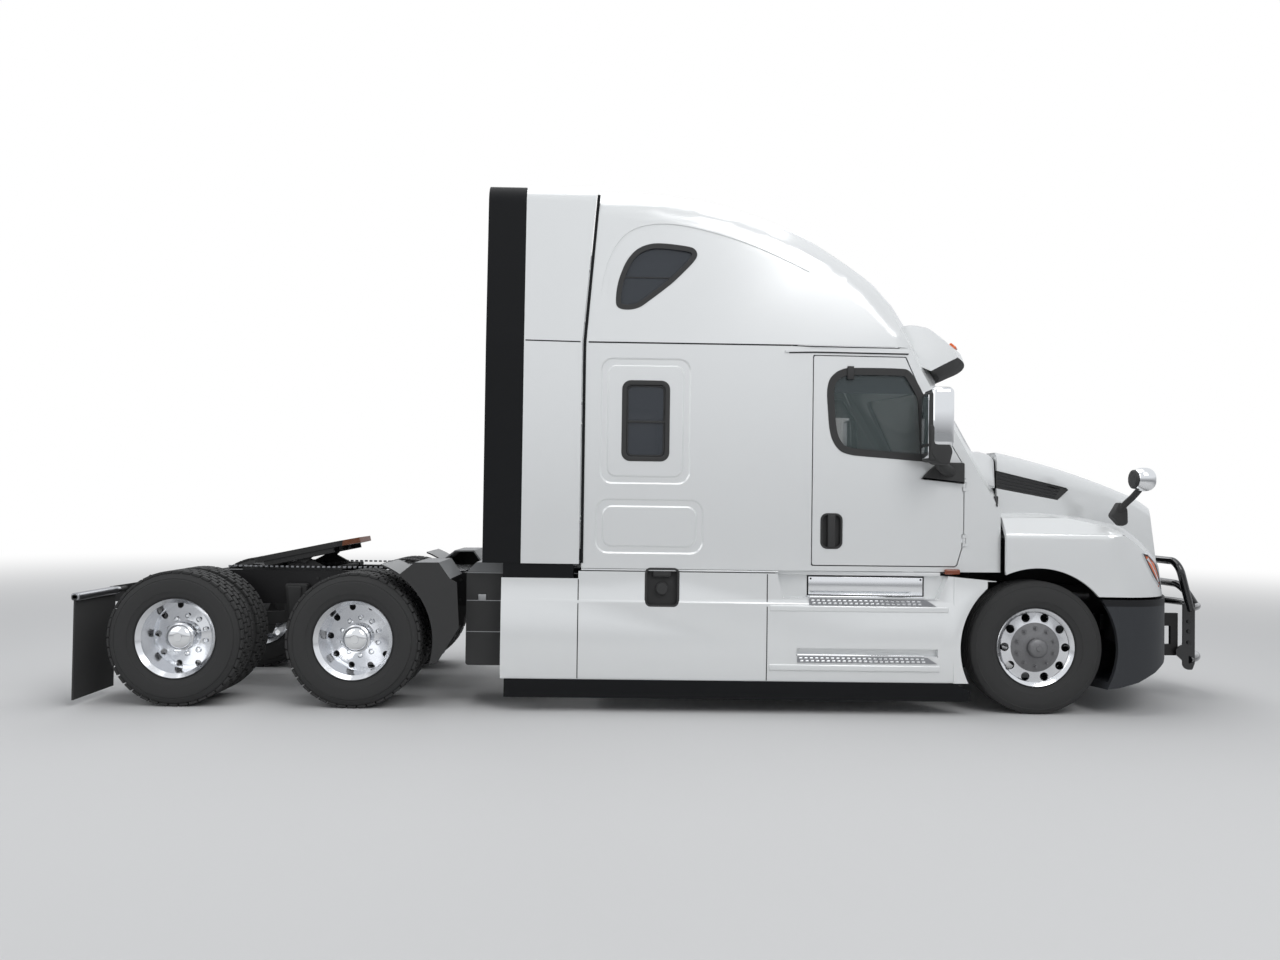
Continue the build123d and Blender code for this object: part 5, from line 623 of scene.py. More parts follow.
    def _mirrored(self, verts: list[bmesh.types.BMVert]) -> "Form":
        """Mirrors vertices and their faces across the truck's middle plane.

        Args:
            verts: The vertices.

        Returns:
            This form.
        """
        bmesh.ops.scale(self.bm, vec=(1, -1, 1), verts=verts)
        bmesh.ops.reverse_faces(self.bm, faces=list({f for v in verts for f in v.link_faces}))
        return self

    def around(self, count: int, centre: Point, axis: Point) -> "Form":
        """Repeats the whole form evenly round an axis.

        Args:
            count: How many there are in all.
            centre: A point on the axis.
            axis: Direction of the axis.

        Returns:
            This form.
        """
        source = self._all()
        for number in range(1, count):
            turn = Matrix.Rotation(math.tau * number / count, 3, axis)
            bmesh.ops.rotate(self.bm, cent=centre, matrix=turn, verts=self._copied(source))
        return self

    def along(self, count: int, step: Point) -> "Form":
        """Repeats the whole form in a row.

        Args:
            count: How many there are in all.
            step: From one to the next.

        Returns:
            This form.
        """
        source = self._all()
        for number in range(1, count):
            bmesh.ops.translate(self.bm, vec=Vector(step) * number, verts=self._copied(source))
        return self

    def both_sides(self) -> "Form":
        """Adds the mirror image across the truck's middle plane."""
        return self._mirrored(self._copied(self._all()))

    def on_side(self, side: float) -> "Form":
        """Takes what was drawn for the left side to the given side."""
        return self._mirrored(self.bm.verts[:]) if side < 0 else self

    def piece(self, name: str, finish: Finish, body: str = "chassis", smooth: float = 35.0,
              slot: str = "") -> bpy.types.Object:
        """Makes the object, dresses it and lets it ride on a body.

        Args:
            name: The piece's name.
            finish: What it wears.
            body: The CAD body that it rides on.
            smooth: Edges flatter than this many degrees are shaded round.
            slot: The record's material slot, if it isn't the finish's own. It is not used.

        Returns:
            The object.
        """
        bmesh.ops.remove_doubles(self.bm, verts=self.bm.verts[:], dist=SAME_PLACE)
        for face in self.bm.faces:
            face.smooth = True
        for edge in self.bm.edges:
            edge.smooth = len(edge.link_faces) == 2 and edge.calc_face_angle(0.0) < math.radians(smooth)
        mesh = bpy.data.meshes.new(name)
        self.bm.to_mesh(mesh)
        self.bm.free()
        return settle(name, mesh, finish, body)


def settle(name: str, mesh: bpy.types.Mesh, finish: Finish, body: str) -> bpy.types.Object:
    """Puts a mesh in the scene, dresses it and lets it ride on a body.

    Args:
        name: The piece's name.
        mesh: Its shape.
        finish: What it wears.
        body: The CAD body that it rides on.

    Returns:
        The object.
    """
    thing = bpy.data.objects.new(name, mesh)
    bpy.context.scene.collection.objects.link(thing)
    wear(thing, finish)
    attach(thing, body)
    LOG.info("%s: %d faces on %s", name, len(mesh.polygons), body)
    return thing


def hose(name: str, points: Sequence[Point], radius: float, finish: Finish, body: str = "chassis") -> None:
    """Makes a bent tube through control points.

    Args:
        name: The piece's name.
        points: Its control points.
        radius: Its radius.
        finish: What it wears.
        body: The CAD body that it rides on.
    """
    curve = bpy.data.curves.new(name, "CURVE")
    curve.dimensions = "3D"
    line = curve.splines.new("NURBS")
    line.points.add(len(points) - 1)
    for knot, where in zip(line.points, points):
        knot.co = (*where, 1.0)
    line.order_u = 3
    line.use_endpoint_u = True
    line.resolution_u = 6
    curve.bevel_depth = radius
    curve.bevel_resolution = 3
    curve.use_fill_caps = True
    holder = bpy.data.objects.new(name + "_line", curve)
    bpy.context.scene.collection.objects.link(holder)
    bpy.context.view_layer.update()
    mesh = bpy.data.meshes.new_from_object(holder.evaluated_get(bpy.context.evaluated_depsgraph_get()))
    bpy.data.objects.remove(holder)
    mesh.name = name
    for polygon in mesh.polygons:
        polygon.use_smooth = True
    settle(name, mesh, finish, body)


def skin_y(x: float, z: float) -> float:
    """Half width of the cab's outer skin at a place.

    Args:
        x: Place along the truck.
        z: Height.

    Returns:
        Distance of the skin from the middle plane.
    """
    station = max(x - FRONT_AXLE_X, CAB_HALF_WIDTHS[0][0])
    half = CAB_HALF_WIDTHS[-1][1]
    for (x0, y0), (x1, y1) in zip(CAB_HALF_WIDTHS, CAB_HALF_WIDTHS[1:]):
        if x0 <= station <= x1:
            half = y0 + (y1 - y0) * (station - x0) / (x1 - x0)
            break
    return half - max(0.0, z - ROOF_JOINT_Z) * ROOF_LEAN


def smooth_loop(points: Sequence[Flat], grow: float = 0.0, steps: int = 5) -> list[Flat]:
    """A smooth closed outline through control points counted from the front axle.

    Args:
        points: Control points as pairs of station and Z.
        grow: How far it lies outside the points.
        steps: Steps between two points.

    Returns:
        The outline as pairs of X and Z.
    """
    plain = [Vector((at(x), z)) for x, z in points]
    middle = sum(plain, Vector((0.0, 0.0))) / len(plain)
    knots = [v + (v - middle).normalized() * grow for v in plain]
    outline = []
    for number, b in enumerate(knots):
        a, c, d = knots[number - 1], knots[(number + 1) % len(knots)], knots[(number + 2) % len(knots)]
        for step in range(steps):
            t = step / steps
            square, cube = 2 * a - 5 * b + 4 * c - d, 3 * b - a - 3 * c + d
            spot = 0.5 * (2 * b + (c - a) * t + square * t ** 2 + cube * t ** 3)
            outline.append((spot.x, spot.y))
    return outline


def on_skin(co: Vector) -> Vector:
    """Lays a point drawn as X, height over the skin, Z on the cab's left skin."""
    return Vector((co.x, skin_y(co.x, co.z) + co.y, co.z))


class Skin:
    """The outer surface of some CAD nodes, on which thin pieces are laid from the left side."""

    def __init__(self, *names: str) -> None:
        """Reads the nodes' meshes.

        Args:
            names: The CAD nodes that make up the surface.
        """
        joined = bmesh.new()
        for name in names:
            joined.from_mesh(frame["nodes"][name].data)
        self.tree = BVHTree.FromBMesh(joined)
        joined.free()

    def side_y(self, x: float, z: float) -> float:
        """Distance of the left skin from the middle plane.

        Args:
            x: Place along the truck.
            z: Height.

        Returns:
            The distance, or the cab wall's where the surface has none.
        """
        hit = self.tree.ray_cast(Vector((x, 3.0, z)), Vector((0.0, -1.0, 0.0)), 3.0)[0]
        return hit.y if hit else skin_y(x, z)

    def lay(self, co: Vector) -> Vector:
        """Lays a point drawn as X, height over the skin, Z on the left skin."""
        return Vector((co.x, self.side_y(co.x, co.z) + co.y, co.z))


@dataclass
class Region:
    """A part of a panel that wears a second finish, with the cuts that bound it."""

    finish: Finish
    where: Callable[[Vector, Vector], bool]
    cuts: tuple[tuple[Point, Point], ...] = ()


def on_steer_hub(centre: Vector, normal: Vector) -> bool:
    """Whether a face of a steered wheel lies on its dull hub.

    Args:
        centre: The face's middle.
        normal: The way it faces, which plays no part.

    Returns:
        True inside the hub's circle and outside the disc's plane.
    """
    return math.hypot(centre.x - FRONT_AXLE_X, centre.z - AXLE_Z) < HUB_RADIUS and abs(centre.y) > HUB_FROM_Y


@dataclass
class SolidPanels:
    """Carried-over CAD nodes: smooth copies of the panels that show, better materials on the rest."""

    smooth_nodes: dict[str, Finish] = field(default_factory=lambda: {
        "cab_shell": Finish.WHITE, "roof_shell": Finish.WHITE, "hood": Finish.WHITE, "side_extenders": Finish.WHITE,
        "side_skirts": Finish.WHITE, "sun_visor": Finish.WHITE, "bumper": Finish.GREY_PLASTIC,
        "front_guard": Finish.BLACK_GLOSS, "fifth_wheel_plate": Finish.CAST, "fuel_tanks": Finish.TANK,
        "mud_guards": Finish.BLACK_PLASTIC, "headlamps": Finish.LENS, "dashboard": Finish.TRIM,
        "drive_axles": Finish.CAST, "front_axle": Finish.CAST, "door_right": Finish.WHITE,
        "door_left": Finish.WHITE, "power_unit": Finish.BLACK_PLASTIC,
        "steer_rim_right": Finish.POLISHED, "steer_rim_left": Finish.POLISHED,
        "front_drive_rims_right": Finish.POLISHED, "front_drive_rims_left": Finish.POLISHED,
        "rear_drive_rims_right": Finish.POLISHED, "rear_drive_rims_left": Finish.POLISHED,
    })
    regions: dict[str, Region] = field(default_factory=lambda: {
        "bumper": Region(Finish.LIP_PLASTIC, lambda c, n: c.z > 0.822, (((0, 0, 0.822), UPWARDS),)),
        "power_unit": Region(Finish.CAP_GREY, lambda c, n: c.z > 1.012, (((0, 0, 1.012), UPWARDS),)),
        "fifth_wheel_plate": Region(
            Finish.GREASE, lambda c, n: c.x > at(-5.42) and (n.x > 0.2 or c.z > 1.20),
            (((at(-5.42), 0, 0), FORWARDS),),
        ),
        "sun_visor": Region(Finish.BLACK_PLASTIC, lambda c, n: n.z < -0.12),
        "mud_guards": Region(Finish.CAP_GREY, lambda c, n: c.z > 0.985 and c.x > at(-5.0)),
        "steer_rim_right": Region(Finish.HUB_DULL, on_steer_hub),
        "steer_rim_left": Region(Finish.HUB_DULL, on_steer_hub),
    })
    softened: dict[str, tuple[Point, Point, float]] = field(default_factory=lambda: {
        "hood": ((2.45, 1.160, 1.300), (3.29, 1.230, 1.356), 0.036),
    })
    plain_nodes: dict[str, Finish] = field(default_factory=lambda: {
        "cab_glass": Finish.DARK_GLASS, "roof_glass": Finish.DARK_GLASS, "door_glass_right": Finish.CLEAR_GLASS,
        "door_glass_left": Finish.CLEAR_GLASS, "rubber_edges": Finish.RUBBER, "tread_plates": Finish.BRIGHT,
        "hood_grilles": Finish.BLACK_PLASTIC, "frame_rails": Finish.FRAME, "engine_block": Finish.CAST,
        "radiator": Finish.BLACK_PLASTIC, "exhaust_box": Finish.TANK, "fifth_wheel_base": Finish.CAST,
        "steering_knuckle_right": Finish.CAST, "steering_knuckle_left": Finish.CAST, "tie_rod": Finish.FRAME,
    })
    weld: float = 2e-5
    flat_degrees: float = 0.6
    round_degrees: float = 26.0
    crease_degrees: Flat = (14.0, 60.0)
    facing_out: float = 0.15

    def _soften(self, form: Form, low: Point, high: Point, width: float) -> None:
        """Rounds the creases of a panel's outer surface inside a box, on both sides of the truck.

        Args:
            form: The panel.
            low: Lowest corner of the box on the left side.
            high: Highest corner of the box.
            width: How wide the rounding is.
        """
        def inside(vert: bmesh.types.BMVert) -> bool:
            """Whether a vertex lies in the box or in its mirror image."""
            spot = (vert.co.x, abs(vert.co.y), vert.co.z)
            return all(a <= c <= b for a, c, b in zip(low, spot, high))

        form.bm.normal_update()
        least, most = map(math.radians, self.crease_degrees)
        form.round_off([
            e for e in form.bm.edges
            if len(e.link_faces) == 2 and inside(e.verts[0]) and inside(e.verts[1])
            and least < e.calc_face_angle(0.0) < most
            and all(f.normal.y * math.copysign(1.0, f.calc_center_median().y) > self.facing_out for f in e.link_faces)
        ], width, 5)

    def dress(self) -> None:
        """Makes the smooth copies and dresses all the nodes."""
        nodes, bodies = frame["nodes"], frame["record"]["behaviour"]["bodies"]
        home = {name: body for body, names in bodies.items() for name in names}
        slots = {s["node"]: s["material_slot"] for s in frame["record"]["subparts"]}
        for name, finish in self.plain_nodes.items():
            wear(nodes[name], finish)
        for name, finish in self.smooth_nodes.items():
            form = Form()
            form.bm.from_mesh(nodes[name].data)
            bmesh.ops.remove_doubles(form.bm, verts=form.bm.verts[:], dist=self.weld)
            bmesh.ops.dissolve_limit(
                form.bm, angle_limit=math.radians(self.flat_degrees), use_dissolve_boundaries=False,
                verts=form.bm.verts[:], edges=form.bm.edges[:], delimit={"NORMAL"},
            )
            if name in self.softened:
                self._soften(form, *self.softened[name])
            second = self.regions.get(name)
            for spot, normal in second.cuts if second else ():
                form.cut(spot, normal)
            thing = form.piece(f"{name}_finished", finish, home[name], self.round_degrees, slots[name])
            if second:
                thing.data.materials.append(second.finish.value.material())
                for polygon in thing.data.polygons:
                    polygon.material_index = int(second.where(polygon.center, polygon.normal))
            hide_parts(name)


@dataclass
class Tyres:
    """Road tyres with grooved or lugged treads."""

    radius: float = 0.502
    half_width: float = 0.1425
    rim_radius: float = 0.2985
    bead_half: float = 0.106
    steer_y: float = 1.030
    twin_y: Flat = (0.747, 1.077)
    steer_grooves: tuple[float, ...] = (0.086, 0.043, 0.0, -0.043, -0.086)
    groove_depth: float = 0.014
    groove_halves: Flat = (0.007, 0.0045)
    lug_depth: float = 0.018
    lug_count: int = 42
    lug_share: float = 0.84
    lug_rows: dict[float, tuple[Flat, ...]] = field(default_factory=lambda: {
        0.0: ((-0.098, 0.040), (0.0345, 0.052)), 0.5: ((-0.0345, 0.052), (0.098, 0.040)),
    })

    def _carcass(self, form: Form, centre: Point, grooves: Sequence[float], radius: float) -> None:
        """Adds one tyre's turned carcass.

        Args:
            form: Where it goes.
            centre: The wheel's centre.
            grooves: Middles of the grooves round the tread, across it.
            radius: Radius of the tread.
        """
        r, w, rim = radius, self.half_width, self.rim_radius
        half = [
            (rim - 0.012, self.bead_half), (rim + 0.004, self.bead_half), (rim + 0.012, self.bead_half + 0.012),
            (rim + 0.018, self.bead_half + 0.013), (rim + 0.040, w - 0.012), (rim + 0.047, w - 0.010),
            (rim + 0.050, w - 0.006), (rim + 0.085, w - 0.0005), (rim + 0.120, w), (rim + 0.135, w - 0.002),
            (r - 0.044, w - 0.009), (r - 0.040, w - 0.007), (r - 0.014, w - 0.020), (r - 0.004, w - 0.028),
            (r - 0.0015, w - 0.034),
        ]
        (mouth, bottom), deep = self.groove_halves, self.groove_depth
        groove = ((0.0, mouth), (deep, bottom), (deep, -bottom), (0.0, -mouth))
        tread = [(r - depth, middle + across) for middle in grooves for depth, across in groove]
        form.turned(half + tread + [(out, -across) for out, across in reversed(half)], centre, LEFTWARDS, 96)

    def _lugs(self, form: Form, centre: Point) -> None:
        """Adds the tread blocks of a drive tyre, two rows of them half a step behind the others.

        Args:
            form: Where they go.
            centre: The wheel's centre.
        """
        arc = math.tau * self.radius / self.lug_count
        half = arc * self.lug_share / 2
        x, y, z = centre
        for shift, rows in self.lug_rows.items():
            lug = Form()
            for across, width in rows:
                lug.block(
                    (x - half, y + across - width / 2, z + self.radius - 0.020),
                    (x + half, y + across + width / 2, z + self.radius - 0.0014), 0.003, 1,
                )
            lug.around(self.lug_count, centre, LEFTWARDS)
            form.join(lug.turn(shift * math.tau / self.lug_count, LEFTWARDS, centre))

    def build(self) -> None:
        """Makes every tyre."""
        for name, side in SIDES.items():
            form = Form()
            self._carcass(form, (FRONT_AXLE_X, side * self.steer_y, AXLE_Z), self.steer_grooves, self.radius)
            tyre = form.piece(f"steer_tyre_rubber_{name}", Finish.TYRE, f"front_wheel_{name}")
            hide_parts(f"steer_tyre_{name}")
            for axle, x in DRIVE_AXLES_X.items():
                form = Form()
                for y in self.twin_y:
                    self._carcass(form, (x, side * y, AXLE_Z), (), self.radius - self.lug_depth)
                    self._lugs(form, (x, side * y, AXLE_Z))
                body = f"{axle}_drive_wheels_{name}"
                tyre = form.piece(f"{axle}_drive_rubber_{name}", Finish.TYRE, body)
                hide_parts(f"{axle}_drive_tyres_{name}")


@dataclass
class WheelFittings:
    """Nuts, covers, hub caps and the oil-filled cap of the steered hubs."""

    stud_circle: float = 0.1429
    studs: int = 10
    steer_disc_y: float = 1.122
    twin_disc_y: float = 0.924
    cover: tuple[Flat, ...] = ((0.0, 0.062), (0.008, 0.060), (0.0185, 0.050), (0.0215, 0.010), (0.025, 0.002))
    cap: tuple[Flat, ...] = (
        (0.0, 1.214), (0.020, 1.213), (0.024, 1.207), (0.058, 1.205), (0.066, 1.199), (0.0735, 1.186),
        (0.0745, 1.150), (0.088, 1.146), (0.090, 1.130), (0.118, 1.128), (0.120, 1.124),
    )
    dome: tuple[Flat, ...] = (
        (0.0, 1.148), (0.030, 1.1475), (0.032, 1.145), (0.062, 1.142), (0.085, 1.128), (0.100, 1.106),
        (0.1075, 1.075), (0.109, 1.03), (0.109, 0.965), (0.118, 0.955),
    )

    def _nuts(self, x: float, side: float, start: float, covers: bool) -> Form:
        """Makes the ring of wheel nuts.

        Args:
            x: The wheel's place along the truck.
            side: Which side of the truck.
            start: Distance of the disc's face from the middle plane.
            covers: Whether bright covers are pushed over the nuts.

        Returns:
            The ring.
        """
        top = AXLE_Z + self.stud_circle
        nut = Form()
        if covers:
            nut.turned([(radius, start + out) for radius, out in self.cover], (x, 0, top), LEFTWARDS, 12)
        else:
            nut.rod((x, start, top), (x, start + 0.020, top), 0.0205, 6)
            nut.rod((x, start, top), (x, start + 0.003, top), 0.024, 14)
            nut.rod((x, start + 0.019, top), (x, start + 0.036, top), 0.011, 10, 0.009)
        return nut.around(self.studs, (x, 0, AXLE_Z), LEFTWARDS).on_side(side)

    def build(self) -> None:
        """Makes the fittings of every wheel."""
        for name, side in SIDES.items():
            cap = Form().turned(self.cap, (FRONT_AXLE_X, 0, AXLE_Z), LEFTWARDS, 40).on_side(side)
            cap.piece(f"steer_hub_cap_{name}", Finish.HUB_DULL, f"front_wheel_{name}")
            nuts = self._nuts(FRONT_AXLE_X, side, self.steer_disc_y, covers=False)
            nuts.piece(f"steer_nuts_{name}", Finish.HUB_DULL, f"front_wheel_{name}")
            for axle, x in DRIVE_AXLES_X.items():
                body = f"{axle}_drive_wheels_{name}"
                nuts = self._nuts(x, side, self.twin_disc_y, covers=True)
                nuts.piece(f"{axle}_nut_covers_{name}", Finish.CHROME, body)
                dome = Form().turned(self.dome, (x, 0, AXLE_Z), LEFTWARDS, 48).on_side(side)
                dome.piece(f"{axle}_hub_cover_{name}", Finish.CHROME, body)


@dataclass
class CabSides:
    """What lies on the cab's, sleeper's and roof's side walls."""

    window: tuple[float, float, float, float] = (-3.137, -2.795, 1.869, 2.457)
    roof_window: tuple[Flat, ...] = (
        (-3.198, 3.075), (-3.188, 3.173), (-3.161, 3.269), (-3.116, 3.367), (-3.045, 3.448), (-2.945, 3.490),
        (-2.832, 3.494), (-2.667, 3.476), (-2.615, 3.453), (-2.600, 3.409), (-2.630, 3.357), (-2.690, 3.293),
        (-2.772, 3.212), (-2.862, 3.138), (-2.940, 3.076), (-3.012, 3.022), (-3.080, 2.999), (-3.150, 2.999),
        (-3.190, 3.022),
    )
    door_window: tuple[Flat, ...] = (
        (-1.607, 2.40), (-1.598, 2.25), (-1.585, 2.12), (-1.557, 2.03), (-1.503, 1.962), (-1.430, 1.935),
        (-1.345, 1.925), (-1.10, 1.908), (-0.90, 1.893), (-0.845, 1.890), (-0.832, 1.905), (-0.838, 2.00),
        (-0.848, 2.20), (-0.860, 2.355), (-0.888, 2.43), (-0.950, 2.535), (-0.990, 2.578), (-1.040, 2.589),
        (-1.22, 2.591), (-1.43, 2.587), (-1.500, 2.573), (-1.552, 2.542), (-1.591, 2.49),
    )
    handle: tuple[float, float, float, float] = (-1.643, -1.483, 1.230, 1.490)
    window_bar: Box = ((-3.125, -0.012, 2.148), (-2.807, -0.002, 2.164))
    roof_bar: Box = ((-3.165, -0.0125, 3.236), (-2.760, -0.008, 3.243))
    window_tab: Box = ((-1.455, 0.0, 2.500), (-1.405, 0.014, 2.600))
    grip: Box = ((-1.592, -0.020, 1.236), (-1.534, 0.012, 1.484))
    lock: Flat = (-1.563, 1.285)
    shade: tuple[Flat, ...] = (
        (-1.585, 2.46), (-1.572, 2.40), (-0.892, 2.40), (-0.915, 2.45), (-0.985, 2.565), (-1.445, 2.565),
    )

    def _windows(self) -> None:
        """Makes the sleeper's and roof's window frames."""
        form = Form().band(corners_of(self.window, 0.008), 0.036, -0.012, 0.005, 0.066, 0.004)
        form.box(self.window_bar, 0.002)
        form.band(corners_of(self.window, -0.030), 0.010, -0.013, -0.006, 0.045, 0.002)
        form.shaped(on_skin).both_sides()
        form.piece("sleeper_window_frames", Finish.BLACK_PLASTIC)
        form = Form().band(smooth_loop(self.roof_window, 0.004), 0.038, -0.010, 0.003)
        form.box(self.roof_bar)
        form.shaped(on_skin).both_sides()
        form.piece("roof_window_frames", Finish.BLACK_PLASTIC)

    def _seams(self) -> None:
        """Makes the dark lines where panels meet, the rubber joint before the extenders and the drip moulding."""
        walls = Skin("cab_shell", "roof_shell", "side_skirts", "side_extenders", "door_left")
        form = Form()
        for path, width, steps in (
            (((-3.40, 2.745), (-0.98, 2.745)), 0.011, 60), (((-3.87, 2.752), (-3.46, 2.746)), 0.009, 10),
            (((-3.450, 0.245), (-3.450, 0.980)), 0.007, 16), (((-2.045, 0.245), (-2.045, 1.035)), 0.007, 16),
        ):
            form.strip(stations(path), width, -0.003, 0.0012, steps)
        form.shaped(walls.lay).both_sides().piece("panel_seams", Finish.SEAM)
        for name, path, sizes, steps, finish, smooth in (
            ("extender_joint_rubber", ((-3.428, 1.10), (-3.428, 2.74), (-3.338, 3.86)), (0.022, -0.004, 0.005), 40,
             Finish.RUBBER, 35.0),
            ("door_drip_moulding", ((-1.93, 2.700), (-1.70, 2.712), (-0.99, 2.712)), (0.016, -0.002, 0.016), 30,
             Finish.WHITE, 50.0),
            ("door_drip_shadow", ((-1.90, 2.690), (-1.70, 2.700), (-0.99, 2.700)), (0.009, -0.002, 0.007), 30,
             Finish.SEAM, 35.0),
        ):
            form = Form().strip(stations(path), *sizes, steps).shaped(on_skin).both_sides()
            form.piece(name, finish, smooth=smooth)

    def _door(self, name: str, side: float) -> None:
        """Makes one door's gasket, shade band and handle.

        Args:
            name: Name of the side.
            side: Which side of the truck.
        """
        body = f"door_{name}"
        form = Form().band(smooth_loop(self.door_window), 0.054, -0.016, 0.003)
        form.box(self.window_tab, 0.004)
        form.shaped(on_skin).on_side(side)
        form.piece(f"door_window_gasket_{name}", Finish.BLACK_PLASTIC, body)
        form = Form().plate(stations(self.shade), -0.0215, -0.0200, (0.02, 0.0, 0.0, 0.02, 0.03, 0.06))
        form.shaped(on_skin).on_side(side)
        form.piece(f"door_shade_band_{name}", Finish.DARK_GLASS, body)
        form = Form().band(corners_of(self.handle, 0.004), 0.016, -0.033, 0.006, 0.052, 0.004)
        form.plate(corners_of(self.handle, -0.004), -0.0300, -0.0280, 0.046)
        form.box(self.grip, 0.008, 3)
        x, z = at(self.lock[0]), self.lock[1]
        form.rod((x, 0.008, z), (x, 0.0135, z), 0.011, 20)
        form.shaped(on_skin).on_side(side)
        form.piece(f"door_handle_{name}", Finish.BLACK_PLASTIC, body)

    def build(self) -> None:
        """Makes everything on the walls."""
        self._windows()
        self._seams()
        for name, side in SIDES.items():
            self._door(name, side)


@dataclass
class Skirts:
    """Step treads, filler pockets and marker lamps of the side skirts."""

    half_width: float = 1.232
    upper: Point = (-1.733, -0.785, 0.858)
    lower: Point = (-1.819, -0.774, 0.431)
    nose_height: float = 0.048
    nose_lip: float = 0.002
    nose_slant: float = 0.075
    tooth_pitch: float = 0.0395
    tooth_size: Flat = (0.026, 0.012)
    tooth_rows: tuple[Flat, ...] = ((0.014, 0.020), (0.022, 0.040))
    front_gap: float = 0.095
    back_panel: Box = ((-1.722, 1.120, 0.880), (-0.858, 1.127, 1.014))
    back_rim: Box = ((-1.733, 1.120, 0.872), (-0.847, 1.1245, 1.024))
    back_tabs: tuple[Box, ...] = (
        ((-1.712, 1.123, 0.992), (-1.698, 1.131, 1.006)), ((-0.880, 1.123, 0.992), (-0.866, 1.131, 1.006)),
    )
    ledges: tuple[Box, ...] = (
        ((-2.028, 1.202, 0.762), (-0.690, 1.240, 0.808)), ((-2.028, 1.202, 0.322), (-0.752, 1.240, 0.370)),
    )
    rear_sill: Box = ((-3.430, 1.180, 1.0465), (-1.960, 1.2185, 1.0585))
    front_sill: Box = ((-1.975, 1.120, 1.0290), (-0.730, 1.1530, 1.0585))
    filler: tuple[float, float, float, float] = (-2.953, -2.703, 0.7825, 1.0675)
    filler_middle: Flat = (-2.828, 0.915)
    filler_lid: Box = ((-2.900, 1.174, 1.000), (-2.756, 1.212, 1.052))
    filler_cap: tuple[Flat, ...] = ((0.0, 1.222), (0.040, 1.221), (0.046, 1.214), (0.048, 1.176))
    lamp: Box = ((-0.705, 1.150, 1.044), (-0.590, 1.190, 1.086))

    def _treads(self) -> None:
        """Makes the serrated treads, the bright strips over them and the bright panel behind the upper one."""
        y = self.half_width + 0.005
        for name, (rear, front, top), strip in (("upper", self.upper, 0.020), ("lower", self.lower, 0.013)):
            low, high = top - self.nose_height, top - self.nose_lip
            face = stations([(rear, low), (front, low), (front - self.nose_slant, high), (rear, high)])
            form = Form().plate(face, y - 0.012, y, (0.006, 0.002, 0.004, 0.004)).both_sides()
            form.piece(f"{name}_step_noses", Finish.TREAD)
            teeth = Form()
            length, height = self.tooth_size
            for shift, drop in self.tooth_rows:
                x, z = at(rear) + shift, top - drop
                teeth.block((x, y - 0.002, z), (x + length, y + 0.0035, z + height), 0.0025, 1)
            teeth.along(int((front - rear - 0.09) / self.tooth_pitch), (self.tooth_pitch, 0, 0)).both_sides()
            teeth.piece(f"{name}_step_teeth", Finish.BRIGHT)
            end = front - self.front_gap
            form = Form().box(((rear, y - 0.014, top), (end, y + 0.001, top + strip)), 0.003, 1)
            form.box(((rear, y - 0.110, top + 0.001), (end, y - 0.010, top + 0.007)), 0.002, 1)
            form.both_sides().piece(f"{name}_step_strips", Finish.BRIGHT)
        Form().box(self.back_panel, 0.002).both_sides().piece("step_back_panels", Finish.BRIGHT)
        form = Form().box(self.back_rim, 0.001, 1)
        for tab in self.back_tabs:
            form.box(tab, 0.003, 1)
        form.both_sides().piece("step_panel_outlines", Finish.SEAM)

    def _ledges(self) -> None:
        """Makes the white ledges under the treads and the sills over the skirts."""
        form = Form()
        for ledge in self.ledges:
            form.box(ledge, 0.009, 3)
        form.both_sides().piece("step_ledges", Finish.WHITE, smooth=50.0)
        form = Form().box(self.rear_sill, 0.004).box(self.front_sill, 0.006)
        form.both_sides().piece("sill_strips", Finish.WHITE, smooth=50.0)

    def _filler(self) -> None:
        """Makes the black pockets with their caps."""
        y = self.half_width
        form = Form().band(corners_of(self.filler, 0.004), 0.016, y - 0.058, y - 0.004, 0.042, 0.004)
        form.plate(corners_of(self.filler, -0.003), y - 0.0595, y - 0.055, 0.038)
        form.turned(self.filler_cap, (at(self.filler_middle[0]), 0.0, self.filler_middle[1]), LEFTWARDS, 32)
        form.box(self.filler_lid, 0.016, 3)
        form.both_sides().piece("filler_pockets", Finish.BLACK_PLASTIC)

    def build(self) -> None:
        """Makes everything on the skirts, and the amber lamps under the doors' front corners."""
        self._treads()
        self._ledges()
        self._filler()
        Form().box(self.lamp, 0.012, 3).both_sides().piece("side_marker_lamps", Finish.DARK_AMBER)


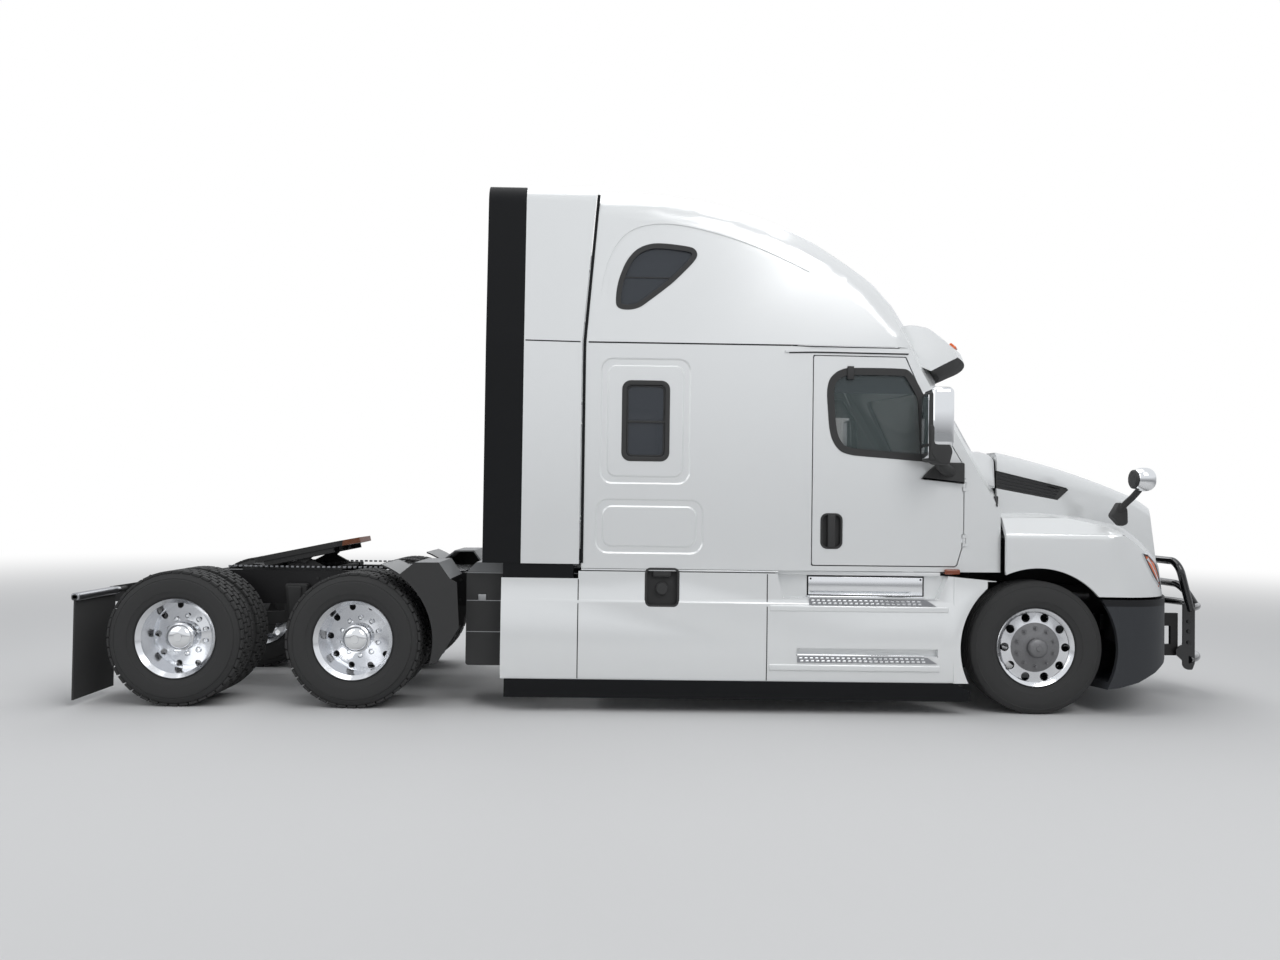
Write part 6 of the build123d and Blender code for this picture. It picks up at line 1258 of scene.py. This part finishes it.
@dataclass
class Mirrors:
    """Door mirrors in bright shells and the oval mirrors on the hood's fenders."""

    door_head: Box = ((-0.918, 1.272, 1.880), (-0.850, 1.476, 2.392))
    door_shell: Box = ((-0.902, 1.256, 1.985), (-0.732, 1.489, 2.426))
    door_glass: Box = ((-0.922, 1.290, 2.010), (-0.914, 1.458, 2.368))
    door_wide_glass: Box = ((-0.922, 1.290, 1.905), (-0.914, 1.458, 1.990))
    wedge: tuple[Flat, ...] = (
        (-0.915, 2.160), (-0.905, 1.935), (-0.850, 1.866), (-0.770, 1.858), (-0.745, 1.960), (-0.800, 2.080),
    )
    door_foot: tuple[Flat, ...] = (
        (-0.886, 1.760), (-0.562, 1.727), (-0.562, 1.886), (-0.750, 1.888), (-0.815, 1.840),
    )
    door_arm: tuple[Point, ...] = (
        (-0.670, 1.170, 1.815), (-0.720, 1.220, 1.835), (-0.780, 1.300, 1.865), (-0.820, 1.360, 1.930),
    )
    hood_shell: Box = ((0.672, 1.172, 1.690), (0.838, 1.340, 1.866))
    hood_glass_at: Point = (0.667, 1.256, 1.778)
    hood_foot: tuple[Flat, ...] = ((0.613, 1.500), (0.690, 1.420), (0.742, 1.440), (0.738, 1.560), (0.680, 1.612))
    hood_arm: tuple[Point, ...] = (
        (0.668, 1.03, 1.520), (0.700, 1.075, 1.590), (0.735, 1.150, 1.650), (0.745, 1.235, 1.715),
    )
    hood_glass: tuple[Flat, ...] = ((0.0, 0.0), (0.062, 0.002), (0.070, 0.008), (0.072, 0.020))

    def _door(self, name: str, side: float) -> None:
        """Makes one door mirror.

        Args:
            name: Name of the side.
            side: Which side of the truck.
        """
        body = f"door_{name}"
        form = Form().box(self.door_head, 0.024, 4)
        form.plate(stations(self.wedge), 1.262, 1.482, (0.03, 0.03, 0.03, 0.02, 0.02, 0.03), edge=0.010)
        form.plate(stations(self.door_foot), 1.146, 1.192, (0.004, 0.006, 0.014, 0.03, 0.03), edge=0.012)
        form.on_side(side)
        black = form.piece(f"door_mirror_body_{name}", Finish.BLACK_PLASTIC, body)
        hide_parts(f"door_mirror_{name}")
        points = [(at(station), side * y, z) for station, y, z in self.door_arm]
        hose(f"door_mirror_arm_{name}", points, 0.046, Finish.BLACK_PLASTIC, body)
        form = Form().box(self.door_shell, 0.042, 5).on_side(side)
        form.piece(f"door_mirror_shell_{name}", Finish.CHROME, body)
        form = Form().box(self.door_glass, 0.003).box(self.door_wide_glass, 0.003).on_side(side)
        form.piece(f"door_mirror_glass_{name}", Finish.CHROME, body)

    def _hood(self) -> None:
        """Makes the two mirrors on the hood."""
        form = Form().box(self.hood_shell, 0.074, 7).both_sides()
        form.piece("hood_mirror_shells", Finish.CHROME, "hood", smooth=60.0)
        form = Form().plate(stations(self.hood_foot), 0.985, 1.058, 0.020, edge=0.012)
        station, y, z = self.hood_glass_at
        form.turned(self.hood_glass, (at(station), y, z), FORWARDS, 28).both_sides()
        black = form.piece("hood_mirror_feet", Finish.BLACK_PLASTIC, "hood")
        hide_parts("hood_mirrors")
        for name, side in SIDES.items():
            points = [(at(station), side * y, z) for station, y, z in self.hood_arm]
            hose(f"hood_mirror_arm_{name}", points, 0.024, Finish.BLACK_PLASTIC, "hood")

    def build(self) -> None:
        """Makes the four mirrors."""
        for name, side in SIDES.items():
            self._door(name, side)
        self._hood()


@dataclass
class HoodFittings:
    """What lies on the hood: vent louvres, lamp markers, the screen, latches and the cowl's shoulders beside it."""

    vent: tuple[Flat, ...] = ((-0.251, 1.837), (0.363, 1.712), (0.371, 1.697), (0.276, 1.617), (-0.250, 1.700))
    louvres: tuple[float, ...] = (0.20, 0.40, 0.60, 0.80)
    marker: tuple[Flat, ...] = (
        (0.792, 1.226), (0.845, 1.222), (0.893, 1.203), (0.940, 1.165), (0.977, 1.121), (1.003, 1.065),
        (1.021, 1.005), (1.034, 0.945), (1.012, 0.950), (0.965, 0.985), (0.911, 1.035), (0.860, 1.105),
        (0.815, 1.180),
    )
    shoulder: tuple[Flat, ...] = (
        (-0.528, 1.728), (-0.262, 1.700), (-0.262, 1.925), (-0.300, 1.962), (-0.420, 1.985), (-0.500, 1.960),
    )
    latch: Box = ((-0.300, -0.004, 1.560), (-0.240, 0.020, 1.640))
    screen_low: float = 1.012
    screen_high: float = 1.398
    screen_half: float = 0.490
    bars_low: float = 1.010
    bars_height: float = 0.390
    bars: int = 9
    columns: int = 16

    def _vents(self) -> None:
        """Makes the louvres that fan out in the side vents."""
        form = Form()
        rear_high, front_high, _, front_low, rear_low = self.vent

        def louvre_end(share: float, along: float) -> Flat:
            """An end of a louvre.

            Args:
                share: How far up it lies between the vent's lower and upper edges.
                along: How far it lies from the vent's rear end.

            Returns:
                Its X and Z.
            """
            x = rear_high[0] + along
            low, high = (
                rear[1] + (front[1] - rear[1]) * (x - rear[0]) / (front[0] - rear[0])
                for rear, front in ((rear_low, front_low), (rear_high, front_high))
            )
            return at(x), low + (high - low) * share

        for share in self.louvres:
            ends = [louvre_end(share, along) for along in (0.016, 0.495 + 0.072 * share)]
            form.strip(ends, 0.010, -0.008, 0.004, 20)
        form.shaped(Skin("hood", "hood_grilles").lay).both_sides()
        form.piece("hood_vent_louvres", Finish.BLACK_GLOSS, "hood")

    def _markers(self) -> None:
        """Makes the leaf-shaped amber lamps at the headlamps' sides, in dark and bright rims."""
        skin = Skin("hood", "headlamps")
        for name, grow, width, high, finish in (
            ("headlamp_rims", 0.0, 0.009, 0.007, Finish.CHROME),
            ("headlamp_surrounds", -0.016, 0.012, 0.006, Finish.BLACK_PLASTIC),
            ("headlamp_markers", -0.024, 0.040, 0.005, Finish.AMBER),
        ):
            form = Form().band(smooth_loop(self.marker, grow), width, -0.006, high)
            form.shaped(skin.lay).both_sides().piece(name, finish, "hood")

    def _screen(self) -> None:
        """Makes the dark screen behind the grille's bars."""
        tree = Skin("hood", "hood_grilles").tree
        half = self.screen_half
        form = Form().block((-0.001, -half, self.screen_low), (0.001, half, self.screen_high))
        for row in range(1, self.bars):
            form.cut((0.0, 0.0, self.bars_low + self.bars_height * row / self.bars), UPWARDS)
        for column in range(1, self.columns):
            form.cut((0.0, half * (2 * column / self.columns - 1), 0.0), LEFTWARDS)

        def behind(co: Vector) -> Vector:
            """Moves a point to 6 mm behind what stands before it."""
            hit = tree.ray_cast(Vector((3.80, co.y, co.z)), Vector(FORWARDS), 0.4)[0]
            return Vector(((hit.x if hit else 3.90) - 0.006 + co.x, co.y, co.z))

        form.shaped(behind).piece("grille_screen", Finish.BLACK_PLASTIC, "hood", smooth=50.0)

    def _shoulders(self) -> None:
        """Makes the white shoulders of the cowl between the doors and the hood."""
        form = Form()
        form.plate(stations(self.shoulder), -0.110, 0.0, (0.012, 0.012, 0.02, 0.03, 0.03, 0.03), edge=0.014)

        def outer(co: Vector) -> Vector:
            """Slants the plate inwards towards the front and the top.

            Args:
                co: A point as drawn, with Y counted from the outer face.

            Returns:
                Its place on the left shoulder.
            """
            station = co.x - FRONT_AXLE_X
            face = 1.150 - (station + 0.545) * 0.56 - max(0.0, co.z - 1.85) * 0.45
            return Vector((co.x, face + co.y, co.z))

        form.shaped(outer).both_sides().piece("cowl_shoulders", Finish.WHITE, smooth=50.0)

    def build(self) -> None:
        """Makes everything on and beside the hood."""
        self._vents()
        self._markers()
        self._shoulders()
        self._screen()
        form = Form().box(self.latch, 0.008, 3)
        form.shaped(Skin("hood", "cab_shell").lay).both_sides()
        form.piece("hood_latches", Finish.BLACK_PLASTIC)


@dataclass
class EngineBay:
    """What shows on the engine when the hood is open."""

    rear: float = 2.51
    front: float = 3.50
    top: float = 1.50
    side: float = 0.42
    radiator_rear: float = 3.67
    cylinders: int = 6
    cover_half: float = 0.17
    port_z: float = 1.330
    pipe_out: float = 0.055
    pan: Flat = (0.800, 0.860)
    filter_y: float = 0.600
    filter_z: float = 1.270
    fan_z: float = 1.190
    fan_radius: float = 0.300

    def _head(self) -> None:
        """Makes the cylinder cover with its caps, and the manifolds with the pan's rails."""
        rear, front, top, half = self.rear, self.front, self.top, self.cover_half
        form = Form().block((rear + 0.06, -half, top - 0.01), (front - 0.06, half, top + 0.095), 0.035, 3)
        form.piece("cylinder_cover", Finish.CAST, smooth=30.0)
        caps, manifold = Form(), Form()
        pitch = (front - rear - 0.16) / self.cylinders
        out, port = self.side + self.pipe_out, self.port_z
        for number in range(self.cylinders):
            x = rear + 0.08 + (number + 0.5) * pitch
            caps.block((x - 0.050, -0.115, top + 0.088), (x + 0.050, 0.115, top + 0.108), 0.008)
            for side in (-1.0, 1.0):
                caps.rod((x, side * 0.140, top + 0.085), (x, side * 0.140, top + 0.110), 0.012, 12)
                manifold.rod((x, side * (self.side - 0.02), port), (x, side * out, port), 0.034)
        caps.piece("cylinder_cover_caps", Finish.FRAME, smooth=30.0)
        low, high = self.pan
        for side in (-1.0, 1.0):
            manifold.rod((rear + 0.07, side * out, port), (front - 0.05, side * out, port), 0.045, 20)
            y = side * (self.side + 0.010)
            manifold.block((rear + 0.05, y - 0.02, low), (front - 0.04, y + 0.02, high), 0.008)
        manifold.piece("engine_manifolds", Finish.TANK, smooth=40.0)

    def build(self) -> None:
        """Makes the head, the filter, the fan ring and the pipes."""
        self._head()
        rear, front, top, y, z = self.rear, self.front, self.top, self.filter_y, self.filter_z
        form = Form().rod((rear + 0.18, y, z), (rear + 0.68, y, z), 0.125, 40)
        form.rod((rear + 0.15, y, z), (rear + 0.19, y, z), 0.135, 40)
        form.piece("air_filter", Finish.BLACK_PLASTIC, smooth=40.0)
        form = Form()
        form.rod((front + 0.055, 0.0, self.fan_z), (self.radiator_rear + 0.002, 0.0, self.fan_z), self.fan_radius, 48)
        form.piece("fan_ring", Finish.BLACK_PLASTIC, smooth=40.0)
        hose("upper_radiator_hose", [
            (front - 0.060, 0.280, top - 0.03), (front - 0.040, 0.285, top + 0.075),
            (front + 0.090, 0.300, top + 0.060), (self.radiator_rear + 0.004, 0.310, top - 0.070),
        ], 0.034, Finish.RUBBER)
        hose("filter_pipe", [
            (rear + 0.660, y, z), (rear + 0.780, y, z + 0.005), (rear + 0.840, y - 0.040, z + 0.060),
            (rear + 0.830, y - 0.160, z + 0.170), (rear + 0.800, y - 0.260, z + 0.210),
        ], 0.050, Finish.RUBBER)


@dataclass
class RoofLamps:
    """Clearance lamps along the visor's slope."""

    brow_station: float = -0.165
    brow_lean: float = 0.565
    brow_rise: float = 0.772
    sweep: float = 2.1483
    foot_z: float = 2.786
    slope_degrees: float = 41.0
    spread_degrees: float = 12.0
    count: int = 5

    def build(self) -> None:
        """Makes the lamps in a row that follows the visor's sweep."""
        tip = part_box("sun_visor")[1].x
        middle_x = at(self.brow_station) - self.brow_lean * self.brow_rise - self.sweep
        form, z = Form(), self.foot_z
        for number in range(self.count):
            lamp = Form().block((tip - 0.105, -0.055, z), (tip - 0.045, 0.055, z + 0.020), 0.009, 3)
            lamp.turn(math.radians(self.slope_degrees), LEFTWARDS, (tip - 0.075, 0, z))
            angle = math.radians(self.spread_degrees * (number - (self.count - 1) / 2))
            form.join(lamp.turn(angle, UPWARDS, (middle_x, 0, 0)))
        form.piece("clearance_lamps", Finish.AMBER)


@dataclass
class RearFittings:
    """Mud flap clamps, rail bolts, hanger brackets, slide rail teeth, the power unit's trim and the guard's bolts."""

    clamp: Box = ((-7.182, 0.612, 0.772), (-7.116, 1.222, 0.830))
    clamp_bar: Flat = (-7.150, 0.800)
    rail_y: float = 0.430
    bolt_pitch: float = 0.085
    bolt_rows: tuple[Flat, ...] = ((-6.95, -6.30), (-5.60, -5.10), (-4.95, -4.10))
    bolt_heights: Flat = (0.74, 0.90)
    bracket: tuple[Flat, ...] = ((-5.840, 0.860), (-5.660, 0.860), (-5.690, 0.520), (-5.800, 0.520))
    bracket_rib: tuple[Flat, ...] = ((-5.815, 0.840), (-5.700, 0.840), (-5.715, 0.560), (-5.785, 0.560))
    rail_tooth: Box = ((-6.32, 0.436, 0.985), (-6.295, 0.452, 1.000))
    tooth_pitch: float = 0.042
    teeth: int = 30
    unit_y: float = -1.058
    unit_ends: Flat = (-4.296, -3.704)
    unit_lines: tuple[float, ...] = (0.560, 0.795, 1.004)
    unit_latches: Flat = (-4.180, -3.820)
    guard_station: float = 1.515
    guard_heights: tuple[float, ...] = (0.470, 0.560, 0.640)

    def _frame(self) -> None:
        """Makes the fittings on the frame rails."""
        x, z = at(self.clamp_bar[0]), self.clamp_bar[1]
        form = Form().box(self.clamp, 0.018, 3).rod((x, 0.560, z), (x, 0.640, z), 0.026, 24)
        form.both_sides().piece("mud_flap_clamps", Finish.TREAD)
        form, y = Form(), self.rail_y
        for first, last in self.bolt_rows:
            row = Form()
            for height in self.bolt_heights:
                row.rod((at(first), y, height), (at(first), y + 0.014, height), 0.013, 6)
            form.join(row.along(int((last - first) / self.bolt_pitch) + 1, (self.bolt_pitch, 0, 0)))
        form.both_sides().piece("rail_bolts", Finish.CAST, slot="black_frame")
        form = Form().plate(stations(self.bracket), 0.446, 0.520, 0.02, edge=0.008)
        form.plate(stations(self.bracket_rib), 0.520, 0.545, 0.015, edge=0.006)
        form.both_sides().piece("hanger_brackets", Finish.CAST)
        teeth = Form().box(self.rail_tooth, 0.002, 1).along(self.teeth, (self.tooth_pitch, 0, 0)).both_sides()
        teeth.piece("slide_rail_teeth", Finish.TREAD)

    def build(self) -> None:
        """Makes the fittings at the rear, on the frame and on the guard."""
        self._frame()
        form, y = Form(), self.unit_y
        rear, front = self.unit_ends
        for height in self.unit_lines:
            form.box(((rear, y - 0.0045, height), (front, y, height + 0.005)))
        for station in self.unit_latches:
            form.box(((station - 0.030, y - 0.010, 0.800), (station + 0.030, y, 0.845)), 0.004)
        form.piece("power_unit_trim", Finish.TANK, slot="tank_metal")
        form, x = Form(), at(self.guard_station)
        for height in self.guard_heights:
            form.rod((x, 0.499, height), (x, 0.512, height), 0.016, 6)
        form.both_sides().piece("guard_bolts", Finish.CAST, "front_guard")


@dataclass
class Cabin:
    """Cushions, bases and arm rests of the two seats."""

    seat_x: float = FRONT_AXLE_X - 1.330
    seat_y: float = 0.520
    floor: float = 1.122
    crown: float = 0.55
    draw_in: float = 0.045
    side_swell: float = 0.6

    def _cushion(self, name: str, low: Point, high: Point, lean: float, about: Point, puff: float) -> None:
        """Makes one crowned cushion, drawn in at its corners.

        Args:
            name: The piece's name.
            low: Lowest corner.
            high: Highest corner.
            lean: Turn about Y, in radians.
            about: Where it turns.
            puff: How far its faces swell in their middle.
        """
        form = Form().block(low, high)
        bmesh.ops.subdivide_edges(form.bm, edges=form.bm.edges[:], cuts=9, use_grid_fill=True)
        middle = [(a + b) / 2 for a, b in zip(low, high)]
        half = [(b - a) / 2 for a, b in zip(low, high)]
        for vert in form.bm.verts:
            unit = [(vert.co[i] - middle[i]) / half[i] for i in range(3)]
            crown = [math.prod(1.0 - self.crown * unit[j] ** 2 for j in range(3) if j != i) for i in range(3)]
            pull = 1.0 - self.draw_in * max(0.0, sum(u ** 6 for u in unit) - 1.0)
            for i in range(3):
                swell = puff * unit[i] * crown[i] * (1.0 if abs(unit[i]) > 0.99 else self.side_swell)
                vert.co[i] = middle[i] + unit[i] * (half[i] - puff) * pull + swell
        thing = form.turn(lean, LEFTWARDS, about).piece(name, Finish.CLOTH, smooth=80.0)

    def build(self) -> None:
        """Makes the two seats."""
        def spot(y: float, offset: Point) -> Point:
            """A place near the seat whose middle lies at y, from its offset over the floor."""
            return self.seat_x + offset[0], y + offset[1], self.floor + offset[2]

        for name, side in SIDES.items():
            y = side * self.seat_y
            for part, low, high, lean, about, puff in (
                ("seat_cushion", (-0.235, -0.245, 0.335), (0.275, 0.245, 0.445), -0.04, (0.0, 0.0, 0.39), 0.018),
                ("seat_back", (-0.245, -0.240, 0.455), (-0.125, 0.240, 1.050), -0.12, (-0.18, 0.0, 0.45), 0.018),
                ("head_rest", (-0.310, -0.130, 1.075), (-0.235, 0.130, 1.240), -0.05, (-0.27, 0.0, 1.15), 0.012),
            ):
                self._cushion(f"{part}_{name}", spot(y, low), spot(y, high), lean, spot(y, about), puff)
        form = Form()
        for side in (-1.0, 1.0):
            for low, high, round_by, segments in (
                ((-0.180, -0.145, 0.001), (0.180, 0.145, 0.325), 0.02, 2),
                ((-0.275, -0.012, 1.0), (-0.255, 0.012, 1.10), 0.004, 1),
                ((-0.20, -0.275, 0.42), (0.10, -0.250, 0.62), 0.012, 2),
            ):
                y = side * self.seat_y
                form.block(spot(y, low), spot(y, high), round_by, segments)
        base = form.piece("seat_bases", Finish.TRIM)
        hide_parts("seats")


@dataclass
class Studio:
    """Floor, light, background and camera."""

    camera_at: Point = (-0.3897, -8.9549, 1.5713)
    yaw: float = 0.0164
    pitch: float = 0.0194
    roll: float = 0.0139
    focal_px: float = 1040.0
    width_px: float = 1280.0
    sensor_mm: float = 36.0
    paper: Point = (0.68, 0.68, 0.68)
    fade_from: float = 6.0
    fade_to: float = 24.0
    aim: Point = (0.0, 0.0, 1.2)
    soft_boxes: dict[str, tuple[Point, float, float]] = field(default_factory=lambda: {
        "key": ((4.5, -9.5, 9.0), 400.0, 6.0), "fill": ((-8.0, -6.0, 6.0), 130.0, 7.0),
        "far": ((0.0, 9.0, 8.0), 300.0, 8.0), "top": ((0.0, 0.0, 11.5), 420.0, 9.0),
    })
    ramp: tuple[tuple[float, Point], ...] = ((0.46, (0.16, 0.16, 0.17)), (0.56, (0.92, 0.94, 0.97)))
    mirrored: float = 0.9
    ambient: Point = (0.93, 0.96, 1.0)
    ambient_strength: float = 0.42

    def _floor(self) -> None:
        """Lays the pale floor, which fades into the background."""
        form = Form()
        bmesh.ops.create_grid(form.bm, x_segments=1, y_segments=1, size=60.0)
        mesh = bpy.data.meshes.new("studio_floor")
        form.bm.to_mesh(mesh)
        form.bm.free()
        floor = bpy.data.objects.new("studio_floor", mesh)
        bpy.context.scene.collection.objects.link(floor)
        made = bpy.data.materials.new("floor_paper")
        nodes = Nodes(made)
        shader = made.node_tree.nodes["Principled BSDF"]
        nodes.feed(shader, {"Base Color": (*self.paper, 1.0), "Roughness": 0.9})
        reach = nodes.add("VectorMath", {0: nodes.add("TexCoord", {}, "Object")}, "Value", operation="LENGTH")
        fade = nodes.add("MapRange", {
            "Value": reach, "From Min": self.fade_from, "From Max": self.fade_to,
        }, interpolation_type="SMOOTHSTEP")
        seen = nodes.add("Math", {0: nodes.add("LightPath", {}, "Is Camera Ray"), 1: fade}, operation="MULTIPLY")
        mix = nodes.add("MixShader", {"Fac": seen, 1: shader.outputs["BSDF"], 2: nodes.add("Emission", {})})
        nodes.feed(made.node_tree.nodes["Material Output"], {"Surface": mix})
        floor.data.materials.append(made)

    def _light(self) -> None:
        """Hangs the soft boxes."""
        for name, (place, energy, size) in self.soft_boxes.items():
            data = bpy.data.lights.new(name, "AREA")
            data.energy = energy
            data.size = size
            lamp = bpy.data.objects.new(name, data)
            lamp.location = place
            lamp.rotation_euler = (Vector(self.aim) - Vector(place)).to_track_quat("-Z", "Y").to_euler()
            bpy.context.scene.collection.objects.link(lamp)

    def _world(self) -> None:
        """A white background for the eye and through glass, a ramp for metal, and a dimmer one for light."""
        world = bpy.data.worlds.new("studio")
        bpy.context.scene.world = world
        nodes = Nodes(world)
        nodes.tree.nodes.clear()
        rays = [nodes.add("LightPath", {}, f"Is {kind} Ray") for kind in ("Camera", "Transmission", "Glossy")]
        seen = nodes.add("Math", {0: rays[0], 1: rays[1]}, operation="MAXIMUM")
        height = nodes.add("SeparateXYZ", {"Vector": nodes.add("TexCoord", {}, "Generated")}, "Z")
        sky = nodes.add("ValToRGB", {"Fac": nodes.add("MapRange", {"Value": height, "From Min": -1.0})})
        for stop, (position, colour) in zip(sky.node.color_ramp.elements, self.ramp):
            stop.position = position
            stop.color = (*colour, 1.0)
        glossy = nodes.add("Background", {"Color": sky, "Strength": self.mirrored})
        white = nodes.add("Background", {"Color": (1.0, 1.0, 1.0, 1.0)})
        dim = nodes.add("Background", {"Color": (*self.ambient, 1.0), "Strength": self.ambient_strength})
        inner = nodes.add("MixShader", {"Fac": rays[2], 1: dim, 2: glossy})
        outer = nodes.add("MixShader", {"Fac": seen, 1: inner, 2: white})
        nodes.add("OutputWorld", {"Surface": outer})

    def _camera(self) -> None:
        """Stands the camera where the photograph was taken."""
        data = bpy.data.cameras.new("photo_camera")
        data.sensor_width = self.sensor_mm
        data.lens = self.sensor_mm * self.focal_px / self.width_px
        data.clip_end = 200.0
        camera = bpy.data.objects.new("photo_camera", data)
        bpy.context.scene.collection.objects.link(camera)
        sin, cos = math.sin, math.cos
        forward = Vector((sin(self.yaw) * cos(self.pitch), cos(self.yaw) * cos(self.pitch), sin(self.pitch)))
        right = Vector((cos(self.yaw), -sin(self.yaw), 0.0))
        up = right.cross(forward)
        turned_right = right * cos(self.roll) + up * sin(self.roll)
        turned_up = up * cos(self.roll) - right * sin(self.roll)
        turn = Matrix((turned_right, turned_up, -forward)).transposed().to_4x4()
        camera.matrix_world = Matrix.Translation(self.camera_at) @ turn
        bpy.context.scene.camera = camera

    def build(self) -> None:
        """Makes the whole studio."""
        self._floor()
        self._light()
        self._world()
        self._camera()
        bpy.context.scene.view_settings.view_transform = "Standard"


def main() -> None:
    """Builds the studio and dresses the tractor."""
    logging.basicConfig(level=logging.INFO, format="%(name)s %(message)s")
    for part in (Studio(), Tyres(), WheelFittings(), CabSides(), Skirts(), Mirrors(), HoodFittings(), EngineBay(),
                 RoofLamps(), RearFittings(), Cabin()):
        part.build()
    SolidPanels().dress()


if __name__ == "__main__":
    main()
